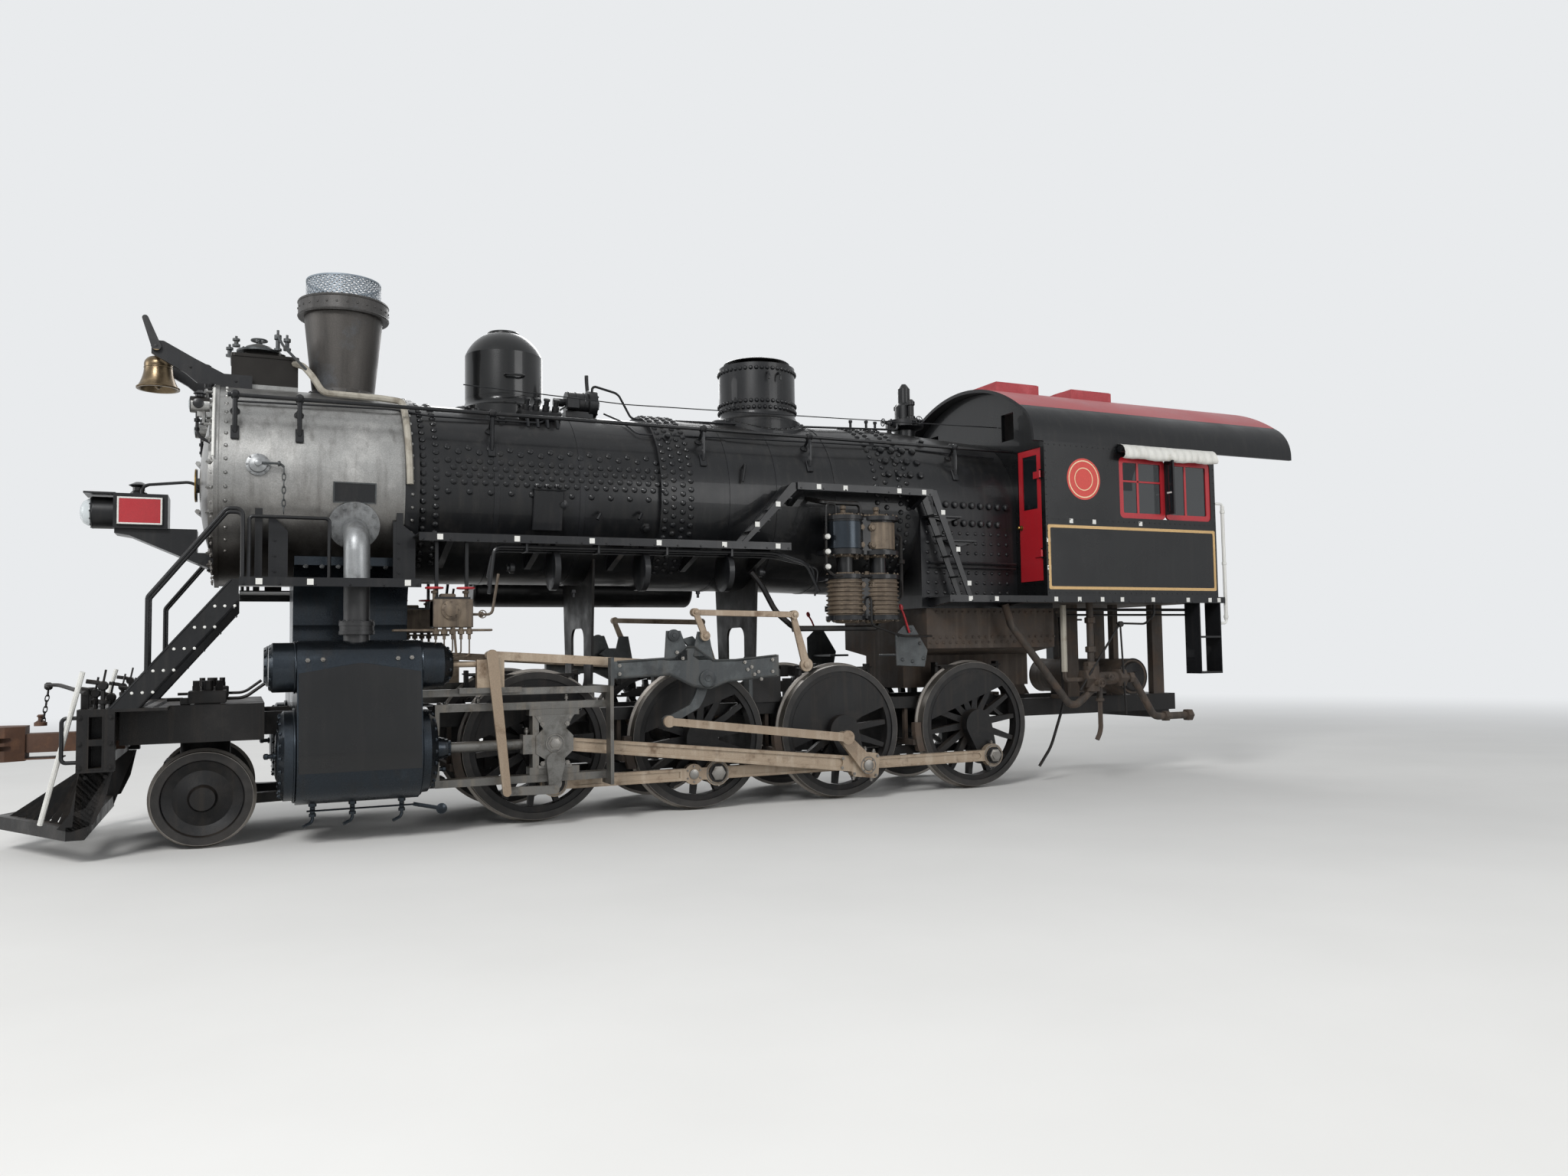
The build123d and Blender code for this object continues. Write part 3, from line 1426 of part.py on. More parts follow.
# Crew seats
seat_height = 2700
with BuildPart() as seats:
    for side in (LEFT, RIGHT):
        side_block(side, at(7000), at(7700), cab_half - 480, cab_half - 110, cab_floor_z, seat_height)
seats.part.label = "seats"
export_step(seats.part, "parts/seats.step")

# Guide bars, the yoke that carries their rear ends, and the valve stem guides
guide_top = 1120
guide_low = 430
guide_depth = 70
guide_half = 75
yoke_station = 593
yoke_thick = 34
yoke_open = motion_offset + guide_half + 10
yoke_inner = motion_offset - 60
yoke_outer = gear_plane + 90
yoke_foot = (500, 650)
yoke_bridge = (1250, 1330)
with BuildPart() as guides:
    x0 = at(cylinder_rear) + 150 + seat_gap
    x1 = at(yoke_station) + yoke_thick
    near = motion_offset - guide_half
    far = motion_offset + guide_half
    for low in (guide_top, guide_low):
        side_block(LEFT, x0, x1, near, far, low, low + guide_depth)
    for low, high in ((guide_low, 670), (910, guide_top + 1)):
        side_block(LEFT, x0, x0 + 40, near, far, low, high)
    with BuildSketch(Plane.YZ.offset(at(yoke_station))):
        with BuildLine():
            Polyline(
                (-yoke_foot[0], top_rail_z + top_rail_depth),
                (-yoke_foot[0], yoke_bridge[1]),
                (-yoke_outer, yoke_bridge[1]),
                (-yoke_outer, guide_low - 50),
                (-yoke_inner, guide_low - 50),
                (-yoke_inner, guide_low),
                (-yoke_open, guide_low),
                (-yoke_open, guide_top + guide_depth),
                (-yoke_inner, guide_top + guide_depth),
                (-yoke_inner, yoke_bridge[0]),
                (-yoke_foot[1], yoke_bridge[0]),
                (-yoke_foot[1], top_rail_z + top_rail_depth),
                close=True,
            )
        make_face()
    extrude(amount=yoke_thick)
    # Bar from the valve chest to the yoke, with the stem's slide on it
    side_block(LEFT, at(cylinder_rear) + seat_gap, at(yoke_station) + 1, gear_plane - 60, gear_plane - 20, 1265, 1330)
    side_block(LEFT, at(-820), at(-250), gear_plane - 60, gear_plane + 50, 1290, 1339)
    mirror(about=Plane.XZ)
guides.part.label = "guides"
export_step(guides.part, "parts/guides.step")

# Crossheads with piston rods and the arms that drive the valve gear
shoe_gap = 1
shoe_half = 240
shoe_depth = 60
piston_rod_length = 1084
wrist_radius = 48
for side in (LEFT, RIGHT):
    wrist_x = wrist_point(side)[0]
    head_inner = motion_offset - 70
    head_outer = motion_offset + 80
    top_shoe = guide_top - shoe_gap
    low_shoe = guide_low + guide_depth + shoe_gap
    with BuildPart() as crosshead:
        # Shoes against the guide bars
        x0 = wrist_x - shoe_half
        x1 = wrist_x + shoe_half
        side_block(side, x0, x1, head_inner, head_outer, top_shoe - shoe_depth, top_shoe)
        side_block(side, x0, x1, head_inner, head_outer, low_shoe, low_shoe + shoe_depth + 10)
        # Body plate outside the rod's eye
        with BuildSketch(side_plane(side, motion_offset + 50)):
            with BuildLine():
                Polyline(
                    (wrist_x - 190, 1060),
                    (wrist_x - 110, 930),
                    (wrist_x - 180, 870),
                    (wrist_x - 180, 700),
                    (wrist_x - 90, 640),
                    (wrist_x - 150, 560),
                    (wrist_x + 150, 560),
                    (wrist_x + 90, 640),
                    (wrist_x + 180, 720),
                    (wrist_x + 180, 860),
                    (wrist_x + 110, 930),
                    (wrist_x + 190, 1060),
                    close=True,
                )
            make_face()
        extrude(amount=-side * 40)
        # Solid front of the head, tied to the shoes, with the piston rod's boss
        side_block(side, wrist_x - 300, wrist_x - 150, head_inner, head_outer, 700, 880)
        side_block(side, wrist_x - 210, wrist_x - 150, head_inner, head_outer, 560, 1060)
        with BuildSketch(Plane.YZ.offset(wrist_x - 300)):
            with Locations((side * motion_offset, cylinder_axis_z)):
                Circle(piston_rod_radius)
        extrude(amount=-piston_rod_length)
        # Wrist pin
        with BuildSketch(side_plane(side, main_rod_inner)):
            with Locations((wrist_x, cylinder_axis_z)):
                Circle(wrist_radius)
        extrude(amount=-side * (motion_offset + 51 - main_rod_inner))
        # Arm down to the union link, and the link with the pin for the combination lever
        arm_foot = (wrist_x - 15, 361)
        link_end = (arm_foot[0] - union_link_length, lever_foot_z)
        with BuildSketch(side_plane(side, motion_offset + 88)):
            tapered_bar((wrist_x, 620), arm_foot, 90, 45)
        extrude(amount=-side * 42)
        with BuildSketch(side_plane(side, motion_offset + 128)):
            tapered_bar(arm_foot, link_end, 40, 40)
        extrude(amount=-side * 36)
        with BuildSketch(side_plane(side, motion_offset + 163)):
            with Locations(link_end):
                Circle(24)
        extrude(amount=-side * 31)
    name = f"crosshead_{side_names[side]}"
    crosshead.part.label = name
    export_step(crosshead.part, f"parts/{name}.step")

# Main rods from the crossheads to the third drivers, with the return cranks
return_crank_plane = main_rod_inner + main_rod_thick + 12
return_crank_thick = 46
main_flute_depth = 20
for side in (LEFT, RIGHT):
    pin = pin_point(driver_stations[2], crank_angles[side])
    wrist = wrist_point(side)
    slope = degrees(atan2(pin[1] - wrist[1], pin[0] - wrist[0]))
    with BuildPart() as main_rod:
        with BuildSketch(side_plane(side, main_rod_inner)):
            tapered_bar(wrist, pin, 62, 84)
            with Locations(wrist):
                Circle(92)
            with Locations(Location((pin[0], pin[1], 0), (0, 0, slope))):
                RectangleRounded(330, 270, 50)
            with Locations(wrist):
                Circle(wrist_radius + pin_gap, mode=Mode.SUBTRACT)
        extrude(amount=-side * main_rod_thick)
        # Flute along the outer face
        run = (cos(radians(slope)), sin(radians(slope)))
        with BuildSketch(side_plane(side, main_rod_inner + main_rod_thick - main_flute_depth)):
            start = (wrist[0] + 230 * run[0], wrist[1] + 230 * run[1])
            end = (pin[0] - 330 * run[0], pin[1] - 330 * run[1])
            tapered_bar(start, end, 34, 48)
        extrude(amount=-side * (main_flute_depth + 1), mode=Mode.SUBTRACT)
        # Outer end of the crank pin, and the return crank on it
        with BuildSketch(side_plane(side, main_rod_inner + main_rod_thick - 1)):
            with Locations(pin):
                Circle(crank_pin_radius)
        extrude(amount=-side * 20)
        with BuildSketch(side_plane(side, return_crank_plane)):
            tapered_bar(pin, eccentric_point(side), 92, 60)
        extrude(amount=-side * return_crank_thick)
    name = f"main_rod_{side_names[side]}"
    main_rod.part.label = name
    export_step(main_rod.part, f"parts/{name}.step")

# Side rods that couple the drivers
flute_depth = 14
flute_end = 210
knuckle_offset = -261
for side in (LEFT, RIGHT):
    angle = crank_angles[side]
    pins = [pin_point(station, angle) for station in driver_stations]
    joint = (pins[1][0] + knuckle_offset, pins[1][1])
    with BuildPart() as side_rod:
        with BuildSketch(side_plane(side, rod_inner)):
            for start, end in zip(pins[:-1], pins[1:]):
                tapered_bar(start, end, 62, 62)
            for point in pins:
                with Locations(point):
                    Circle(130)
            with Locations(joint):
                Circle(105)
            for point in pins:
                with Locations(point):
                    Circle(crank_pin_radius + pin_gap, mode=Mode.SUBTRACT)
        extrude(amount=-side * side_rod_thick)
        # Flutes along the outer face
        with BuildSketch(side_plane(side, rod_inner + side_rod_thick - flute_depth)):
            for start, end in zip(pins[:-1], pins[1:]):
                tapered_bar((start[0] + flute_end, start[1]), (end[0] - flute_end, end[1]), 34, 34)
            with Locations(joint):
                Circle(150, mode=Mode.SUBTRACT)
        extrude(amount=-side * (flute_depth + 1), mode=Mode.SUBTRACT)
    name = f"side_rod_{side_names[side]}"
    side_rod.part.label = name
    export_step(side_rod.part, f"parts/{name}.step")

# Valve gear frame: a plate outside each link, from the yoke to a bracket on the main frame
link_x = at(link_trunnion[0])
link_z = link_trunnion[1]
plate_plane = gear_plane + 70
with BuildPart() as gear_frame:
    with BuildSketch(Plane.XZ.offset(plate_plane)):
        with BuildLine():
            Polyline(
                (at(yoke_station) + yoke_thick, 1400),
                (at(1200), 1420),
                (link_x - 180, 1300),
                (link_x, 1270),
                (link_x + 200, 1340),
                (at(2383), 1380),
                (at(2383), 1600),
                (at(1900), 1560),
                (link_x + 30, 1560),
                (at(1450), 1700),
                (at(1360), 1700),
                (at(1240), 1590),
                (at(yoke_station) + yoke_thick, 1560),
                close=True,
            )
        make_face()
    extrude(amount=40)
    block(at(yoke_station), at(yoke_station) + yoke_thick + 1, -plate_plane - 40, -gear_plane - 20, 1330, 1600)
    block(at(2343), at(2383), -plate_plane - 40, -600, 1400, 1580)
    block(at(2343), at(2383), -660, -520, top_rail_z + top_rail_depth, 1580)
    mirror(about=Plane.XZ)
gear_frame.part.label = "gear_frame"
export_step(gear_frame.part, "parts/gear_frame.step")

# Expansion links with their feet, on trunnions in the gear frame
def link_outline():
    """Curved link with its foot, about the trunnion, as it stands on the left side."""
    with BuildSketch() as outline:
        with BuildLine():
            ThreePointArc((-150, 427), (20, 27), (-90, -293))
            Line((-90, -293), (-394, -453))
            Line((-394, -453), (-434, -373))
            Line((-434, -373), (-190, -263))
            ThreePointArc((-190, -263), (-90, 27), (-260, 397))
            Line((-260, 397), (-150, 427))
        make_face()
        with Locations((-414, -416)):
            Circle(62)
    return outline.sketch


left_foot = link_foot_point(LEFT)
left_foot_angle = atan2(left_foot[1] - link_z, left_foot[0] - link_x)
with BuildPart() as expansion_links:
    for side in (LEFT, RIGHT):
        foot = link_foot_point(side)
        turn = degrees(atan2(foot[1] - link_z, foot[0] - link_x) - left_foot_angle)
        with BuildSketch(side_plane(side, gear_plane - gear_thick / 2)):
            with Locations(Location((link_x, link_z, 0), (0, 0, turn))):
                add(link_outline())
        extrude(amount=-side * gear_thick)
        with BuildSketch(side_plane(side, gear_plane + gear_thick / 2 - 1)):
            with Locations((link_x - 30, link_z)):
                Circle(55)
        extrude(amount=-side * (plate_plane - gear_plane - gear_thick / 2 + 1 - seat_gap))
expansion_links.part.label = "expansion_links"
export_step(expansion_links.part, "parts/expansion_links.step")

# Eccentric rods, outside the link feet, with the pins that meet the return cranks
rod_plane = gear_plane + gear_thick / 2 + seat_gap
open_pivot_gap = 12
with BuildPart() as eccentric_rods:
    for side in (LEFT, RIGHT):
        pin = eccentric_point(side)
        foot = link_foot_point(side)
        with BuildSketch(side_plane(side, rod_plane)):
            tapered_bar(pin, foot, 46, 38)
            with Locations(pin):
                Circle(74)
            with Locations(foot):
                Circle(58)
        extrude(amount=-side * 36)
        pin_start = return_crank_plane + return_crank_thick + open_pivot_gap
        with BuildSketch(side_plane(side, pin_start)):
            with Locations(pin):
                Circle(40)
        extrude(amount=-side * (rod_plane - pin_start + 1))
eccentric_rods.part.label = "eccentric_rods"
export_step(eccentric_rods.part, "parts/eccentric_rods.step")

# Combination levers, valve stems and radius rods
stem_x = at(-470)
lever_plane = gear_plane + 60
lever_thick = 34
radius_rod_plane = gear_plane - 88
lever_top = (stem_x - 60, 1640)
with BuildPart() as valve_levers:
    for side in (LEFT, RIGHT):
        lever_foot = (wrist_point(side)[0] - 15 - union_link_length, lever_foot_z)
        share = (lever_top[1] - 1450) / (lever_top[1] - lever_foot[1])
        stem_pin = (lever_top[0] + share * (lever_foot[0] - lever_top[0]), 1450)
        with BuildSketch(side_plane(side, lever_plane)):
            tapered_bar(lever_top, lever_foot, 52, 38)
        extrude(amount=-side * lever_thick)
        with BuildSketch(side_plane(side, radius_rod_plane)):
            with Locations(lever_top):
                Circle(34)
        extrude(amount=-side * (lever_plane - radius_rod_plane + 1))
        with BuildSketch(Plane.YZ.offset(at(cylinder_rear) + 288 + seat_gap)):
            with Locations((side * valve_offset, valve_axis_z)):
                Circle(28)
        extrude(amount=300)
        side_block(side, stem_x - 190, stem_x + 60, gear_plane - 40, gear_plane + 40, 1339 + seat_gap, 1600)
        with BuildSketch(side_plane(side, gear_plane + 30)):
            with Locations(stem_pin):
                Circle(34)
        extrude(amount=-side * (lever_plane - gear_plane - 29))
        with BuildSketch(side_plane(side, radius_rod_plane)):
            tapered_bar(lever_top, (at(1560), 1500), 40, 40)
            tapered_bar((at(1560), 1500), (at(2000), 1520), 40, 34)
        extrude(amount=-side * 50)
valve_levers.part.label = "valve_levers"
export_step(valve_levers.part, "parts/valve_levers.step")

# Reverse arms and reach rods on the gear frame
with BuildPart() as reverse_gear:
    with BuildSketch(Plane.XZ.offset(gear_plane + 30)):
        tapered_bar((at(2665), 1493), (at(2523), 2037), 80, 52)
    extrude(amount=40)
    with BuildSketch(Plane.XZ.offset(gear_plane + 72)):
        tapered_bar((at(2523), 2037), (at(1500), 2020), 40, 40)
    extrude(amount=34)
    with BuildSketch(Plane.XZ.offset(gear_plane + 60)):
        with Locations((at(2523), 2037)):
            Circle(24)
    extrude(amount=30)
    with BuildSketch(Plane.XZ.offset(600)):
        with Locations((at(2665), 1493)):
            Circle(52)
    extrude(amount=gear_plane + 31 - 600)
    block(at(2383) + seat_gap, at(2720), -660, -560, top_rail_z + top_rail_depth, 1441)
    mirror(about=Plane.XZ)
    block(at(2620), at(2710), -600, 600, 1440, 1540)
reverse_gear.part.label = "reverse_gear"
export_step(reverse_gear.part, "parts/reverse_gear.step")

# Front stairs on both sides: two stringers and their treads
stair_foot = (-3560, deck_z)
stair_head = (board_rows[0]["x0"] - 10 - seat_gap, 2318)
stair_steps = 6
stair_rail_radius = 17
with BuildPart() as stairs:
    for offset in (1050, 1330):
        with BuildSketch(Plane.XZ.offset(offset)):
            with BuildLine():
                Polyline(
                    (at(stair_foot[0]) - 40, stair_foot[1]),
                    (at(stair_foot[0]) + 180, stair_foot[1]),
                    (at(stair_head[0]) + 10, stair_head[1] - 190),
                    (at(stair_head[0]) + 10, stair_head[1]),
                    (at(stair_head[0]) - 50, stair_head[1]),
                    close=True,
                )
            make_face()
        extrude(amount=20)
    for step in range(1, stair_steps):
        share = step / stair_steps
        x = at(stair_foot[0] + (stair_head[0] - stair_foot[0]) * share)
        z = stair_foot[1] + (stair_head[1] - stair_foot[1]) * share
        block(x - 60, x + 130, -1331, -1069, z - 60, z - 48)
    # Hand rails from the stringers up to the front board
    for offset in (1060, 1340):
        with BuildLine() as rail_path:
            FilletPolyline(
                (at(-3330), -offset, 1540),
                (at(-3330), -offset, 2160),
                (at(-2750), -offset, 2920),
                (at(-2628), -offset, 2920),
                (at(-2628), -offset, board_rows[0]["z"] + seat_gap),
                radius=55,
            )
        with BuildSketch(Plane(rail_path.line @ 0, z_dir=rail_path.line % 0)):
            Circle(stair_rail_radius)
        sweep(path=rail_path.line)
    # Ladders from the middle board and the cab board up to the raised board
    for foot, head, low in ((2010, 2640 - seat_gap, 2765), (4830, 4319 + seat_gap, cab_floor_z)):
        lean = 60 if head > foot else -60
        for offset in (1075, 1290):
            with BuildSketch(Plane.XZ.offset(offset)):
                with BuildLine():
                    Polyline(
                        (at(foot), low + seat_gap),
                        (at(foot) + lean, low + seat_gap),
                        (at(head), 3330),
                        (at(head), 3405),
                        (at(head) - lean, 3405),
                        close=True,
                    )
                make_face()
            extrude(amount=16)
        rungs = 4
        for rung in range(1, rungs + 1):
            share = rung / (rungs + 1)
            x = at(foot + (head - foot) * share) + lean / 2
            z = low + (3370 - low) * share
            block(x - 45, x + 45, -1291, -1090, z - 12, z)
    mirror(about=Plane.XZ)
stairs.part.label = "stairs"
export_step(stairs.part, "parts/stairs.step")

# Brake shoes hung ahead of the drivers, with cross beams
with BuildPart() as brake_gear:
    for station in driver_stations:
        with BuildSketch(Plane.XZ.offset(wheel_back + 45)):
            with Locations((at(station), driver_axle_z)):
                Circle(tread_radius + 90)
                Circle(tread_radius + running_gap, mode=Mode.SUBTRACT)
            with Locations((at(station) - tread_radius - 40, driver_axle_z - 120)):
                Rectangle(160, 330, mode=Mode.INTERSECT)
        extrude(amount=80)
        beam_x = at(station) - tread_radius - 101
        side_block(LEFT, beam_x, beam_x + 50, 0, wheel_back + 100, 540, 600)
        side_block(LEFT, beam_x + 5, beam_x + 45, frame_inner + 30, frame_inner + 90, 599, top_rail_z)
    mirror(about=Plane.XZ)
brake_gear.part.label = "brake_gear"
export_step(brake_gear.part, "parts/brake_gear.step")

# Injectors with their pipes under the cab
with BuildPart() as injectors:
    with Locations((at(6780), -1180, 1250)):
        Cylinder(75, 520, rotation=(0, 90, 0))
    with Locations((at(6600), -1180, 1250)):
        Cylinder(95, 300)
    with BuildSketch(Plane.XY.offset(1200)):
        with Locations((at(6600), -1180)):
            Circle(42)
    extrude(amount=cab_floor_z - board_plate - 1200)
    # Delivery pipe up to the boiler's side, and the water pipe to the rear
    water_pipes = [
        ((at(6600), -1180, 1110), (at(6300), -1180, 900), (at(5440), -1180, 1900), (at(5360), -1180, 2140)),
        ((at(7030), -1180, 1250), (at(7240), -1180, 1250), (at(7560), -1180, 760), (at(8150), -1180, 760)),
    ]
    for points in water_pipes:
        with BuildLine() as pipe_path:
            FilletPolyline(*points, radius=140)
        with BuildSketch(Plane(pipe_path.line @ 0, z_dir=pipe_path.line % 0)):
            Circle(44)
        sweep(path=pipe_path.line)
    mirror(about=Plane.XZ)
injectors.part.label = "injectors"
export_step(injectors.part, "parts/injectors.step")

# Rear steps under the cab
step_levels = (1280, 1720)
step_x0 = 8060
step_x1 = 8390
step_inner = cab_half - 250
with BuildPart() as rear_steps:
    for low in step_levels:
        block(at(step_x0), at(step_x1) + 10, -cab_half, -step_inner, low, low + 20)
    for x in (step_x0 - 10, step_x1):
        block(at(x), at(x) + 12, -cab_half, -step_inner, step_levels[0], cab_floor_z - board_lip)
        block(at(x), at(x) + 12, -cab_half + 20, -step_inner, step_levels[0], cab_floor_z - board_plate)
    mirror(about=Plane.XZ)
rear_steps.part.label = "rear_steps"
export_step(rear_steps.part, "parts/rear_steps.step")

# Rolled awnings over the side windows, and a wind deflector beside each
awning_radius = 40
awning_z = 3985
deflector_reach = 140
with BuildPart() as window_awnings:
    roll_y = cab_half + seat_gap + awning_radius + 6
    with BuildSketch(Plane.YZ.offset(at(window_x0) - 20)):
        with Locations((-roll_y, awning_z)):
            Circle(awning_radius)
    extrude(amount=window_x1 - window_x0 + 40)
    for station in (window_x0 + 60, window_x1 - 60):
        block(at(station) - 15, at(station) + 15, -roll_y, -cab_half - seat_gap, awning_z - 15, awning_z + 15)
    deflector_x = at((window_x0 + window_x1) / 2) - 12
    outer = cab_half + deflector_reach
    hinge_side = sash_inner + sash_thick + seat_gap
    block(deflector_x, deflector_x + 24, -outer, -hinge_side, window_z0 + 60, window_z1 - 20)
    block(deflector_x - 1, deflector_x + 25, -outer + 30, -cab_half - 30, window_z0 + 95, window_z1 - 55, mode=Mode.SUBTRACT)
    mirror(about=Plane.XZ)
window_awnings.part.label = "window_awnings"
export_step(window_awnings.part, "parts/window_awnings.step")
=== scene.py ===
"""Steam locomotive, 2-8-0: finishes for every solid and the small pieces that dress it."""
import math

import bpy
from bpy.props import FloatProperty, FloatVectorProperty, IntProperty, PointerProperty
from bpy.types import Operator, Panel, PropertyGroup
from mathutils import Matrix, Vector


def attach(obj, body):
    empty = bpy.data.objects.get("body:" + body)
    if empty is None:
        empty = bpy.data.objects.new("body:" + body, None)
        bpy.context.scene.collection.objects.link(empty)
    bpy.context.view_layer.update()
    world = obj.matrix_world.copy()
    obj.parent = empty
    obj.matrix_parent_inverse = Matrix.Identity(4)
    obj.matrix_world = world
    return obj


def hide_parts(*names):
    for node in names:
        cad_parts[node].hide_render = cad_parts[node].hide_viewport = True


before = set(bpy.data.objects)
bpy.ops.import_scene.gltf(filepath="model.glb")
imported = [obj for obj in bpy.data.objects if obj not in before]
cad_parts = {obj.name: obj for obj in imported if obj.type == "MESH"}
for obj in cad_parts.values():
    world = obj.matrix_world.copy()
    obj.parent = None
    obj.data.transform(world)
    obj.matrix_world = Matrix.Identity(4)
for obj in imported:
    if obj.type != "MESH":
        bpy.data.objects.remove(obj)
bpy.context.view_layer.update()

bl_info = {
    "name": "Steam Locomotive Looks",
    "version": (1, 0, 0),
    "blender": (4, 5, 0),
    "location": "View3D > Sidebar > Engine",
    "description": "Paint, rivets, pipes and fittings of a 2-8-0 steam locomotive",
    "category": "Object",
}

# The engine faces -X. Those on both sides are modelled on the right.
FIRST_AXLE = -2.474
BOILER_Z = 3.28
COURSE_STEP = 1.262
AXLE_Z = 0.7494
CRANK = 0.381
DRIVER_STATIONS = (0, 1.702, 3.378, 5.156)
SIDES = (-1, 1)
SIDE_NAMES = {-1: "left", 1: "right"}
CRANK_ANGLES = {-1: -70, 1: 20}
MAIN_ROD = 3.446
PISTON_Y, PISTON_Z = 1.09, 0.79
VALVE_Y, VALVE_Z = 1.205, 1.56
CYLINDER_FRONT, CYLINDER_REAR = -2.196, -1.169
SMOKEBOX_FRONT = -2.83
ENGINE = "locomotive"
UP = (0, 0, 1)
AHEAD, ASTERN, OUT = (-1, 0, 0), (1, 0, 0), (0, 1, 0)


def shell_radius(station):
    """Outside radius of the boiler at a station."""
    if station < -1.126:
        return 0.948
    if station < COURSE_STEP:
        return 0.905
    if station < 2.6:
        return 0.955
    if station < 4.35:
        return 0.955 + 0.045 * (station - 2.6) / 1.75
    return 1.0 - 0.07 * min(1, (station - 4.35) / 1.25)


def on_shell(station, turn, lift=0.0):
    """Point on the boiler and its outward direction. turn is in degrees from the top, positive to the left."""
    angle = math.radians(turn)
    outward = Vector((0, -math.sin(angle), math.cos(angle)))
    return Vector((station, 0, BOILER_Z)) + outward * (shell_radius(station) + lift), outward


def over_shell(*spots):
    """Points over the shell, each given as (station, turn, lift)."""
    return [on_shell(*spot)[0] for spot in spots]


def shell_line(start, end, lift, steps):
    """Points over the shell between two (station, turn) spots."""
    turns = [[a + (b - a) * step / steps for a, b in zip(start, end)] for step in range(steps + 1)]
    return over_shell(*[(station, turn, lift) for station, turn in turns])


def pin(driver, side):
    """Station and height of a crank pin."""
    angle = math.radians(CRANK_ANGLES[side])
    return DRIVER_STATIONS[driver - 1] + CRANK * math.cos(angle), AXLE_Z + CRANK * math.sin(angle)


def wrist(side):
    """Station of a crosshead's wrist pin."""
    x, z = pin(3, side)
    return x - math.sqrt(MAIN_ROD ** 2 - (z - PISTON_Z) ** 2)


# ---------------------------------------------------------------- modelling helpers
def only(*pieces):
    """Selects these objects and no other."""
    bpy.ops.object.select_all(action="DESELECT")
    for piece in pieces:
        piece.select_set(True)
    if pieces:
        bpy.context.view_layer.objects.active = pieces[0]


def settle(piece):
    """Applies the object's place, so that it lies in the mesh."""
    only(piece)
    bpy.ops.object.transform_apply(location=True, rotation=True, scale=True)
    return piece


def edit(piece):
    """Opens a piece in edit mode with everything selected."""
    only(piece)
    bpy.ops.object.mode_set(mode="EDIT")
    bpy.ops.mesh.select_all(action="SELECT")


def outwards():
    """Turns every face of the mesh in edit mode outwards and closes it."""
    bpy.ops.mesh.select_all(action="SELECT")
    bpy.ops.mesh.normals_make_consistent(inside=False)
    bpy.ops.object.mode_set(mode="OBJECT")


def twin(piece, place):
    """Copy of a piece with its own mesh, at a place."""
    made = piece.copy()
    made.data = piece.data.copy()
    made.matrix_world = place
    bpy.context.collection.objects.link(made)
    return made


def along(axis):
    """Rotation that turns +Z to a direction."""
    return Vector(axis).normalized().to_track_quat("Z", "X").to_matrix().to_4x4()


def placed(piece, foot, axis=UP):
    """Stands a piece modelled at the origin on a point, its +Z along axis."""
    piece.matrix_world = Matrix.Translation(Vector(foot)) @ along(axis)
    return settle(piece)


def laid(piece, station, turn):
    """Lays a piece modelled at the origin on the boiler, its X kept along the engine."""
    piece.matrix_world = Matrix.Translation(on_shell(station, turn)[0]) @ Matrix.Rotation(math.radians(turn), 4, "X")
    return settle(piece)


def turned(profile, foot=(0, 0, 0), axis=UP, sides=24):
    """Turned piece: a disc extruded and resized through (radius, height) pairs."""
    only()
    radius, height = profile[0]
    bpy.ops.mesh.primitive_circle_add(vertices=sides, radius=radius, fill_type="NGON", location=(0, 0, height))
    bpy.ops.object.mode_set(mode="EDIT")
    for wider, higher in profile[1:]:
        bpy.ops.mesh.extrude_region_move(TRANSFORM_OT_translate={"value": (0, 0, higher - height)})
        share = wider / radius
        bpy.ops.transform.resize(value=(share, share, 1), center_override=(0, 0, higher))
        radius, height = wider, higher
    outwards()
    return placed(settle(bpy.context.object), foot, axis)


def mm(*sizes):
    """Profile of a turned piece from its radii and heights in turn, in millimetres."""
    return [(radius / 1000, height / 1000) for radius, height in zip(sizes[::2], sizes[1::2])]


def hoop(radius, thick, foot=(0, 0, 0), axis=UP, sides=32, around=8):
    """Round hoop of round bar."""
    only()
    bpy.ops.mesh.primitive_torus_add(major_radius=radius, minor_radius=thick,
                                     major_segments=sides, minor_segments=around)
    return placed(bpy.context.object, foot, axis)


def block(low, high, bevel=0.004, steps=1):
    """Block between two corners with its edges broken."""
    only()
    low, high = Vector(low), Vector(high)
    bpy.ops.mesh.primitive_cube_add(size=1, location=(low + high) / 2)
    piece = bpy.context.object
    piece.scale = high - low
    edit(settle(piece))
    bpy.ops.mesh.bevel(offset=bevel, segments=steps, affect="EDGES")
    outwards()
    return piece


def drawn(loops, flat):
    """Curve object of straight runs through each loop's points."""
    curve = bpy.data.curves.new("line", "CURVE")
    curve.dimensions = "2D" if flat else "3D"
    for loop in loops:
        line = curve.splines.new("POLY")
        line.points.add(len(loop) - 1)
        for point, place in zip(line.points, loop):
            point.co = (*place, 0, 1) if flat else (*place, 1)
        line.use_cyclic_u = flat
    piece = bpy.data.objects.new("line", curve)
    bpy.context.collection.objects.link(piece)
    only(piece)
    return piece


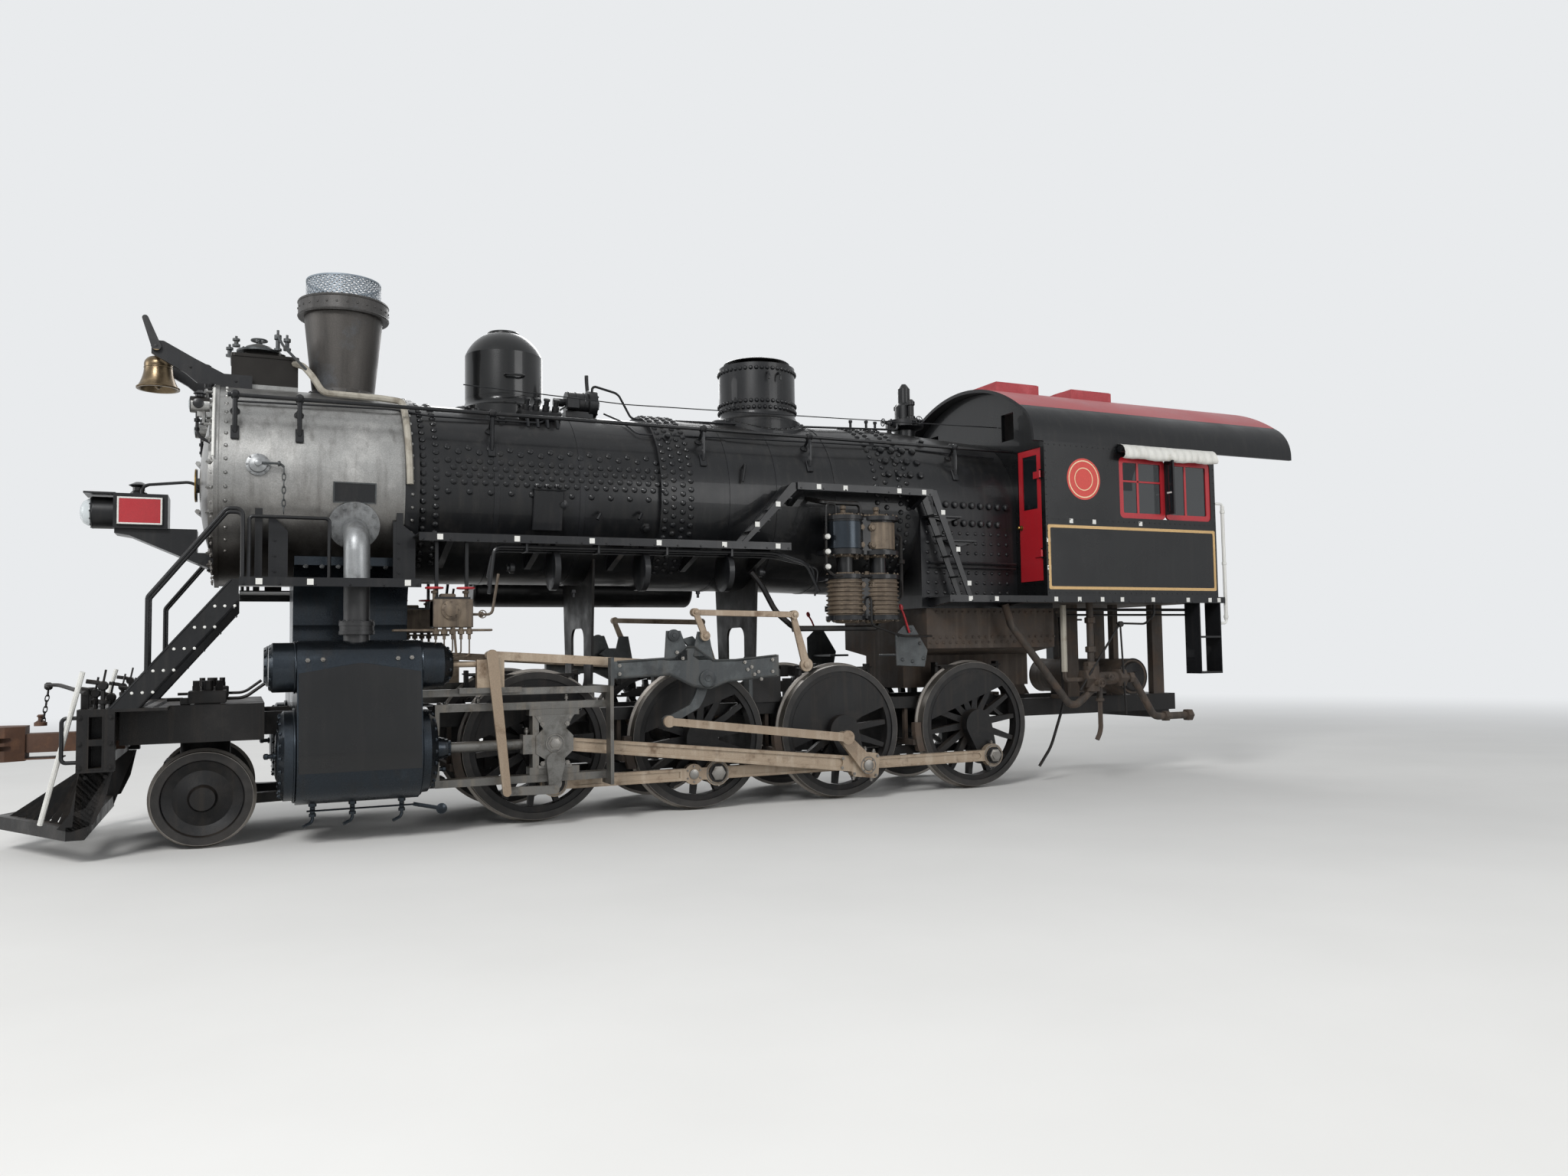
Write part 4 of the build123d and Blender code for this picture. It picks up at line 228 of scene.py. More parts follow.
def plate(outline, thickness, plane="xz", depth=0.0, bevel=0.0, holes=()):
    """Flat plate cut to an outline. plane names the outline's two axes; depth is where it starts on the third."""
    piece = drawn((outline, *holes), True)
    piece.data.fill_mode = "BOTH"
    piece.data.extrude = abs(thickness) / 2 - bevel
    piece.data.bevel_depth = bevel
    piece.data.bevel_resolution = 0
    bpy.ops.object.convert(target="MESH")
    piece = bpy.context.object
    middle = depth + thickness / 2
    frames = {
        "xz": ((1, 0, 0, 0), (0, 0, 1, middle), (0, 1, 0, 0), (0, 0, 0, 1)),
        "yz": ((0, 0, 1, middle), (1, 0, 0, 0), (0, 1, 0, 0), (0, 0, 0, 1)),
        "xy": ((1, 0, 0, 0), (0, 1, 0, 0), (0, 0, 1, middle), (0, 0, 0, 1)),
    }
    piece.matrix_world = Matrix(frames[plane])
    edit(settle(piece))
    bpy.ops.mesh.remove_doubles(threshold=0.00005)
    outwards()
    return piece


def pipe(points, radius, bend=0.0, sides=8):
    """Round pipe or bar through points, its corners bent to a radius."""
    piece = drawn([points], False)
    if bend and len(points) > 2:
        bpy.ops.object.convert(target="MESH")
        edit(bpy.context.object)
        bpy.ops.mesh.bevel(offset=bend, offset_type="OFFSET", segments=5, affect="VERTICES")
        bpy.ops.object.mode_set(mode="OBJECT")
        bpy.ops.object.convert(target="CURVE")
        piece = bpy.context.object
        piece.data.dimensions = "3D"
    piece.data.bevel_depth = radius
    piece.data.bevel_resolution = max(0, sides // 4 - 1)
    piece.data.use_fill_caps = True
    bpy.ops.object.convert(target="MESH")
    return bpy.context.object


def sheet(rows, thickness=0.0):
    """Bent sheet through rows of points, given a thickness or left as a single surface."""
    only()
    count, width = len(rows), len(rows[0])
    bpy.ops.mesh.primitive_grid_add(x_subdivisions=count - 1, y_subdivisions=width - 1, size=1)
    piece = bpy.context.object
    if len(piece.data.vertices) != count * width:
        raise RuntimeError("the grid has another number of points than its rows")
    for index, vertex in enumerate(piece.data.vertices):
        vertex.co = rows[index % count][index // count]
    if thickness:
        solid = piece.modifiers.new("thickness", "SOLIDIFY")
        solid.thickness, solid.offset = thickness, 0
        bpy.ops.object.modifier_apply(modifier="thickness")
    bpy.ops.object.mode_set(mode="EDIT")
    outwards()
    return piece


def copies(master, spots):
    """The master once at each (point, outward direction), each with its own mesh."""
    made = [twin(master, Matrix.Translation(Vector(point)) @ along(outward)) for point, outward in spots]
    bpy.data.objects.remove(master)
    return made


def circle(x, y, radius, sides=32):
    """Outline of a round."""
    angles = [math.tau * step / sides for step in range(sides)]
    return [(x + radius * math.cos(angle), y + radius * math.sin(angle)) for angle in angles]


def framed(x0, z0, x1, z1, width):
    """Outline and hole of a plain rectangular frame."""
    outer = [(x0, z0), (x1, z0), (x1, z1), (x0, z1)]
    inner = [(x0 + width, z0 + width), (x1 - width, z0 + width), (x1 - width, z1 - width), (x0 + width, z1 - width)]
    return outer, inner


def joined(pieces):
    """The pieces as one."""
    only(*pieces)
    if len(pieces) > 1:
        bpy.ops.object.join()
    return settle(bpy.context.object)


def both(pieces):
    """Mirror image on the left of pieces modelled on the right, and the pieces."""
    right = joined(pieces)
    left = twin(right, Matrix())
    left.scale.y = -1
    edit(settle(left))
    bpy.ops.mesh.flip_normals()
    bpy.ops.object.mode_set(mode="OBJECT")
    return [left, right]


def finish(pieces, name, material, body=ENGINE, smooth=35):
    """Joins pieces into one, gives it a finish and lets it ride on a body."""
    piece = joined(pieces)
    piece.location.x = FIRST_AXLE
    settle(piece)
    piece.name = piece.data.name = name
    piece.data.materials.clear()
    piece.data.materials.append(MAT[material])
    bpy.ops.object.shade_smooth_by_angle(angle=math.radians(smooth))
    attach(piece, body)
    return piece


def finish_pair(pieces, name, material, body=ENGINE, smooth=35):
    """Finishes both sides of right-hand pieces apart. %s stands for the side in names."""
    return [finish([piece], name % side, material, body.replace("%s", side), smooth)
            for piece, side in zip(both(pieces), SIDE_NAMES.values())]


# ---------------------------------------------------------------- small hardware
def rivet(radius, height):
    """Round rivet head."""
    return turned([(radius, 0), (radius * 0.9, height * 0.5), (radius * 0.45, height)], sides=8)


def nut(radius, height):
    """Hexagon nut with the bolt's end in it."""
    shape = [(radius, 0), (radius, height * 0.8), (radius * 0.55, height * 0.8), (radius * 0.5, height * 1.3)]
    return turned(shape, sides=6)


def ring(centre, axis, radius, count, start=0.0):
    """Spots evenly round a circle, each with the circle's axis."""
    turn = along(axis).to_3x3()
    spots = []
    for step in range(count):
        angle = math.tau * step / count + math.radians(start)
        offset = turn @ Vector((radius * math.cos(angle), radius * math.sin(angle), 0))
        spots.append((Vector(centre) + offset, Vector(axis)))
    return spots


def union(point, axis, radius):
    """Union nut on a pipe."""
    shape = [(1.3, -1), (1.7, -0.8), (1.7, 0.8), (1.3, 1)]
    return turned([(radius * wide, radius * high) for wide, high in shape], point, axis, 6)


def handwheel(point, axis, radius):
    """Spoked handwheel on its stem."""
    axis, point = Vector(axis).normalized(), Vector(point)
    turn = along(axis).to_3x3()
    arms = [turn @ Vector((math.cos(angle), math.sin(angle), 0)) * radius for angle in (0, math.pi / 2, math.pi,
        1.5 * math.pi)]
    return [hoop(radius, radius * 0.13, point, axis, 20, 6),
            turned([(radius * 0.28, -0.008), (radius * 0.28, 0.012)], point, axis, 10),
            *[pipe([point, point + arm], radius * 0.08, sides=6) for arm in arms]]


def globe_valve(point, axis, size):
    """Valve body with its bonnet, stem and handwheel."""
    point, axis = Vector(point), Vector(axis).normalized()
    shape = [(0.6, -1), (1, -0.5), (1, 0.5), (0.7, 1), (0.7, 1.5), (0.3, 1.7), (0.2, 2.8)]
    body = turned([(size * wide, size * high) for wide, high in shape], point, axis, 14)
    return [body, *handwheel(point + axis * size * 2.7, axis, size * 1.35)]


def oil_cup(point, size):
    """Oil cup with a screwed cap."""
    shape = [(0.6, 0), (0.6, 0.6), (1, 0.8), (1, 2), (0.7, 2.3), (0.7, 2.7), (0.3, 2.9)]
    return turned([(size * wide, size * high) for wide, high in shape], point, UP, 12)


def chain(start, end, size):
    """Chain of welded links between two points."""
    start, end = Vector(start), Vector(end)
    run = end - start
    count = max(2, round(run.length / (size * 3)))
    made = []
    for link in range(count):
        piece = hoop(size, size * 0.3, sides=12, around=6)
        piece.rotation_euler = (math.pi / 2, 0, 0)
        settle(piece)
        piece.scale = (0.75, 0.9, 1.7)
        settle(piece)
        middle = start + run * ((link + 0.5) / count)
        half_turn = Matrix.Rotation(math.radians(90 * (link % 2)), 4, "Z")
        piece.matrix_world = Matrix.Translation(middle) @ along(run) @ half_turn
        made.append(settle(piece))
    return made


def squares(spots, size):
    """Thin painted squares, each at (point, outward direction)."""
    half = size / 2
    return copies(plate([(-half, -half), (half, -half), (half, half), (-half, half)], 0.003, "xy", -0.001), spots)


# ---------------------------------------------------------------- finishes
def tint(code):
    """Linear colour from an sRGB hex value; a colour property passes as it is."""
    if not isinstance(code, str):
        return (*code, 1)
    values = [int(code[i:i + 2], 16) / 255 for i in (1, 3, 5)]
    return (*[v / 12.92 if v <= 0.04045 else ((v + 0.055) / 1.055) ** 2.4 for v in values], 1)


def add(tree, kind, inputs=None, **settings):
    """Adds a node with its settings, values and links."""
    node = tree.nodes.new(kind)
    for key, value in settings.items():
        setattr(node, key, value)
    for socket, value in (inputs or {}).items():
        if isinstance(value, bpy.types.NodeSocket):
            tree.links.new(value, node.inputs[socket])
        else:
            node.inputs[socket].default_value = value
    return node


def paint_at(tree, shader, colour, where):
    """Lays a colour over the material's own where a value is 1."""
    own = shader.inputs["Base Color"].links[0].from_socket
    tree.links.new(mixed(tree, where, own, colour), shader.inputs["Base Color"])


def ranged(tree, value, low, high, to_low=0.0, to_high=1.0):
    """A value spread from one range to another."""
    spread = {"Value": value, "From Min": low, "From Max": high, "To Min": to_low, "To Max": to_high}
    return add(tree, "ShaderNodeMapRange", spread).outputs[0]


def mixed(tree, share, first, second, how="MIX"):
    """Two colours mixed by a share."""
    return add(tree, "ShaderNodeMix", {0: share, 6: first, 7: second}, data_type="RGBA", blend_type=how).outputs[2]


def noise(tree, place, scale, detail, rough=0.5):
    """Value of a noise texture."""
    return add(tree, "ShaderNodeTexNoise", {"Vector": place, "Scale": scale, "Detail": detail,
        "Roughness": rough}).outputs[0]


def maths(tree, operation, first, second=0.0):
    """One step of arithmetic."""
    return add(tree, "ShaderNodeMath", {0: first, 1: second}, operation=operation).outputs[0]


def distance(tree, first, second):
    """Length of the hypotenuse over two values."""
    return maths(tree, "SQRT", maths(tree, "ADD", maths(tree, "POWER", first, 2.0),
        maths(tree, "POWER", second, 2.0)))


def opened(material):
    """A material's tree and shader, and the point being shaded with its X, Y and Z."""
    tree = material.node_tree
    place = add(tree, "ShaderNodeTexCoord").outputs["Object"]
    return tree, tree.nodes["Principled BSDF"], place, add(tree, "ShaderNodeSeparateXYZ", {0: place}).outputs


def made(name):
    """New material with its tree, shader and the point being shaded."""
    material = bpy.data.materials.new(name)
    material.use_nodes = True
    return (material, *opened(material)[:3])


def weathered(name, paint, wear, dirt_and_highlight, rough=(0.4, 0.6), metallic=0.0, patch=0.5, grain=0.006,
              wear_from=0.55, streaks=0.4, upward_share=0.4, relief=0.5, coat=0.0):
    """A coating with worn patches and edges, streaks that run down it and dust on what faces up. On the tan iron the
    streaks and what faces up take a painted highlight instead of dust.
    """
    material, tree, shader, place = made(name)
    blotch = noise(tree, place, 1 / patch, 6, 0.62)
    fine = noise(tree, place, 1 / grain, 3, 0.6)
    stretch = add(tree, "ShaderNodeMapping", {"Vector": place, "Scale": (14, 14, 0.9)})
    runs = noise(tree, stretch.outputs[0], 1, 4, 0.55)
    geometry = add(tree, "ShaderNodeNewGeometry").outputs
    facing = add(tree, "ShaderNodeSeparateXYZ", {0: geometry["Normal"]}).outputs[2]
    upward = ranged(tree, facing, 0.35, 1.0, 0, upward_share)
    colour = tint(paint)
    for share, over in (
        (ranged(tree, blotch, wear_from, wear_from + 0.16), wear),
        (ranged(tree, geometry["Pointiness"], 0.52, 0.6, 0, 0.35), wear),
        # Streaks and upward faces take the dirt colour: dust, and on the tan iron a painted highlight
        (ranged(tree, runs, 0.5, 0.75, 0, streaks), dirt_and_highlight),
        (maths(tree, "MULTIPLY", upward, blotch), dirt_and_highlight),
    ):
        colour = mixed(tree, share, colour, tint(over))
    fleck = ranged(tree, fine, 0.3, 0.7, 0.82, 1.16)
    tree.links.new(mixed(tree, 1.0, colour, fleck, "MULTIPLY"), shader.inputs["Base Color"])
    tree.links.new(ranged(tree, blotch, 0.3, 0.7, *rough), shader.inputs["Roughness"])
    shader.inputs["Metallic"].default_value = metallic
    shader.inputs["Coat Weight"].default_value = coat
    bump = add(tree, "ShaderNodeBump", {"Height": fine, "Strength": relief, "Distance": 0.002})
    tree.links.new(bump.outputs[0], shader.inputs["Normal"])
    return material


def glassy(name, colour, rough, alpha):
    """Glass pane or lens: partly see-through, with a sharp gloss. The window panes are tinted dark, as painted shade.
    """
    material, tree, shader, place = made(name)
    smear = noise(tree, place, 3, 4)
    tree.links.new(ranged(tree, smear, 0.45, 0.8, rough, rough + 0.12), shader.inputs["Roughness"])
    for socket, value in (("Base Color", tint(colour)), ("Alpha", alpha), ("IOR", 1.5)):
        shader.inputs[socket].default_value = value
    return material


def roof_finish(black, red, faded):
    """Black enamel on the roof's sides and underside, chalked red above the shoulder."""
    material = weathered("roof_two_tone_paint", black, "#1d1e20", "#3a3733", (0.3, 0.5), 0.0, 0.8, 0.01, 0.6,
        0.2, 0.2, 0.2)
    tree, shader, place, axes = opened(material)
    normal = add(tree, "ShaderNodeNewGeometry").outputs["Normal"]
    facing = add(tree, "ShaderNodeSeparateXYZ", {0: normal}).outputs[2]
    top = maths(tree, "MULTIPLY", maths(tree, "GREATER_THAN", axes[2], 4.485),
        maths(tree, "GREATER_THAN", facing, 0.3))
    paint_at(tree, shader, mixed(tree, noise(tree, place, 2.5, 6), tint(red), tint(faded)), top)
    return material


def wheel_finish(station, axle_z, tread, black):
    """Oily black paint on a wheel, its tyre's face rubbed grey and its tread bright."""
    material = weathered("wheel_paint_at_%d" % round(station * 1000 + 5000), black, "#232120", "#40372e", (0.3, 0.6),
        0.1, 0.3, 0.01, 0.52, 0.25, 0.5, 0.5)
    tree, shader, place, axes = opened(material)
    across = maths(tree, "SUBTRACT", axes[0], FIRST_AXLE + station)
    up = maths(tree, "SUBTRACT", axes[2], axle_z)
    reach = distance(tree, across, up)
    tyre = maths(tree, "MULTIPLY", maths(tree, "GREATER_THAN", reach, tread - 0.07), noise(tree, place, 9, 5))
    paint_at(tree, shader, tint("#3f3d3b"), tyre)
    tread_ring = maths(tree, "GREATER_THAN", reach, tread - 0.006)
    paint_at(tree, shader, tint("#8b8680"), tread_ring)
    tree.links.new(maths(tree, "MULTIPLY", tread_ring, 0.9), shader.inputs["Metallic"])
    return material


def screen_finish(dark):
    """Dull graphite on the stack, with the woven wire screen above its cap."""
    material = weathered("dull_graphite", dark, "#4b4d50", "#242322", (0.4, 0.6), 0.5, 0.4, 0.01, 0.52, 0.5, 0.2, 0.4)
    tree, shader, _, axes = opened(material)
    turn = maths(tree, "ARCTAN2", axes[1], maths(tree, "SUBTRACT", axes[0], FIRST_AXLE - 1.735))
    rise = maths(tree, "MULTIPLY", axes[2], 21.0)
    sweep = maths(tree, "MULTIPLY", turn, 7.639)
    wires = []
    for lean in ("ADD", "SUBTRACT"):
        wave = maths(tree, "FRACT", maths(tree, lean, rise, sweep))
        wires.append(maths(tree, "LESS_THAN", maths(tree, "ABSOLUTE", maths(tree, "SUBTRACT", wave, 0.5)), 0.11))
    wire = maths(tree, "MAXIMUM", wires[0], wires[1])
    rim = maths(tree, "GREATER_THAN", axes[2], 5.36)
    below = maths(tree, "LESS_THAN", axes[2], 5.172)
    solid = maths(tree, "MAXIMUM", maths(tree, "MAXIMUM", rim, below), wire)
    paint_at(tree, shader, tint("#7b848c"), maths(tree, "SUBTRACT", 1.0, below))
    tree.links.new(solid, shader.inputs["Alpha"])
    return material


def rail_finish(black):
    """Black enamel on the rails, white on the rear grab rails of the cab."""
    material = weathered("rail_enamel", black, "#1c1d20", "#3d3a36", (0.28, 0.5), 0.0, 0.7, 0.012, 0.56, 0.22,
        0.35, 0.25, 0.15)
    tree, shader, _, axes = opened(material)
    paint_at(tree, shader, tint("#dcdcd8"), maths(tree, "GREATER_THAN", axes[0], FIRST_AXLE + 8.39))
    return material


def smokebox_finish(silver):
    """Graphite: silver on the drum, darker brown towards its belly as painted shade mixed with burnt brown, and dull
    on the box above it.
    """
    material = weathered("brushed_graphite", silver, "#a9a8a5", "#3f3a35", (0.25, 0.42), 0.8, 0.5, 0.01, 0.5,
        0.4, 0.15, 0.3)
    tree, shader, place, axes = opened(material)
    rise = maths(tree, "SUBTRACT", axes[2], BOILER_Z)
    reach = distance(tree, axes[1], rise)
    # Painted shade: the drum goes darker brown towards its belly, mixed with burnt brown
    shade_and_burn_noise = noise(tree, place, 1.6, 7, 0.7)
    belly = add(tree, "ShaderNodeMapRange", {0: maths(tree, "ADD", rise, maths(tree, "MULTIPLY", shade_and_burn_noise, 0.7)),
        1: 0.45, 2: -0.35}, clamp=True)
    paint_at(tree, shader, tint("#3a342f"), maths(tree, "MULTIPLY", belly.outputs[0], 0.85))
    paint_at(tree, shader, tint("#2b2927"), maths(tree, "GREATER_THAN", reach, 0.985))
    return material


def bell_finish():
    """Bronze bell with its yoke and arm painted black."""
    material = weathered("tarnished_bronze", "#6a5c48", "#8d7c62", "#3c342a", (0.24, 0.4), 0.9, 0.12, 0.006, 0.54,
        0.3, 0.3, 0.2)
    tree, shader, _, axes = opened(material)
    above = maths(tree, "GREATER_THAN", axes[2], 4.47)
    paint_at(tree, shader, tint("#161617"), above)
    tree.links.new(maths(tree, "MULTIPLY", maths(tree, "SUBTRACT", 1.0, above), 0.9), shader.inputs["Metallic"])
    return material


def steam_pipe_finish():
    """Aluminium paint on the elbow above the board, black below it."""
    material = weathered("aluminium_paint", "#8d8f90", "#68696a", "#4a4744", (0.34, 0.5), 0.6, 0.2, 0.006, 0.52,
        0.45, 0.3, 0.3)
    tree, shader, _, axes = opened(material)
    below = maths(tree, "LESS_THAN", axes[2], 2.28)
    paint_at(tree, shader, tint("#141415"), below)
    tree.links.new(maths(tree, "MULTIPLY", maths(tree, "SUBTRACT", 1.0, below), 0.6), shader.inputs["Metallic"])
    return material


MAT = {}
# Finish, its material, coat, wear and dirt; then roughness, metal, patch, grain, start of wear, streaks,
# settled dust, relief and clear coat. On the tan iron the dirt, in streaks and settled on top, is a painted
# highlight. A coat that a user may change is named by its property.
COATS = {
    # Satin black enamel on steel jacketing: soft gloss, grey dust and faint runs
    "enamel": ("satin_black_enamel", "enamel", "#1c1d20", "#3d3a36", (0.28, 0.5), 0.0, 0.7, 0.012, 0.56, 0.22, 0.35,
        0.25, 0.15),
    # Black enamel kept cleaner on the cab: deeper gloss
    "cab_black": ("gloss_black_enamel", "cab", "#141517", "#2f2c29", (0.2, 0.36), 0.0, 0.8, 0.014, 0.6, 0.14,
        0.3, 0.12, 0.3),
    # Planished sheet on the cylinders and their covers: dark, with a metal shine
    "planished": ("planished_sheet_iron", "#272d33", "#3a4148", "#37332f", (0.2, 0.36), 0.8, 0.6, 0.012, 0.55, 0.3,
        0.35, 0.25, 0.1),
    # Oily black on frames, with brown road dust
    "oily": ("oily_black_paint", "#0e0e0f", "#232120", "#40372e", (0.32, 0.62), 0.1, 0.3, 0.01, 0.52, 0.25, 0.6, 0.5),
    # Side and main rods: machined steel gone tan, where oil has dried and rust shows through
    "rod": ("machined_steel_oiled", "rods", "#6d5a48", "#cabfae", (0.36, 0.56), 0.35, 0.16, 0.006, 0.54,
        0.3, 0.4, 0.35),
    # Guides and crossheads: grey steel under a film of oil
    "motion": ("oiled_grey_steel", "#6a6966", "#4c4a46", "#8a7d6c", (0.3, 0.5), 0.6, 0.18, 0.006, 0.52, 0.35,
        0.45, 0.35),
    # Grey machined steel on nuts and pins
    "bright": ("machined_steel", "#8c8a86", "#5d564e", "#3a352f", (0.25, 0.42), 0.85, 0.12, 0.004, 0.56,
        0.3, 0.3, 0.25),
    # Castings of the valve gear: black paint worn to grey iron
    "casting": ("worn_black_casting", "#2b2e30", "#4c5051", "#625b51", (0.34, 0.55), 0.35, 0.2, 0.006, 0.5,
        0.3, 0.45, 0.6),
    # Brown dusty sheet of the ash pan, mud ring and brake rigging
    "rust": ("dusty_brown_plate", "#332d28", "#4a3d33", "#6e6257", (0.6, 0.85), 0.15, 0.25, 0.005, 0.48,
        0.35, 0.5, 0.8),
    # Cast steel coupler under brown primer and rust
    "coupler": ("rusty_cast_steel", "#4c3529", "#6a4c39", "#3a2f29", (0.55, 0.8), 0.2, 0.12, 0.004, 0.5,
        0.3, 0.4, 0.9),
    # Signal red enamel on doors, sashes and boards
    "red": ("red_enamel", "red", "#9c1f28", "#6a302b", (0.3, 0.45), 0.0, 0.3, 0.008, 0.58, 0.15, 0.25, 0.15, 0.2),
    # Red roof paint, chalked by the sun
    "roof_red": ("chalked_red_paint", "#9c3238", "#b4565a", "#6e3a38", (0.6, 0.8), 0.0, 0.4, 0.008, 0.5,
        0.2, 0.35, 0.4),
    # White paint on poles, squares and frames
    "white": ("white_enamel", "#dcdcd8", "#c6c4bd", "#8f8a80", (0.35, 0.55), 0.0, 0.2, 0.006, 0.6, 0.2, 0.2, 0.15),
    # Cream ring of the roundel
    "cream": ("cream_enamel", "#e6d2ae", "#d2b98d", "#8f8a80", (0.35, 0.5), 0.0, 0.2, 0.006, 0.62, 0.1, 0.2, 0.1),
    # Roundel's warm red
    "roundel": ("vermilion_enamel", "#c8433a", "#b5382f", "#7a3a33", (0.35, 0.5), 0.0, 0.3, 0.008, 0.62,
        0.1, 0.2, 0.1),
    # Gold lining paint
    "gold": ("gold_lining_paint", "gold", "#b08f5c", "#7d6742", (0.35, 0.5), 0.15, 0.2, 0.006, 0.6, 0.15, 0.2, 0.1),
    # Brass of gauges and cocks
    "brass": ("aged_brass", "#8f7440", "#6a5633", "#3f3626", (0.28, 0.45), 0.9, 0.08, 0.004, 0.55, 0.3, 0.3, 0.2),
    # Lagging cloth, painted off white and soiled
    "lagging": ("painted_lagging_cloth", "#a8a397", "#857e72", "#5b544a", (0.7, 0.9), 0.0, 0.15, 0.004, 0.5,
        0.5, 0.4, 0.9),
    # Raw cast iron of the pump and lubricator, tan with dried oil; its pale colour on what faces up and in streaks is
    # a painted highlight, laid like dust
    "tan": ("tan_iron_painted_highlight", "#5d5144", "#453c33", "#94846f", (0.45, 0.7), 0.25, 0.1, 0.005, 0.5, 0.45, 0.5, 0.7),
    # Galvanised wire and sheet
    "netting": ("galvanised_wire", "#7b848c", "#5d646a", "#3a3c3e", (0.35, 0.5), 0.7, 0.1, 0.004, 0.52,
        0.3, 0.3, 0.2),
    # Oak inside the cab
    "oak": ("varnished_oak", "#6b4a2c", "#553a23", "#3a2c1f", (0.4, 0.6), 0.0, 0.3, 0.004, 0.5, 0.5, 0.3, 0.3),
    # Seat leather
    "leather": ("cracked_black_leather", "#241d19", "#3a2f28", "#5a4f45", (0.4, 0.6), 0.0, 0.12, 0.004, 0.52,
        0.1, 0.3, 0.8),
    # White awning canvas: matt, softly stained along its folds
    "canvas": ("white_awning_canvas", "#dddcd6", "#c9c6bd", "#98938a", (0.8, 0.95), 0.0, 0.1, 0.0015, 0.56,
        0.2, 0.1, 1.0),
}


def make_finishes(colours):
    """One material for each real finish on the engine."""
    for key, (name, paint, *values) in COATS.items():
        MAT[key] = weathered(name, getattr(colours, paint, paint), *values)
    # Graphite and oil brushed on a hot smokebox: silver grey, burnt pale in clouds
    MAT["graphite"] = smokebox_finish(colours.graphite)
    # Graphite gone dull and dark on the stack, galvanised wire above it
    MAT["stack"] = screen_finish("#413e3b")
    # Bell bronze with a brown skin
    MAT["bronze"] = bell_finish()
    # Aluminium paint on the smokebox's steam pipe elbows
    MAT["silver"] = steam_pipe_finish()
    # Window glass tinted dark and made mostly opaque: painted shade of the cab's unlit inside, with a dusty film
    MAT["glass"] = glassy("window_glass_painted_shade", "#161b1e", 0.03, 0.78)
    # Pressed glass of the lamps
    MAT["lens"] = glassy("pressed_lens_glass", "#cfd6d8", 0.02, 0.6)
    # Roof of black enamel with chalked red paint above its shoulder
    MAT["roof"] = roof_finish("#101113", colours.roof, "#b25a5c")
    # Black enamelled rails, white at the cab's rear
    MAT["rails"] = rail_finish(colours.enamel)
    # Oily black wheels with bright treads
    for number, station in enumerate(DRIVER_STATIONS, 1):
        MAT["driver_%d" % number] = wheel_finish(station, AXLE_Z, 0.724, "#0e0e0f")
    MAT["lead"] = wheel_finish(-2.922, 0.4319, 0.4065, "#0e0e0f")
    # Paint that years of heat and dust have dulled reflects less than a fresh coat
    for key in ("enamel", "cab_black", "oily", "rails", "roof", "lead",
            *["driver_%d" % number for number in range(1, 5)]):
        MAT[key].node_tree.nodes["Principled BSDF"].inputs["Specular IOR Level"].default_value = 0.28


NODE_FINISH = {
    "graphite": ("smokebox", "smokebox_front"),
    "stack": ("smokestack",),
    "lead": ("lead_wheels",),
    "oily": ("lead_truck", "main_frame", "axle_boxes", "pilot", "pilot_beam", "reverse_gear", "front_deck"),
    "rod": ("side_rod_left", "side_rod_right", "main_rod_left", "main_rod_right", "eccentric_rods", "valve_levers"),
    "motion": ("crosshead_left", "crosshead_right", "guides"),
    "casting": ("gear_frame", "expansion_links"),
    "planished": ("cylinders", "cylinder_covers"),
    "rust": ("ash_pan", "brake_gear", "cab_floor", "injectors"),
    "coupler": ("coupler", "coupler_knuckle"),
    "bronze": ("bell",),
    "red": ("cab_door_left", "cab_door_right", "window_sashes"),
    "roof_red": ("roof_hatches",),
    "roof": ("cab_roof",),
    "cab_black": ("cab_sides", "cab_front_wall", "sand_dome"),
    "silver": ("steam_pipes",),
    "brass": ("backhead_fittings",),
    "leather": ("seats",),
    "rails": ("handrails",),
}


def dress_solids():
    """Gives every CAD solid its finish; black enamel is the rest."""
    chosen = {node: key for key, nodes in NODE_FINISH.items() for node in nodes}
    chosen.update({"driving_wheels_%d" % number: "driver_%d" % number for number in range(1, 5)})
    for name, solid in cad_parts.items():
        solid.data.materials.clear()
        solid.data.materials.append(MAT[chosen.get(name, "enamel")])


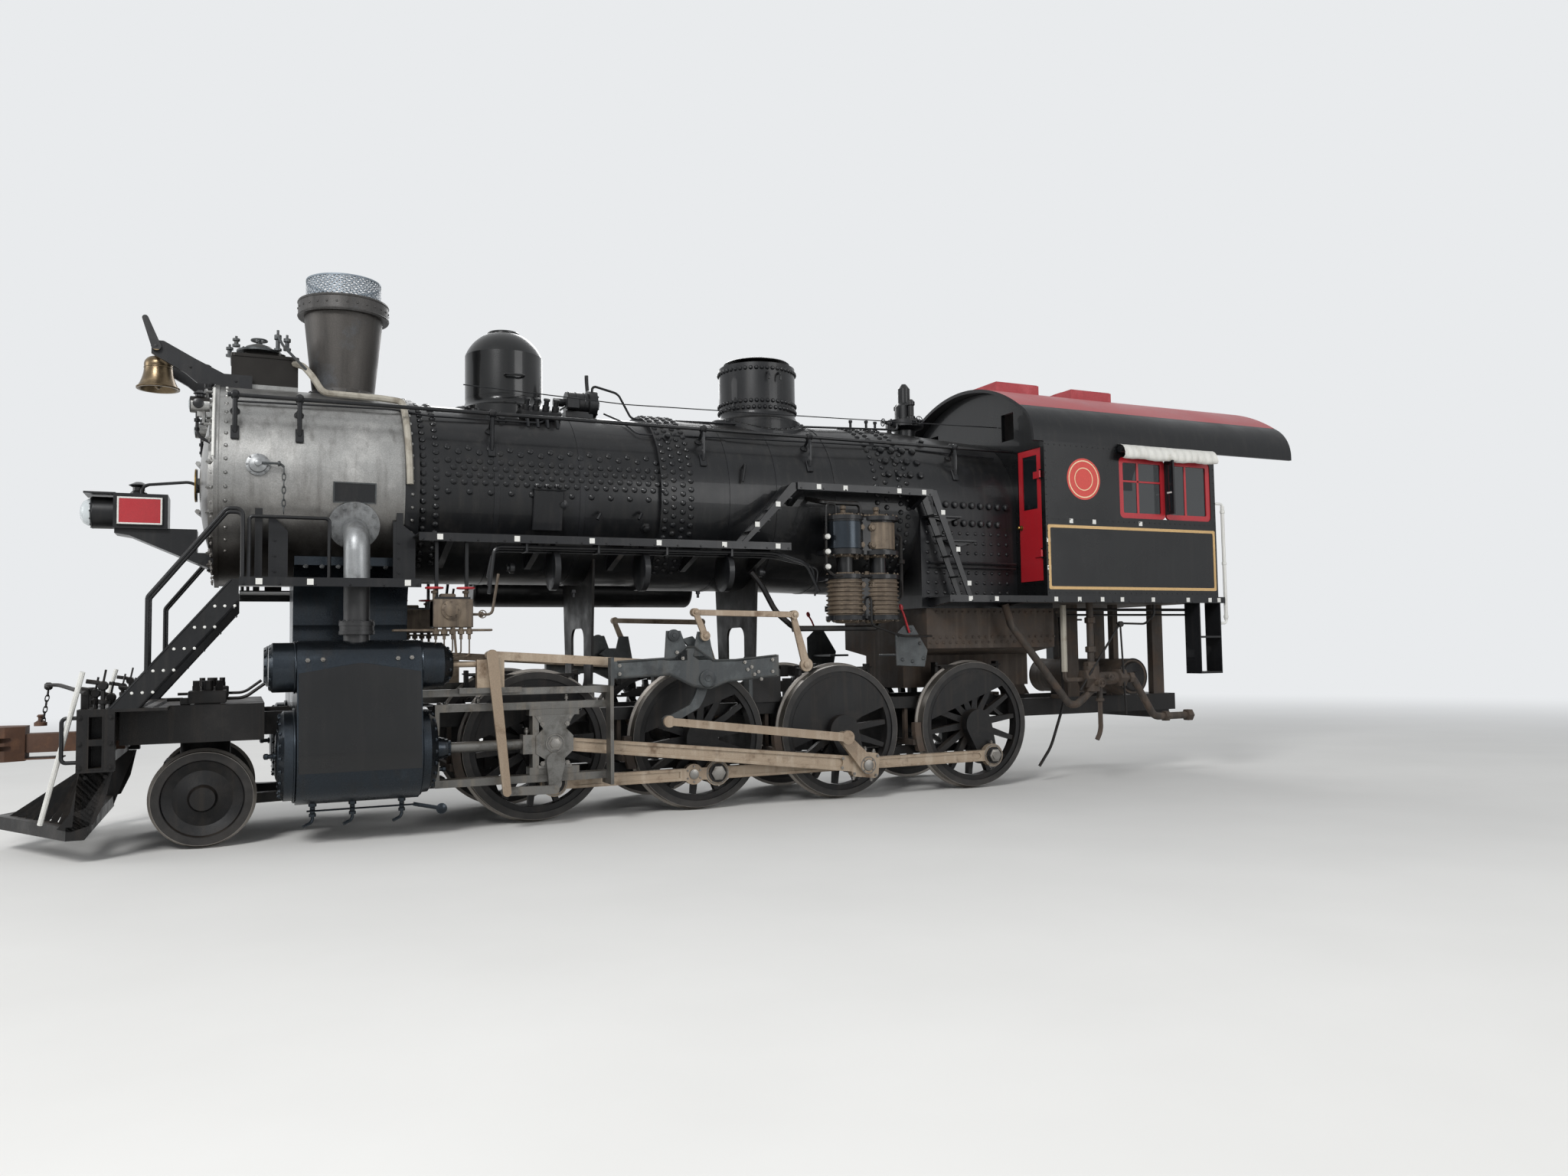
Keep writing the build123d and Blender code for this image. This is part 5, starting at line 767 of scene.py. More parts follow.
# ---------------------------------------------------------------- boiler
def boiler_rivets(sizes):
    """Rivet rows, smokebox bolts, staybolt caps and stay ends of the boiler."""
    spots = []
    for row, station in enumerate((-1.09, -0.97, 1.31, 1.4, 1.5, 1.59, 3.8, 3.92, 4.1, 4.2)):
        for step in range(sizes.ring_rivets):
            turn = 360 * (step + 0.5 * (row % 2)) / sizes.ring_rivets - 180
            if abs(turn) < 148:
                spots.append(on_shell(station, turn))
    # Lap strap: dense rows in the middle, pairs along its edges
    for turn, pitch, offset in ((66, 0.2, 0.0), (69, 0.2, 0.1), (75, 0.1, 0.0), (79.5, 0.1, 0.05), (84, 0.1, 0.0),
            (88.5, 0.1, 0.05), (94.5, 0.2, 0.0)):
        for step in range(int(2.3 / pitch)):
            spots += [on_shell(-0.86 + pitch * step + offset, side * turn) for side in SIDES]
    finish(copies(rivet(sizes.rivet, sizes.rivet * 0.62), spots), "boiler_rivets", "enamel")

    front = []
    for station in (-2.77, -1.19):
        for step in range(48):
            turn = 360 * step / 48 - 180
            if abs(turn) < 140:
                front.append(on_shell(station, turn))
    front += ring((SMOKEBOX_FRONT - 0.05, 0, BOILER_Z), AHEAD, 0.925, 44)
    finish(copies(rivet(0.018, 0.014), front), "smokebox_bolts", "graphite")

    # Flat caps over the flexible staybolts, and the small stay ends below them
    caps, stays = [], []
    for column in range(4):
        for row in range(3):
            caps.append(on_shell(3.98 + 0.14 * column, -(50 + 10 * row)))
    for column in range(10):
        station = 4.46 + 0.125 * column
        caps.append(((station, shell_radius(station), 3.3), OUT))
    for column in range(9):
        station = 4.46 + 0.125 * column
        caps.append(((station, shell_radius(station), 3.09), OUT))
    for column in range(11):
        for row in range(7):
            station = 4.44 + 0.115 * column
            point = Vector((station, shell_radius(station), 2.97 - 0.115 * row))
            stays.append((point, OUT))
    cap = turned(mm(42, 0, 42, 18, 34, 32, 18, 38), sides=12)
    finish(both(copies(cap, caps)), "staybolt_caps", "enamel")
    finish(both(copies(rivet(0.023, 0.016), stays)), "staybolt_ends", "enamel")


def boiler_bosses(sizes):
    """Washout plugs, jacket bands, and the ledge and steps of the firebox."""
    parts = []
    for station, turn in ((-0.291, 39), (1.403, 50), (0.245, 100), (1.124, 113), (5.05, 38), (4.62, 38)):
        point, outward = on_shell(station, -turn)
        parts.append(turned(mm(58, 0, 55, 14, 34, 20, 34, 50, 20, 56), point, outward, 6))
    # Small fittings on the barrel, and a flat cover low on it
    cover = block((-0.15, -0.2, 0.004), (0.15, 0.2, 0.03), 0.008)
    parts.append(laid(cover, 0.1, -104))
    for station, turn in ((0.0, 89), (0.1, 89), (0.2, 89)):
        point, outward = on_shell(station, -turn)
        parts.append(turned(mm(34, 0, 34, 30, 22, 36, 22, 70, 12, 75), point, outward, 10))
    parts.append(pipe([on_shell(-0.05, -91, 0.04)[0], on_shell(0.27, -91, 0.04)[0]], 0.013))
    for station, turn in ((2.2, 70), (1.05, 103), (0.62, 104)):
        foot, outward = on_shell(station, -turn)
        parts.append(pipe([foot, foot + outward * 0.07,
            foot + outward * 0.09 - Vector((0.04, 0, 0.2 if turn < 80 else 0.06))], 0.016, 0.02))
    finish(both(parts), "washout_plugs", "enamel")

    bands = []
    for station in (-0.4, 0.45, 2.05, 2.6, 3.3):
        radius = shell_radius(station)
        shape = [(radius, -0.028), (radius + 0.005, -0.026), (radius + 0.005, 0.026), (radius, 0.028)]
        bands.append(turned(shape, (station, 0, BOILER_Z), ASTERN, 96))
    finish(bands, "boiler_bands", "enamel")

    parts = []
    # Ledge and pipe low on the firebox, step plates above it
    wall = shell_radius(5.6)
    line = [(4.45, shell_radius(4.45) + 0.03, 2.62), (5.68, wall + 0.05, 2.62)]
    parts += [
        pipe(line, 0.018),
        pipe([(x, y, z - 0.055) for x, y, z in line], 0.012),
    ]
    for station, z in ((4.62, 3.13), (4.82, 2.86)):
        inner = shell_radius(station) - 0.01
        outline = [(station - 0.26, inner), (station + 0.26, inner), (station + 0.2, inner + 0.17),
            (station - 0.2, inner + 0.17)]
        parts += [
            plate(outline, 0.016, "xy", z),
            plate([(station - 0.2, z), (station + 0.2, z), (station + 0.02, z - 0.05)], 0.012, "xz", inner + 0.1),
        ]
    finish(both(parts), "firebox_steps", "enamel")


def boiler_pipes(sizes):
    """Sand traps at the dome, conduits and wire along the boiler."""
    fittings = []
    # Sand traps at the dome's foot
    trap = block((-0.21, -0.06, 0.0), (0.21, 0.06, 0.1), 0.014, 2)
    fittings.append(laid(trap, 0.12, -31))
    for step in range(4):
        point, outward = on_shell(-0.03 + 0.1 * step, -31, 0.095)
        fittings += [
            turned(mm(38, 0, 38, 50, 26, 56, 26, 100, 34, 105, 34, 125, 10, 130), point, outward, 8),
            pipe([on_shell(-0.03 + 0.1 * step, -33, 0.05)[0], on_shell(-0.03 + 0.1 * step, -39, 0.03)[0],
                on_shell(-0.03 + 0.1 * step, -43, -0.01)[0]], sizes.sand_pipe, 0.03),
        ]
    finish(both(fittings), "sand_traps", "enamel")

    lines = [
        pipe([on_shell(0.85, 18, 0.06)[0], on_shell(1.0, 30, 0.03)[0], on_shell(1.1, 46, 0.03)[0],
            on_shell(2.2, 47, 0.03)[0], on_shell(3.9, 47, 0.03)[0], on_shell(5.6, 47, 0.03)[0]], 0.011, 0.06),
        pipe([(-0.64, -0.42, 4.36), (1.0, -0.6, 4.25), (3.2, -0.62, 4.28), (5.72, -0.62, 4.33)], 0.006),
        pipe([on_shell(0.45, 12, 0.1)[0], on_shell(0.1, 40, 0.02)[0], on_shell(-1.0, 42, 0.03)[0],
            on_shell(-1.35, 42, 0.03)[0], on_shell(-2.7, 44, 0.02)[0]], 0.011, 0.06),
    ]
    finish(lines, "boiler_conduits", "enamel")


def rail_posts(sizes):
    """Screwed sleeves and feet on the handrail posts."""
    parts = []
    for station in (-2.7, -2.17, -0.44, 1.75, 3.0, 4.9):
        rail = Vector((station, 0.9, 3.985))
        centre = Vector((station, 0, BOILER_Z))
        outward = (rail - centre).normalized()
        foot = centre + outward * (shell_radius(station) + 0.001)
        parts += [
            turned(mm(42, 0, 42, 12, 28, 30, 24, 45), foot, outward, 12),
            turned(mm(20, -50, 34, -30, 38, 0, 34, 30, 20, 45), rail, outward, 12),
            pipe([rail, on_shell(station, -57, 0.13)[0], on_shell(station, -64, 0.05)[0],
                on_shell(station, -67, 0.01)[0]], 0.021, 0.03),
            laid(block((-0.035, -0.07, 0.0), (0.035, 0.07, 0.02), 0.006), station, -67),
        ]
    finish(both(parts), "rail_post_sleeves", "enamel")


# ---------------------------------------------------------------- smokebox
def smokebox_fittings(sizes):
    """Plug with its chain, blank plate, lid valve, lagged pipe and side brackets."""
    parts, plugs = [], []
    point, outward = on_shell(-2.511, -85)
    plugs.append(turned(mm(100, 0, 100, 14, 78, 20, 74, 50, 50, 62, 30, 66, 30, 90, 18, 96), point, outward, 24))
    plugs += copies(nut(0.01, 0.009), ring(point + outward * 0.014, outward, 0.09, 8))
    elbow = point + outward * 0.08
    hook = elbow + Vector((0.21, 0, 0.0))
    parts += [
        pipe([elbow, hook - Vector((0.03, 0, 0)), hook - Vector((0, 0, 0.03))], 0.012, 0.02),
        turned(mm(20, -12, 26, 0, 20, 12), hook - Vector((0.04, 0, 0)), ASTERN, 12),
    ]
    parts += chain(hook - Vector((0, 0, 0.03)), hook - Vector((0, 0, 0.44)), 0.019)
    finish(both(plugs), "smokebox_plugs", "silver")
    parts = both(parts)
    # Domed lid with its valve and handwheel on the box
    top = (-2.5, 0, 4.59)
    parts.append(turned(mm(200, 0, 200, 20, 140, 32, 120, 60, 60, 85, 30, 90, 30, 100, 12, 105, 12, 130),
        top, UP, 24))
    parts += copies(nut(0.014, 0.013), ring((top[0], 0, 4.61), UP, 0.17, 10))
    parts += handwheel((top[0], 0, 4.72), UP, 0.07)
    for x, y, tall in ((0.16, -0.2, 0.2), (0.24, -0.24, 0.15), (-0.2, -0.22, 0.1), (-0.26, 0.2, 0.12)):
        foot = Vector((top[0] + x, y, 4.588))
        parts.append(turned([(0.036, 0), (0.036, 0.02), (0.02, 0.026), (0.02, tall * 0.5), (0.034, tall * 0.55),
            (0.034, tall * 0.75), (0.012, tall * 0.8), (0.012, tall)], foot, UP, 10))
    parts.append(pipe([(top[0] + 0.16, -0.2, 4.72), (top[0] + 0.16, -0.33, 4.7), (top[0] + 0.2, -0.36, 4.6),
        (top[0] + 0.5, -0.42, 4.28)], 0.014, 0.04))
    finish(parts, "smokebox_fittings", "casting")
    parts = []
    # Upright bracket plates down to the front board
    for x, width in ((-2.42, 0.16), (-1.36, 0.2)):
        parts.append(plate([(x, 2.33), (x + width, 2.33), (x + width, 2.78), (x + 0.05, 2.9), (x, 2.9)], 0.012,
            "xz", 0.885))
        parts += copies(nut(0.014, 0.012), [((x + 0.05, 0.898, z), OUT) for z in (2.42, 2.56, 2.7)])
    finish(both(parts), "smokebox_brackets", "enamel")

    # Blank builder's plate
    half = (0.186, 0.096)
    outline = [(-half[0], -half[1]), (half[0], -half[1]), (half[0], half[1]), (-half[0], half[1])]
    rim = framed(-half[0], -half[1], half[0], half[1], 0.012)
    back = laid(plate(outline, 0.008, "xy"), -1.7, -98)
    edge = laid(plate(rim[0], 0.014, "xy", holes=rim[1:]), -1.7, -98)
    finish_pair([back], "blank_plate_%s", "enamel")
    finish_pair([edge], "blank_plate_rim_%s", "casting")

    # Lagged pipe from the lid, beside the stack's foot and down the rear seam
    line = [(-2.27, -0.12, 4.5), (-2.12, -0.3, 4.44), (-2.04, -0.47, 4.3)]
    line += shell_line((-1.95, 28), (-1.42, 30), 0.045, 4)
    line += shell_line((-1.24, 33), (-1.22, 92), 0.045, 9)
    finish([pipe(line, 0.032, 0.05, 12)], "lagged_pipe", "lagging")
    line = [on_shell(-2.87, turn, 0.045)[0] for turn in range(34, 84, 6)]
    finish([pipe(line, 0.012, 0.02)], "front_ring_pipe", "white")


def front_fittings(sizes):
    """Clamps, hinges and rail of the smokebox door, and its blank round plate."""
    face = SMOKEBOX_FRONT - 0.05
    parts = []
    for point, axis in ring((face, 0, BOILER_Z), AHEAD, 0.8, 22):
        radial = Vector((0, point.y, point.z - BOILER_Z)).normalized()
        parts += [
            pipe([point + radial * 0.045, point - radial * 0.045 + axis * 0.02], 0.017, sides=8),
            turned(mm(22, 0, 22, 22, 12, 22, 12, 35), point + axis * 0.016, axis, 6),
        ]
    for z in (3.05, 3.51):
        parts += [
            pipe([(face - 0.05, 0.86, z), (face - 0.1, 0.5, z), (face - 0.14, 0.12, z)], 0.024, 0.05),
            pipe([(face - 0.04, 0.87, z - 0.06), (face - 0.04, 0.87, z + 0.06)], 0.022),
        ]
    arc = ring((face, 0, BOILER_Z), AHEAD, 0.9, 48)
    top = sorted((spot[0] for spot in arc if spot[0].z > BOILER_Z + 0.35), key=lambda point: point.y)
    rail = [point + Vector((-0.07, 0, 0)) for point in top]
    parts.append(pipe(rail, 0.014))
    for point in (rail[0], rail[len(rail) // 3], rail[2 * len(rail) // 3], rail[-1]):
        parts.append(pipe([point, point + Vector((0.08, 0, 0))], 0.012))
    finish(parts, "smokebox_door_clamps", "graphite")

    plate_x = SMOKEBOX_FRONT - 0.086 - 0.086 - 0.016
    disc = [turned(mm(155, 0, 155, 12, 148, 16), (plate_x + 0.002, 0, BOILER_Z), AHEAD, 48)]
    finish(disc, "round_plate_field", "cab_black")
    finish([hoop(0.15, 0.008, (plate_x - 0.014, 0, BOILER_Z), AHEAD, 48)], "round_plate_rim", "brass")


def lamps(sizes):
    """Headlight lens, reflector, red boards, and the class lamps."""
    lens_x = -3.866
    finish([turned(mm(126, 0, 122, 30, 100, 65, 60, 88, 15, 96), (lens_x - 0.004, 0, 2.994), AHEAD, 40)],
        "headlight_lens", "lens")
    finish([turned(mm(118, 0, 118, 2, 100, 3), (-3.835, 0, 2.994), AHEAD, 40)], "headlight_reflector", "silver")
    frame_parts = [hoop(0.134, 0.014, (-3.862, 0, 2.994), AHEAD, 48)]
    frame_parts += copies(nut(0.009, 0.008), ring((-3.872, 0, 2.994), AHEAD, 0.134, 12))
    frame_parts += [
        pipe([(-3.47, -0.1, 3.16), (-3.47, -0.1, 3.25), (-3.05, -0.1, 3.3), (-2.95, -0.1, 3.2)], 0.014, 0.06),
        turned(mm(70, 0, 70, 30, 50, 50, 50, 80, 85, 100, 30, 130), (-3.5, 0, 3.158), UP, 20),
    ]
    finish(frame_parts, "headlight_trim", "enamel")
    boards, rims = [], []
    outline = framed(-3.655, 2.876, -3.295, 3.124, 0.014)
    boards.append(plate(outline[0], 0.004, "xz", 0.2135))
    rims.append(plate(outline[0], 0.007, "xz", 0.2135, holes=outline[1:]))
    finish(both(boards), "number_board_faces", "red")
    finish(both(rims), "number_board_rims", "white")

    lens_parts, rims = [], []
    centre = Vector((SMOKEBOX_FRONT - 0.226, 0.66, 3.92))
    lens_parts.append(turned(mm(56, 0, 50, 12, 30, 20, 10, 22), centre, AHEAD, 24))
    rims += [
        hoop(0.064, 0.01, centre, AHEAD, 28),
        turned(mm(40, 0, 40, 20, 55, 30, 20, 60), centre + Vector((0.07, 0, 0.07)), UP, 14),
    ]
    outer = centre + Vector((0.06, 0.06, 0))
    rims += [
        turned(mm(45, 0, 45, 20, 30, 26), outer, OUT, 18),
        pipe([centre + Vector((0.05, 0, -0.07)), centre + Vector((0.05, 0, -0.28)),
            centre + Vector((0.17, 0, -0.34))], 0.014, 0.05),
        union(centre + Vector((0.05, 0, -0.14)), UP, 0.016),
        union(centre + Vector((0.05, 0, -0.22)), UP, 0.014),
    ]
    finish(both(lens_parts), "class_lamp_lenses", "lens")
    finish(both(rims), "class_lamp_trim", "enamel")


def stack_screen(sizes):
    """Domed wire top of the stack's screen and its hoop, and the bands, rivets and nuts of the cap."""
    centre = Vector((-1.735, 0, 5.36))
    wires = []
    for step in range(11):
        offset = -0.29 + 0.058 * step
        half = math.sqrt(0.335 ** 2 - offset ** 2)
        for turn in (45, -45):
            spin = Matrix.Rotation(math.radians(turn), 3, "Z")
            line = []
            for share in range(-4, 5):
                x = half * share / 4
                height = 0.012 * (1 - (x * x + offset * offset) / 0.335 ** 2)
                line.append(centre + spin @ Vector((x, offset, height)))
            wires.append(pipe(line, 0.0035, sides=4))
    wires.append(hoop(0.345, 0.008, centre + Vector((0, 0, 0.006)), UP, 48))
    finish(wires, "stack_screen_top", "netting")
    cap = [hoop(0.418, 0.012, centre + Vector((0, 0, -0.345)), UP, 64),
        hoop(0.418, 0.012, centre + Vector((0, 0, -0.215)), UP, 64)]
    cap += copies(rivet(0.012, 0.008), [(point, (point - Vector((centre.x, 0, point.z))).normalized()) for point,
        _ in ring(centre + Vector((0, 0, -0.28)), UP, 0.4225, 28)])
    cap += copies(nut(0.02, 0.018), [(point, UP) for point, _ in ring((centre.x, 0, 4.214), UP, 0.335, 16)])
    finish(cap, "stack_cap_bands", "stack")


def bell_fittings(sizes):
    """Hanger nuts of the bell, its clapper, and the ringer on the bracket."""
    pivot = Vector((-3.356, 0, 4.5))
    parts = [turned(mm(45, 0, 45, 12, 30, 16, 30, 30, 12, 34), pivot + Vector((0, 0.311, 0)), OUT, 6)]
    parts += copies(nut(0.013, 0.012), [((x, 0.311, z), OUT) for x, z in ((-2.7, 4.24), (-2.9, 4.2), (-3.08, 4.34))])
    parts = both(parts)
    parts += [
        turned(mm(50, 0, 50, 140, 30, 150, 14, 150, 14, 220), (-2.93, 0.12, 4.24), UP, 16),
        pipe([(-2.93, 0.12, 4.46), (-3.2, 0.16, 4.52)], 0.01),
        pipe([(-2.93, 0.12, 4.26), (-2.75, 0.14, 4.25), (-2.6, 0.2, 4.22)], 0.01, 0.03),
    ]
    finish(parts, "bell_hangers", "enamel")
    clapper = [pipe([pivot + Vector((0, 0, -0.06)), pivot + Vector((0, 0, -0.27))], 0.012),
        turned(mm(12, 0, 32, 20, 34, 40, 14, 62), pivot + Vector((0, 0, -0.325)), UP, 14)]
    finish(clapper, "bell_clapper", "bronze", "bell")
    crown = [turned(mm(60, 0, 60, 20, 30, 30, 30, 50, 14, 55), pivot + Vector((0, 0, 0.034)), UP, 6)]
    crown += [hoop(0.178, 0.006, pivot + Vector((0, 0, -0.318)), UP, 40),
        hoop(0.119, 0.004, pivot + Vector((0, 0, -0.13)), UP, 36)]
    finish(crown, "bell_crown_nut", "bronze", "bell")


def saddle_spots(station, reach, count, radius_at):
    """Spots round the foot of a dome, where it meets the shell."""
    spots = []
    for step in range(count):
        angle = math.tau * step / count
        x, y = station + reach * math.cos(angle), reach * math.sin(angle)
        rise = math.sqrt(radius_at(x) ** 2 - y * y)
        spots.append(((x, y, BOILER_Z + rise), Vector((0, y, rise)).normalized()))
    return spots


def dome_fittings(sizes):
    """Bolts, rings, lids and handles on the domes and the turret."""
    sand = Vector((-0.15, 0, 0))
    parts = [turned(mm(170, 0, 170, 20, 160, 30, 50, 36), sand + Vector((0, 0, 5.008)), UP, 32)]
    parts.append(pipe([sand + Vector((-0.07, -0.3, 4.5)), sand + Vector((-0.07, -0.46, 4.5)),
        sand + Vector((0.12, -0.46, 4.5)), sand + Vector((0.12, -0.36, 4.5))], 0.012, 0.03))
    parts += copies(rivet(0.016, 0.011), saddle_spots(sand.x, 0.455, 24, lambda station: 0.927))
    finish(parts, "sand_dome_fittings", "cab_black")

    steam = Vector((2.78, 0, 0))
    spots = []
    for height, start in ((4.845, 0), (4.47, 0), (4.395, 4.1)):
        spots += [(point, (point - Vector((steam.x, 0, height))).normalized()) for point,
            _ in ring((steam.x, 0, height), UP, 0.442, 44, start)]
    parts = copies(rivet(0.026, 0.02), spots)
    base = saddle_spots(steam.x, 0.515, 40, lambda station: shell_radius(station) + 0.026)
    parts += copies(rivet(0.027, 0.02), base)
    parts.append(turned(mm(385, 0, 370, 12, 300, 34, 200, 50, 80, 58), steam + Vector((0, 0, 4.966)), UP, 44))
    for x in (-0.07, 0.07):
        parts.append(pipe([steam + Vector((x, -0.435, 4.79)), steam + Vector((x, -0.5, 4.77)),
            steam + Vector((x, -0.5, 4.7))], 0.014, 0.03))
    finish(parts, "steam_dome_rivets", "enamel")

    turret = Vector((4.78, 0, 0))
    parts = copies(nut(0.02, 0.02), ring(turret + Vector((0, 0, 4.45)), UP, 0.19, 10))
    for y in (-0.16, 0.16):
        parts.append(turned(mm(50, 0, 50, 30, 35, 40, 35, 160, 48, 170, 48, 210, 20, 240),
            turret + Vector((0.0, y, 4.46)), UP, 14))
    parts += globe_valve(turret + Vector((-0.25, -0.06, 4.41)), AHEAD, 0.034)
    parts += globe_valve(turret + Vector((0, -0.25, 4.41)), (0, -1, 0), 0.034)
    finish(parts, "turret_valves", "enamel")
    stems = []
    for station, y in ((3.95, -0.12), (4.12, -0.2), (4.3, -0.1), (4.44, -0.2)):
        z = BOILER_Z + math.sqrt((shell_radius(station) - 0.005) ** 2 - y * y)
        stems.append(turned(mm(30, 0, 30, 30, 16, 36, 16, 100, 24, 104, 24, 130, 8, 135), (station, y, z), UP, 8))
    finish(stems, "crown_valves", "enamel")


def generator_fittings(sizes):
    """Flange bolts, governor cap, pipes and junction box of the generator."""
    centre = Vector((0.64, 0, 4.35))
    parts = copies(nut(0.012, 0.011), ring(centre + Vector((0.196, 0, 0)), ASTERN, 0.132, 12))
    parts.append(turned(mm(70, 0, 70, 30, 50, 45, 20, 50), centre + Vector((0.19, 0, 0)), ASTERN, 20))
    parts += [hoop(0.121, 0.006, centre + Vector((x, 0, 0)), ASTERN, 36) for x in (-0.11, -0.03, 0.06)]
    parts += [
        pipe([centre + Vector((0.15, -0.06, 0.12)), centre + Vector((0.15, -0.06, 0.2)),
            centre + Vector((0.4, -0.2, 0.1)), on_shell(1.15, 20, 0.03)[0], on_shell(3.0, 22, 0.03)[0],
            on_shell(4.5, 16, 0.05)[0], (4.6, -0.12, 4.41)], 0.014, 0.05),
        pipe([centre + Vector((0.15, 0.1, 0.08)), centre + Vector((0.15, 0.16, 0.3)),
            centre + Vector((0.15, 0.16, 0.36))], 0.022, 0.05),
        block(centre + Vector((-0.16, -0.19, -0.09)), centre + Vector((-0.02, -0.11, 0.03)), 0.008),
    ]
    finish(parts, "generator_fittings", "enamel")


# ---------------------------------------------------------------- boards, stairs and ladders
def board_trim(sizes):
    """White squares and rivets along the boards, and the pipes that run below them in clips."""
    side_spots = []
    for station in (4.67, 5.02, 5.85, 6.19, 6.53, 6.83, 7.31, 7.87, 8.23, 8.38):
        side_spots.append(((station, 1.5, 2.187), OUT))
    for station in (2.89, 3.21, 3.88, 4.2):
        side_spots.append(((station, 1.33, 3.372), OUT))
    for station in (-1.0, -0.3, 0.42, 1.1, 1.8, 2.4):
        side_spots.append(((station, 1.33, 2.727), OUT))
    for station in (-2.5, -2.1, -1.3):
        side_spots.append(((station, 1.48, 2.292), OUT))
    for station, z in ((4.46, 3.16), (4.65, 2.75), (4.79, 2.37), (2.18, 2.95), (2.42, 3.17)):
        side_spots.append(((station, 1.306, z), OUT))
    for station, z in ((6.1, 3.1), (6.44, 3.1), (7.15, 3.1), (5.765, 2.87), (5.765, 2.55)):
        side_spots.append(((station, 1.5, z), OUT))
    finish(both(squares(side_spots, sizes.square)), "white_squares", "white")

    spots = []
    for x0, x1, y, z in ((-2.62, -1.22, 1.48, 2.27), (-1.15, 2.52, 1.33, 2.705), (2.68, 4.28, 1.33, 3.35),
            (4.44, 8.44, 1.5, 2.165)):
        count = int((x1 - x0) / 0.24)
        for step in range(count + 1):
            spots.append(((x0 + (x1 - x0) * step / count, y, z), OUT))
    finish(both(copies(rivet(0.011, 0.008), spots)), "board_rivets", "enamel")

    # Pipes that run below the middle board, in clips
    parts = []
    for lane, radius in ((0, 0.017), (1, 0.011), (2, 0.011)):
        y, z = 1.27 - 0.05 * lane, 2.66 - 0.02 * lane
        line = [(-0.55, y, z - 0.45 + 0.1 * lane), (-0.5, y, z), (2.4, y, z), (2.75 + 0.1 * lane, y, z - 0.1),
            (2.9, y, z - 0.4)]
        parts.append(pipe(line, radius, 0.07))
    clips = [
        block((station - 0.012, y - 0.09, 2.61), (station + 0.012, y + 0.1, 2.7525), 0.003)
        for station in (-0.2, 0.5, 1.2, 1.9) for y in (-1.2, 1.2)
    ]
    finish(both(parts) + clips, "pipes_below_boards", "enamel")


def stair_trim(sizes):
    """White bolt heads on the stair stringers, angle edges and deck fittings."""
    bolts, angles = [], []
    for step in range(1, 6):
        share = step / 6
        x = -3.56 + (-2.6633 + 3.56) * share
        z = 1.253 + (2.318 - 1.253) * share
        for bolt in range(3):
            bolts.append(((x - 0.02 + 0.075 * bolt, 1.35, z - 0.054 + 0.002 * bolt), OUT))
    for offset in (1.345, 1.065):
        lines = (((-3.58, 1.256), (-2.71, 2.31)), ((-3.385, 1.256), (-2.66, 2.135)))
        for (x0, z0), (x1, z1) in lines:
            angles.append(pipe([(x0, offset, z0), (x1, offset, z1)], 0.012, sides=4))
    finish(both(copies(turned(mm(13, 0, 11, 7, 6, 10), sides=10), bolts)), "stair_bolts", "white")
    finish(both(angles), "stair_edges", "enamel")

    # Hold-down bolts and brackets on the deck, and the marker pole
    parts, poles = [], []
    base = Vector((-2.89, 0.87, 1.373))
    parts.append(block(base + Vector((-0.15, -0.11, -0.11)), base + Vector((0.15, 0.11, 0.0)), 0.014, 2))
    for x in (-0.09, 0.0, 0.09):
        tall = 0.085 if x else 0.13
        if x:
            parts.append(turned([(0.034, 0), (0.034, 0.04), (0.03, 0.04), (0.03, tall)],
                base + Vector((x, 0, 0)), UP, 6))
    parts += [
        block((-3.1, 0.93 - 0.02, 1.253), (-3.02, 0.93 + 0.02, 1.31), 0.006),
        pipe([(-3.2, 0.9, 1.3), (-2.6, 0.9, 1.3), (-2.44, 0.9, 1.42)], 0.016, 0.05),
    ]
    poles.append(pipe([(-3.774, 1.362, 1.555), (-4.078, 1.1, 0.332)], 0.02, sides=12))
    # Angle cocks and pipe ends behind the beam
    for x, y, z in ((-3.7, 1.18, 1.4), (-3.64, 1.26, 1.46), (-3.6, 1.08, 1.36)):
        parts += [
            pipe([(x, y, 1.253), (x, y, z), (x - 0.12, y, z + 0.02)], 0.018, 0.04),
            union((x, y, 1.31), UP, 0.02),
            turned(mm(34, -30, 40, -10, 40, 10, 30, 30), (x, y, z - 0.02), OUT, 14),
            pipe([(x, y, z), (x + 0.02, y + 0.02, z + 0.11)], 0.009),
        ]
    finish(both(parts), "deck_fittings", "oily")
    finish(both(poles), "marker_poles", "white")


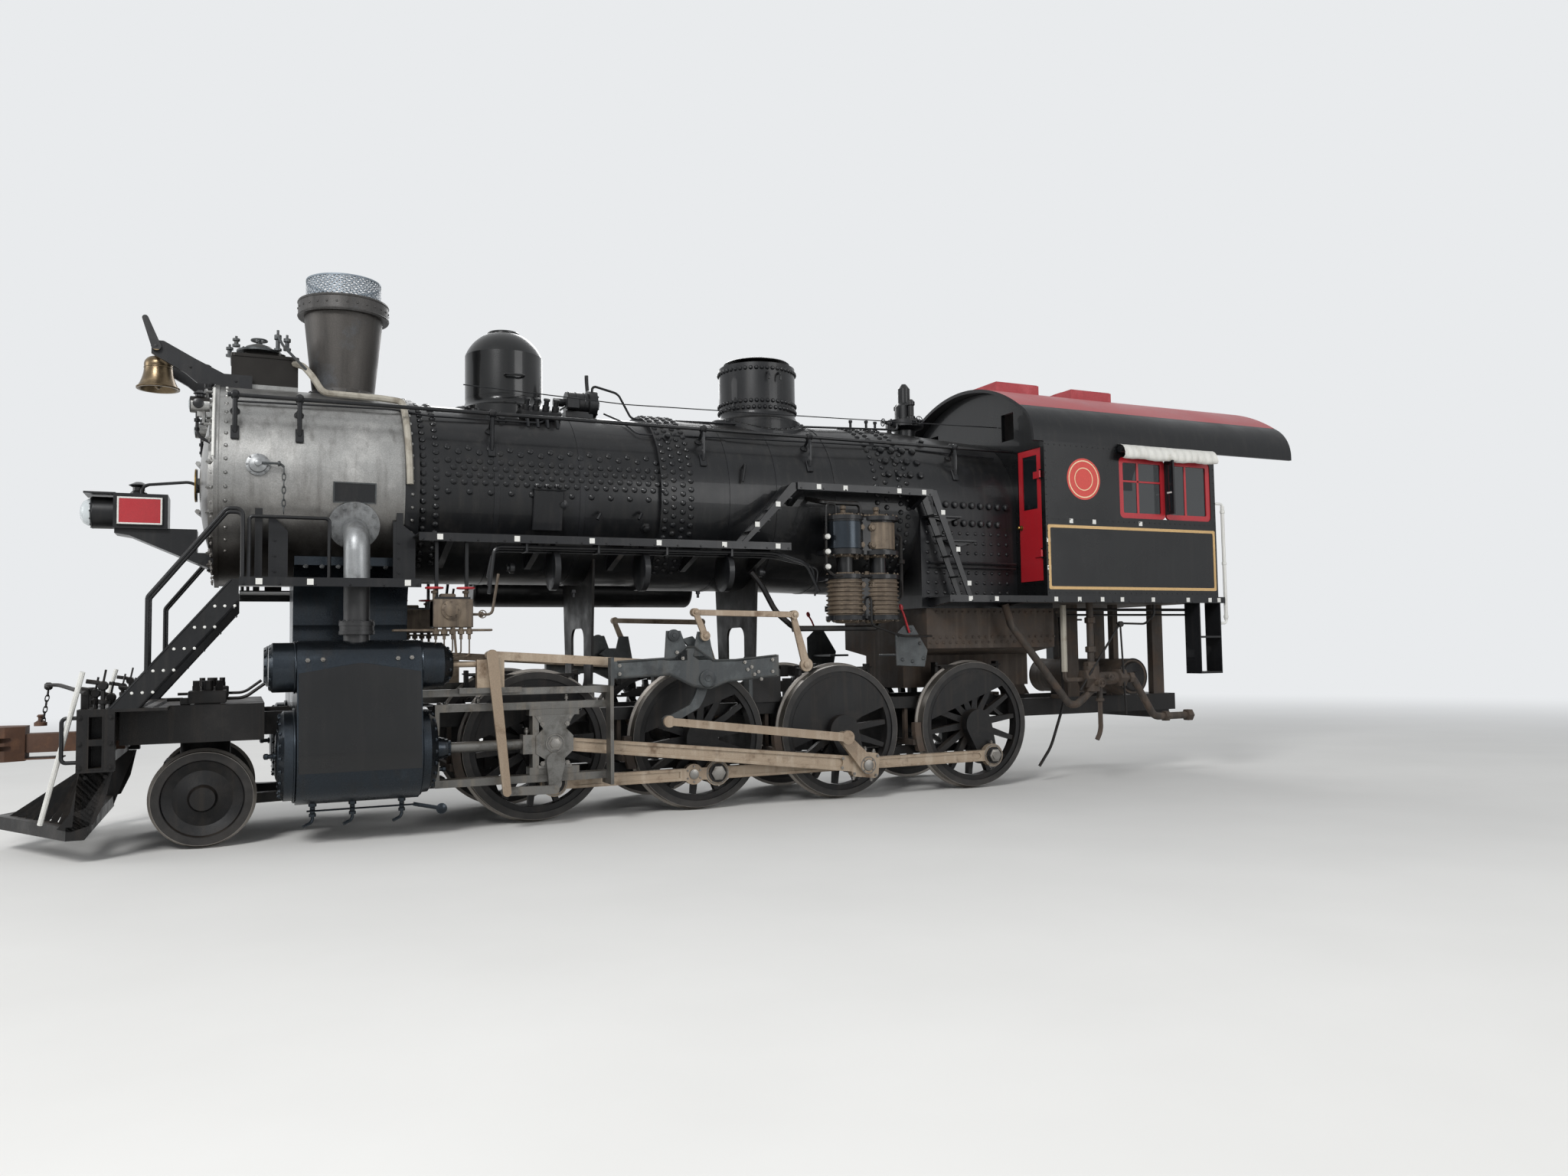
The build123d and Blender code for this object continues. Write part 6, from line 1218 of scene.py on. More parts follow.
def deck_tread(sizes):
    """Raised lozenges of the tread plate on the deck and boards."""
    bar = plate([(-0.03, -0.006), (0.03, -0.006), (0.036, 0), (0.03, 0.006), (-0.03, 0.006), (-0.036, 0)],
        0.003, "xy")
    spots = []
    rows = ((-3.78, -3.2, -1.32, 1.32, 1.253), (-2.62, -1.2, -1.45, -1.0, 2.33), (-2.62, -1.2, 1.0, 1.45, 2.33),
        (-1.15, 2.5, -1.3, -1.0, 2.765), (-1.15, 2.5, 1.0, 1.3, 2.765), (2.68, 4.28, -1.3, -1.06, 3.41),
        (2.68, 4.28, 1.06, 1.3, 3.41))
    for x0, x1, y0, y1, z in rows:
        columns, lanes = int((x1 - x0) / sizes.tread_pitch), int((y1 - y0) / sizes.tread_pitch)
        for column in range(columns):
            for lane in range(lanes):
                turn = 1 if (column + lane) % 2 else -1
                spots.append(((x0 + (column + 0.5) * sizes.tread_pitch,
                    y0 + (lane + 0.5) * sizes.tread_pitch, z), turn))
    made = [twin(bar, Matrix.Translation(Vector(point)) @ Matrix.Rotation(turn * math.pi / 4, 4, "Z")) for point,
        turn in spots]
    bpy.data.objects.remove(bar)
    finish(made, "tread_plate", "enamel")


# ---------------------------------------------------------------- front end
def front_end(sizes):
    """Coupler lift lever and chain, beam rivets, bolts on the beam's end castings and pilot."""
    parts = [pipe([(-3.76, -1.28, 1.386), (-4.02, -0.66, 1.445), (-4.12, -0.56, 1.445), (-4.14, -0.3, 1.43)], 0.017,
        0.05), turned(mm(20, -30, 34, -15, 34, 15, 20, 30), (-4.14, -0.3, 1.43), ASTERN,
        14), *[block((-3.8, y - 0.02, 1.228), (-3.74, y + 0.02, 1.42), 0.006) for y in (-1.2, -0.75)]]
    parts += chain((-4.14, -0.3, 1.4), (-4.2, -0.12, 1.1), 0.02)
    finish(parts, "coupler_lift_lever", "oily")

    lock = [turned(mm(50, 0, 50, 30, 35, 40, 20, 50, 20, 75, 32, 85, 20, 100), (-4.22, -0.1, 1.08), UP, 14)]
    lock.append(turned(mm(34, 0, 34, 12, 20, 18), (-4.61, 0.118, 1.08), UP, 16))
    lock += [block((-4.33, -0.15, 0.79), (-4.05, 0.12, 0.8), 0.01, 2)]
    finish(lock, "coupler_lock", "coupler")

    spots = []
    for z in (0.79, 1.19):
        for step in range(26):
            y = -1.26 + 2.52 * step / 25
            if abs(y) > 0.16:
                spots.append(((-3.812, y, z), AHEAD))
    rivets = copies(rivet(0.014, 0.01), spots)
    ends = [((x, 1.35, z), OUT) for z in (0.79, 0.98, 1.19) for x in (-3.79, -3.575)]
    plates = copies(nut(0.018, 0.016), ends)
    plates.append(plate([(-3.735, 0.77), (-3.625, 0.77), (-3.625, 1.205), (-3.735, 1.205)], 0.008, "xz", 1.346,
        holes=([(-3.726, 0.78), (-3.634, 0.78), (-3.634, 0.962), (-3.726, 0.962)], [(-3.726, 1.012), (-3.634, 1.012),
        (-3.634, 1.195), (-3.726, 1.195)])))
    # Plate that tapers from the beam's end down to the pilot
    outline = [(-3.8, 0.748), (-3.57, 0.748), (-3.62, 0.5), (-3.7, 0.32), (-3.86, 0.27), (-3.95, 0.3), (-3.86, 0.42)]
    plates.append(plate(outline, 0.014, "xz", 1.186))
    plates += copies(nut(0.017, 0.015), [((x, 1.2, z), OUT) for x, z in ((-3.76, 0.7), (-3.62, 0.7), (-3.72, 0.42))])
    rivets += both(plates)
    # Coupler pocket's casting and its bolts
    rivets.append(plate([(-0.2, 0.78), (0.2, 0.78), (0.2, 1.08), (-0.2, 1.08)], -0.03, "yz", -3.812,
        holes=([(-0.112, 0.842), (0.112, 0.842), (0.112, 1.018), (-0.112, 1.018)],)))
    rivets += copies(nut(0.018, 0.016), [((-3.842, y, z), AHEAD) for y in (-0.16, 0.16) for z in (0.82, 0.93, 1.04)])
    finish(rivets, "beam_rivets", "oily")


# ---------------------------------------------------------------- cylinders and valve chests
def cylinder_trim(sizes):
    """Lagging sheets, screws, cover bolts, cocks and valves of the cylinders."""
    screws = []
    # Upper lagging sheet over the valve chest, its lower edge a shallow inverted vee
    centre, rows = Vector((0, VALVE_Y, VALVE_Z)), []
    stations = [-2.186 + 1.007 * step / 16 for step in range(17)]
    for station in stations:
        share = 1 - abs(station + 1.68) / 0.507
        low = math.radians(100 - 18 * share)
        row = []
        for step in range(13):
            angle = -math.radians(62) + (low + math.radians(62)) * step / 12
            row.append((station, centre.y + 0.2295 * math.sin(angle), centre.z + 0.2295 * math.cos(angle)))
        rows.append(row)
    lagging = sheet(rows, 0.004)
    for station, z in ((-2.114, 1.617), (-1.992, 1.622), (-1.375, 1.624), (-1.258, 1.629)):
        screws.append(((station, 1.4275, z), Vector((0, 1, 0.25)).normalized()))
    for end in (-2.176, -1.188):
        for z in (1.44, 1.36, 1.26, 1.15, 1.04, 0.94, 0.83, 0.72):
            y = 1.52 if z < 1.0 else 1.52 - 0.105 * (z - 0.9)
            screws.append(((end, y - 0.006, z), OUT))
    finish(both([lagging]), "valve_chest_lagging", "planished")
    rows = []
    for step in range(9):
        share = step / 8
        station = -2.185 + 1.005 * share
        peak = 1.508 + 0.085 * (1 - abs(2 * share - 1))
        heights = [0.66 + (peak - 0.66) * level / 8 for level in range(9)]
        rows.append([(station, (1.524 if z < 0.9 else 1.524 - 0.105 * (z - 0.9)), z) for z in heights])
    finish(both([sheet(rows, 0.004)]), "cylinder_panels", "cab_black")
    finish(both(copies(nut(0.02, 0.018), screws[:4])), "lagging_bolts", "bright")
    finish(both(copies(rivet(0.011, 0.008), screws[4:])), "lagging_screws", "planished")

    bolts = ring((CYLINDER_FRONT - 0.12, PISTON_Y, PISTON_Z), AHEAD, 0.352, 20)
    bolts += ring((CYLINDER_FRONT - 0.2, VALVE_Y, VALVE_Z), AHEAD, 0.185, 12)
    bolts += ring((CYLINDER_REAR + 0.118, PISTON_Y, PISTON_Z), ASTERN, 0.335, 20)
    bolts += ring((CYLINDER_REAR + 0.25, VALVE_Y, VALVE_Z), ASTERN, 0.15, 10)
    finish(both(copies(nut(0.017, 0.016), bolts)), "cover_nuts", "planished")

    parts = []
    # Raised rims and crowns of the covers
    parts += [
        turned(mm(220, 0, 220, 8, 190, 20, 50, 24), (CYLINDER_FRONT - 0.138, PISTON_Y, PISTON_Z), AHEAD, 40),
        hoop(0.402, 0.012, (CYLINDER_FRONT - 0.012, PISTON_Y, PISTON_Z), AHEAD, 64),
        hoop(0.402, 0.012, (CYLINDER_REAR + 0.012, PISTON_Y, PISTON_Z), AHEAD, 64),
        hoop(0.219, 0.01, (CYLINDER_FRONT - 0.012, VALVE_Y, VALVE_Z), AHEAD, 48),
        hoop(0.219, 0.01, (CYLINDER_REAR + 0.012, VALVE_Y, VALVE_Z), AHEAD, 48),
    ]
    # Relief valves, drain cocks and their rod
    for station, axis in ((-2.34, -1), (-1.02, 1)):
        parts.append(turned(mm(30, 0, 30, 30, 20, 36, 20, 70, 26, 75, 26, 100, 12, 110),
            (station, 1.1, 0.79 if axis < 0 else 0.6), (axis, 0, 0), 12))
    for station in (-2.05, -1.72, -1.3):
        parts += [
            turned(mm(34, 0, 34, -30, 22, -36, 22, -90, 30, -95, 30, -120), (station, 1.09, 0.366), UP, 12),
            pipe([(station, 1.09, 0.27), (station, 1.09, 0.2), (station - 0.08, 1.14, 0.17)], 0.014, 0.03),
        ]
    parts += [
        pipe([(-2.1, 1.13, 0.3), (-1.2, 1.13, 0.3)], 0.009),
        turned(mm(44, 0, 50, 20, 30, 30, 14, 34), (-0.95, 1.08, 0.24), OUT, 14),
        pipe([(-1.2, 1.1, 0.3), (-0.95, 1.08, 0.24)], 0.02),
    ]
    # Packing gland of the piston rod and its studs
    parts.append(turned(mm(85, 0, 85, 30, 70, 40, 70, 55), (-0.929, PISTON_Y, PISTON_Z), ASTERN, 24))
    parts += copies(nut(0.014, 0.02), ring((-0.899, PISTON_Y, PISTON_Z), ASTERN, 0.078, 4, 45))
    finish(both(parts), "cylinder_cocks", "planished")

    # Flanges and bolts round the steam pipe, where it enters the chest
    parts = []
    base = Vector((-1.7, 1.19, 1.84))
    for z in (0.0, 0.075):
        parts.append(turned(mm(125, 0, 152, 4, 152, 34, 125, 38), base + Vector((0, 0, z)), UP, 32))
    parts += copies(nut(0.016, 0.016), ring(base + Vector((0, 0, 0.113)), UP, 0.137, 10))
    elbow = Vector((-1.7, 0.9, 2.845))
    tilt = Vector((0, 1, -0.35)).normalized()
    parts.append(turned(mm(150, -35, 225, -30, 225, 12, 160, 20), elbow - tilt * 0.02, tilt, 36))
    parts += copies(nut(0.02, 0.02), ring(elbow - tilt * 0.008, tilt, 0.195, 12))
    parts += copies(nut(0.022, 0.02),
        [((-2.1 + 0.14 * step, 0.66, 2.478), Vector((0, 0.55, 0.83)).normalized()) for step in range(7)])
    finish(both(parts), "steam_pipe_flanges", "silver")


def lubricator(sizes):
    """Mechanical lubricator: dial, red handwheels, feeds and shelf."""
    parts, wheels, feeds = [], [], []
    parts += [
        block((-1.06, 1.21 - 0.1, 1.9), (-0.7, 1.21 + 0.1, 2.16), 0.014, 2),
        turned(mm(85, 0, 85, 20, 60, 28, 60, 45, 30, 55), (-0.905, 1.312, 2.06), OUT, 28),
    ]
    parts += copies(nut(0.01, 0.009), ring((-0.905, 1.332, 2.06), OUT, 0.073, 8))
    parts.append(block((-0.99, 1.22 - 0.05, 2.16), (-0.85, 1.22 + 0.05, 2.21), 0.01))
    for station in (-1.04, -0.76):
        parts.append(turned(mm(16, 0, 16, 50, 30, 55, 30, 75, 10, 80, 10, 110), (station, 1.25, 2.16), UP, 10))
        wheels += handwheel((station, 1.25, 2.262), UP, 0.075)
    for step in range(5):
        x = -1.03 + 0.075 * step
        feeds += [
            turned(mm(20, 0, 20, -30, 30, -34, 30, -60, 14, -66, 14, -110), (x, 1.27, 1.9), UP, 10),
            pipe([(x, 1.27, 1.8), (x, 1.27, 1.7 - 0.015 * step), (x - 0.3, 1.24, 1.66 - 0.015 * step)], 0.007, 0.03),
        ]
    feeds += globe_valve((-0.62, 1.25, 2.02), OUT, 0.026)
    feeds.append(pipe([(-0.7, 1.25, 2.02), (-0.52, 1.25, 2.02), (-0.46, 1.25, 2.4)], 0.014, 0.04))
    parts += [
        block((-1.4, 1.22 - 0.06, 1.865), (-0.52, 1.22 + 0.06, 1.885), 0.004),
        pipe([(-0.88, 1.34, 1.9), (-0.86, 1.34, 1.66)], 0.012),
    ]
    finish(both(parts), "lubricator_case", "tan")
    finish(both(wheels), "lubricator_wheels", "red")
    finish(both(feeds), "lubricator_feeds", "tan")


# ---------------------------------------------------------------- rods and valve gear
def rod_fittings(sizes):
    """Oil cups, bolts and pin caps of the side rods, main rods and crossheads."""
    for side in SIDES:
        name, out = SIDE_NAMES[side], Vector((0, side, 0))
        parts, spots = [], []
        for driver in range(1, 5):
            x, z = pin(driver, side)
            parts += [
                oil_cup((x, side * 0.949, z + 0.12), 0.018),
                hoop(0.117, 0.006, (x, side * 0.986, z), out, 40, 6),
            ]
            spots += ring((x, side * 0.986, z), out, 0.1, 6, 30)
        x, z = pin(2, side)
        knuckle = Vector((x - 0.261, side * 0.986, z))
        parts.append(turned(mm(50, 0, 50, 10, 30, 14), knuckle, out, 24))
        spots += ring(knuckle, out, 0.078, 6)
        parts += copies(nut(0.011, 0.009), spots)
        finish(parts, "side_rod_fittings_%s" % name, "bright", "side_rod_%s" % name)

        caps = {1: [(0.07, 0), (0.066, 0.005)], 2: [(0.078, 0), (0.078, 0.018), (0.05, 0.022)],
            4: [(0.078, 0), (0.078, 0.03), (0.05, 0.034), (0.05, 0.046)]}
        for driver, profile in caps.items():
            x, z = pin(driver, side)
            cap = turned(profile, (x, side * 1.003, z), out, 24 if driver == 1 else 6)
            finish([cap], "crank_nut_%d_%s" % (driver, name), "bright", "driver_%d" % driver)

        x, z = pin(3, side)
        slope = math.atan2(z - 0.79, x - wrist(side))
        run, rise = Vector((math.cos(slope), 0, math.sin(slope))), Vector((-math.sin(slope), 0, math.cos(slope)))
        big_end = Vector((x, side * 1.128, z))
        spots = [(big_end + run * a + rise * b, out) for a in (-0.135, 0.135) for b in (-0.105, 0.105)]
        spots += [(big_end - run * 0.29 + rise * b, out) for b in (-0.05, 0.05)]
        parts = copies(nut(0.018, 0.012), spots)
        for a in (-0.11, 0.11):
            parts += [
                turned(mm(24, 0, 24, 20, 14, 20, 14, 40), big_end + run * a + rise * 0.135 - out * 0.05, rise, 6),
                turned(mm(24, 0, 24, 20, 14, 20, 14, 40), big_end + run * a - rise * 0.135 - out * 0.05, -rise, 6),
            ]
        parts += [
            oil_cup(big_end + rise * 0.133 - out * 0.045, 0.022),
            hoop(0.088, 0.006, (x, side * 1.186, z), out, 36, 6),
            turned(mm(62, 0, 58, 10, 30, 14), (x, side * 1.186, z), out, 24),
        ]
        parts += copies(nut(0.01, 0.009), ring((x, side * 1.187, z), out, 0.074, 4, 45))
        finish(parts, "main_rod_fittings_%s" % name, "bright", "main_rod_%s" % name)

        x = wrist(side)
        face = side * 1.18
        parts = copies(nut(0.024, 0.016),
            [((x + a, face, 0.79 + b), out) for a in (-0.12, 0.12) for b in (-0.185, 0.185)])
        parts += [
            turned(mm(70, 0, 70, 6, 52, 6, 52, 22, 30, 26), (x, face, 0.79), out, 6),
            hoop(0.085, 0.006, (x, face, 0.79), out, 36, 6),
            oil_cup((x - 0.25, side * 1.09, 0.879), 0.024),
        ]
        parts += copies(nut(0.016, 0.014),
            [((x + a, face - side * 0.01, z), out) for a in (-0.15, 0.15) for z in (1.035, 0.575)])
        finish(parts, "crosshead_fittings_%s" % name, "bright", "crosshead_%s" % name)


def valve_gear_trim(sizes):
    """Bosses, ribs, splice bolts and pins of the valve gear's frame and guides."""
    frames, bolts = [], []
    face = 1.34
    frames += [
        plate([(1.15, 1.56), (1.17, 1.85), (1.31, 1.85), (1.38, 1.66), (1.38, 1.56)], -0.03, "xz", face, 0.004),
        plate([(1.44, 1.6), (1.5, 1.84), (1.61, 1.84), (1.66, 1.56), (1.5, 1.56)], -0.03, "xz", face, 0.004),
    ]
    for station, z, radius in ((1.239, 1.808, 0.06), (1.555, 1.791, 0.05), (1.592, 1.373, 0.085)):
        frames.append(turned([(radius, -0.02), (radius, 0.018), (radius * 0.85, 0.024), (radius * 0.4, 0.024),
            (radius * 0.35, 0.03)], (station, face, z), OUT, 24))
    top = [(0.66, 1.555), (1.24, 1.585), (1.37, 1.69), (1.45, 1.69), (1.655, 1.552), (1.9, 1.552), (2.36, 1.592)]
    low = [(0.66, 1.405), (1.2, 1.425), (1.44, 1.306), (1.62, 1.278), (1.82, 1.346), (2.36, 1.388)]
    for line in (top, low):
        frames.append(pipe([(station, face, z) for station, z in line], 0.013, sides=4))
    spots = [(2.0 + 0.075 * step + 0.03 * row,
        1.53 - 0.05 * step - 0.075 * row) for step in range(3) for row in range(2)]
    spots += [(0.68, 1.44), (0.68, 1.52), (2.31, 1.43), (2.31, 1.55), (1.27, 1.64), (1.33, 1.58)]
    bolts += [((station, face, z), OUT) for station, z in spots]
    bolts += [((station, y, 1.19), UP) for station in (-0.97, -0.92, 0.52, 0.58) for y in (1.05, 1.13)]
    # Reversing arm, its rod forward to the link's hanger, and the hanger
    swing = []
    for (x0, z0, r0), (x1, z1, r1), y in (((2.565, 2.013, 0.045), (2.71, 1.49, 0.07), 1.3),
            ((1.455, 2.036, 0.042), (2.565, 2.013, 0.045), 1.335), ((1.455, 2.036, 0.04), (1.555, 1.8, 0.05), 1.37)):
        run = Vector((x1 - x0, z1 - z0)).normalized()
        aside = Vector((-run.y, run.x))
        ends = [(x0 + aside.x * r0 * 0.6, z0 + aside.y * r0 * 0.6),
            (x1 + aside.x * r1 * 0.6, z1 + aside.y * r1 * 0.6), (x1 - aside.x * r1 * 0.6, z1 - aside.y * r1 * 0.6),
            (x0 - aside.x * r0 * 0.6, z0 - aside.y * r0 * 0.6)]
        swing.append(plate([(x, z) for x, z in ends], 0.028, "xz", y, 0.004))
        for x, z, radius in ((x0, z0, r0), (x1, z1, r1)):
            swing += [
                turned([(radius, -0.018), (radius, 0.018)], (x, y + 0.014, z), OUT, 20),
                turned([(radius * 0.55, 0), (radius * 0.55, 0.014), (radius * 0.3, 0.018)],
                    (x, y + 0.032, z), OUT, 6),
            ]
    finish_pair(swing, "reversing_rods_%s", "rod")
    finish(both(frames), "gear_frame_bosses", "casting")
    nuts = copies(nut(0.019, 0.017), bolts)
    nuts += [oil_cup((station, 1.09, 1.19), 0.022) for station in (-0.62, 0.22)]
    finish(both(nuts), "gear_frame_bolts", "bright")


def frame_trim(sizes):
    """Leaf springs over the driving boxes, and the bracket plates behind the third driver."""
    leaves = []
    for station in DRIVER_STATIONS:
        for leaf in range(6):
            half = 0.46 - 0.06 * leaf
            z = 1.44 - 0.018 * leaf
            leaves.append(block((station - half, 0.68 - 0.045, z - 0.008),
                (station + half, 0.68 + 0.045, z + 0.008), 0.003))
        leaves.append(block((station - 0.055, 0.68 - 0.055, 1.325), (station + 0.055, 0.68 + 0.055, 1.46), 0.006))
        for end in (-0.43, 0.43):
            leaves.append(block((station + end - 0.02, 0.64 - 0.05, 1.28), (station + end + 0.02, 0.64 + 0.05,
                1.48), 0.004))
    finish(both(leaves), "leaf_springs", "oily")

    parts, levers = [], []
    outline = [(3.94, 1.46), (4.3, 1.44), (4.34, 1.62), (4.16, 1.9), (4.04, 1.9), (3.93, 1.8)]
    parts.append(plate(outline, 0.016, "xz", 1.09, 0.003))
    spots = [(3.97, 1.79), (4.28, 1.53), (4.12, 1.85), (4.01, 1.52), (4.24, 1.7), (4.14, 1.5)]
    parts += copies(rivet(0.022, 0.016), [((x, 1.106, z), OUT) for x, z in spots])
    parts.append(block((4.0, 0.6, 1.56), (4.26, 1.092, 1.585), 0.004))
    levers += [
        pipe([(4.1, 1.12, 1.82), (4.02, 1.14, 2.02), (3.98, 1.15, 2.09)], 0.012),
        turned(mm(12, 0, 24, 20, 24, 50, 10, 70), (3.99, 1.15, 2.07), (-0.4, 0, 1), 10),
    ]
    finish(both(parts), "frame_brackets", "casting")
    finish(both(levers), "frame_levers", "red")


def compressor_trim(sizes):
    """Jackets, cylinder heads, valve caps and pipes of the air compressor."""
    y, tan, studs, dark = -1.24, [], [], []
    for station, upper, lower in ((3.23, 0.2, 0.185), (3.64, 0.185, 0.205)):
        x = station
        jacket = turned([(upper, 0), (upper + 0.006, 0.006), (upper + 0.006, 0.29), (upper, 0.296)],
            (x, y, 2.716), UP, 40)
        (dark if station < 3.5 else tan).append(jacket)
        ribs = [(lower + 0.001, 0)]
        for step in range(8):
            base = 0.01 + 0.047 * step
            ribs += [(lower + 0.002, base), (lower + 0.022, base + 0.008), (lower + 0.022, base + 0.018),
                (lower + 0.002, base + 0.026)]
        tan += [
            turned(ribs + [(lower + 0.001, 0.385)], (x, y, 2.008), UP, 40),
            turned(mm(140, 0, 140, 12, 100, 30, 50, 36), (x, y, 3.075), UP, 28),
            turned(mm(150, 0, 150, -12, 100, -30, 50, -34), (x, y, 1.956), UP, 28),
            turned(mm(100, 0, 100, 30, 75, 40, 75, 190, 100, 200, 100, 225), (x, y, 2.435), UP, 24),
        ]
        for z, axis in ((3.075, 1), (2.656, -1), (2.444, 1), (1.956, -1)):
            studs += ring((x, y, z), (0, 0, axis), lower + 0.01, 14, 12)
        tan.append(turned(mm(30, 0, 30, 20, 20, 30, 34, 40, 34, 70, 14, 80),
            (x - 0.03, y - upper * 0.2, 3.11), UP, 10))
    for station in (3.37, 3.5):
        for z, axis in ((3.06, 1), (2.66, -1), (2.44, 1), (1.97, -1)):
            tan.append(turned(mm(42, 0, 42, 20, 30, 26, 30, 45, 12, 50), (station, y, z), (0, 0, axis), 6))
        for z in (2.08, 2.33, 2.76, 2.95):
            tan.append(turned(mm(40, 0, 40, 20, 28, 26, 28, 45), (station, y - 0.12, z), (0, -1, 0), 6))
    finish(dark, "compressor_jacket", "planished")
    finish(tan, "compressor_heads", "tan")
    finish(copies(nut(0.013, 0.014), studs), "compressor_studs", "tan")

    lines = [pipe([(3.43, y, 3.06), (3.43, y, 3.22), (2.98, y, 3.22), (2.92, -0.93, 3.3)], 0.026, 0.05),
        pipe([(3.64, y, 1.93), (3.64, y, 1.87), (2.62, y, 1.87), (2.45, -1.14, 2.05), (2.3, -1.1, 2.35),
        (2.2, -1.08, 2.47)], 0.03, 0.07), pipe([(2.97, -1.32, 2.95), (2.97, -1.32, 2.5), (3.02, -1.4, 2.42),
        (3.45, -1.44, 2.42), (3.45, -1.37, 2.42)], 0.013, 0.04), pipe([(3.1, -1.3, 3.09), (3.1, -1.3, 3.2),
        (2.98, -1.32, 3.2), (2.97, -1.32, 2.86)], 0.012, 0.04), pipe([(3.86, -1.2, 2.9), (3.95, -1.22, 2.9),
        (3.95, -1.22, 2.2), (3.84, -1.24, 2.15)], 0.018, 0.05), pipe([(3.44, -1.37, 2.2), (3.44, -1.43, 2.2),
        (3.44, -1.43, 1.9), (3.9, -1.3, 1.78), (4.4, -1.1, 1.78)], 0.014, 0.05)]
    lines += [union(point, axis, 0.024) for point, axis in (((3.43, y, 3.1), UP), ((2.62, y, 1.87), ASTERN),
        ((3.95, -1.22, 2.6), UP))]
    for z in (2.52, 2.68, 2.84):
        lines.append(turned(mm(28, -30, 36, -20, 36, 20, 28, 30), (2.97, -1.32, z), UP, 10))
    finish(lines, "compressor_pipes", "oily")
    caps = [turned(mm(30, 0, 30, 20, 20, 34), (2.97, -1.32 - 0.03, z), (0, -1, 0), 12) for z in (2.52, 2.68, 2.84)]
    finish(caps, "compressor_valve_caps", "white")


def reservoir_trim(sizes):
    """Bands, end bosses and cocks of the air reservoirs."""
    parts = []
    centre = Vector((0, 1.08, 2.469))
    for station in (0.1, 1.0, 1.9):
        parts += [
            turned(mm(205.5, -30, 211, -28, 211, 28, 205.5, 30), (station, centre.y, centre.z), ASTERN, 40),
            block((station - 0.02, centre.y - 0.03, 2.67), (station + 0.02, centre.y + 0.03, 2.753), 0.004),
        ]
    for station, axis in ((-0.3, -1), (2.3, 1)):
        parts.append(turned(mm(50, -20, 50, 20, 30, 30, 30, 50), (station, centre.y, centre.z), (axis, 0, 0), 12))
    for station in (0.3, 1.6):
        parts.append(turned(mm(24, 0, 24, -30, 14, -34, 14, -70), (station, centre.y, 2.266), UP, 8))
    finish(both(parts), "reservoir_bands", "enamel")


# ---------------------------------------------------------------- firebox sides and below the cab
def firebox_trim(sizes):
    """Mud ring rivets."""
    spots = []
    for row, z in enumerate((1.705, 1.765, 2.055)):
        for step in range(20):
            spots.append(((4.46 + 0.09 * step + 0.045 * row, 0.981, z), OUT))
    finish(both(copies(rivet(0.017, 0.012), spots)), "mud_ring_rivets", "rust")


def injector_trim(sizes):
    """Valves, unions, control rods and levers about the injectors."""
    parts, rods, pale = [], [], []
    y = 1.18
    for station, z, axis, radius in ((6.52, 1.25, ASTERN, 0.075), (7.03, 1.25, ASTERN, 0.075), (6.6, 1.4, UP, 0.06),
            (6.6, 1.6, UP, 0.042), (6.6, 1.95, UP, 0.042), (7.75, 0.76, ASTERN, 0.044), (7.2, 1.25, ASTERN, 0.044),
            (8.12, 0.76, ASTERN, 0.05)):
        parts.append(union((station, y, z), axis, radius * 0.9))
    parts += globe_valve((6.78, y + 0.075, 1.27), OUT, 0.03)
    parts += globe_valve((6.6, y + 0.09, 1.2), OUT, 0.036)
    parts += [
        turned(mm(60, 0, 60, -30, 35, -40, 35, -160, 50, -170, 50, -200), (6.72, y, 1.178), UP, 14),
        pipe([(6.72, y, 1.0), (6.72, y, 0.62), (6.66, y, 0.52)], 0.03, 0.06),
    ]
    rods += [
        pipe([(6.98, 1.27, 1.9), (6.36, 1.26, 1.12)], 0.013),
        pipe([(6.99, 1.27, 1.9), (7.06, 1.25, 0.8)], 0.013),
        pipe([(6.93, 1.28, 1.91), (7.37, 1.28, 1.9), (7.52, 1.28, 2.01), (7.52, 1.28, 2.14)], 0.014, 0.04),
        turned(mm(35, -20, 35, 20), (6.985, 1.28, 1.9), OUT, 14),
    ]
    pale.append(pipe([(6.183, 1.2, 1.34), (6.183, 1.2, 2.13)], 0.036, sides=12))
    parts.append(pipe([(6.183, 1.2, 1.36), (6.183, 1.2, 1.24), (6.45, 1.19, 1.24)], 0.028, 0.05))
    # Sand pipe behind the last driver
    rods.append(pipe([(6.45, 0.8, 2.0), (6.5, 0.78, 0.95), (6.3, 0.76, 0.42), (6.12, 0.76, 0.2)], 0.02, 0.08))
    parts.append(block((6.44, 0.6, 1.0), (6.54, 0.8, 1.05), 0.006))
    finish(both(parts), "injector_valves", "rust")
    finish(both(rods), "injector_rods", "oily")
    finish(both(pale), "injector_pipes", "lagging")

    parts = []
    drum = Vector((7.5, 0.9, 1.25))
    parts += [
        hoop(0.222, 0.008, drum, OUT, 40),
        turned(mm(190, 0, 170, 20, 60, 30, 50, 50), drum, OUT, 32),
    ]
    for low in (1.28, 1.72):
        parts.append(plate([(8.06, 1.5), (8.39, 1.5), (8.39, 1.26), (8.06, 1.26)], 0.004, "xy", low + 0.02, 0.0,
            [circle(8.12 + 0.07 * column, (1.32 + 0.06 * row), 0.02, 10) for column in range(4) for row in range(3)]))
    parts += [
        pipe([(6.3, 1.1, 2.08), (8.3, 1.1, 2.08)], 0.02),
        pipe([(6.3, 1.0, 2.02), (8.3, 1.0, 2.02)], 0.015),
    ]
    finish(both(parts), "cab_underside", "oily")


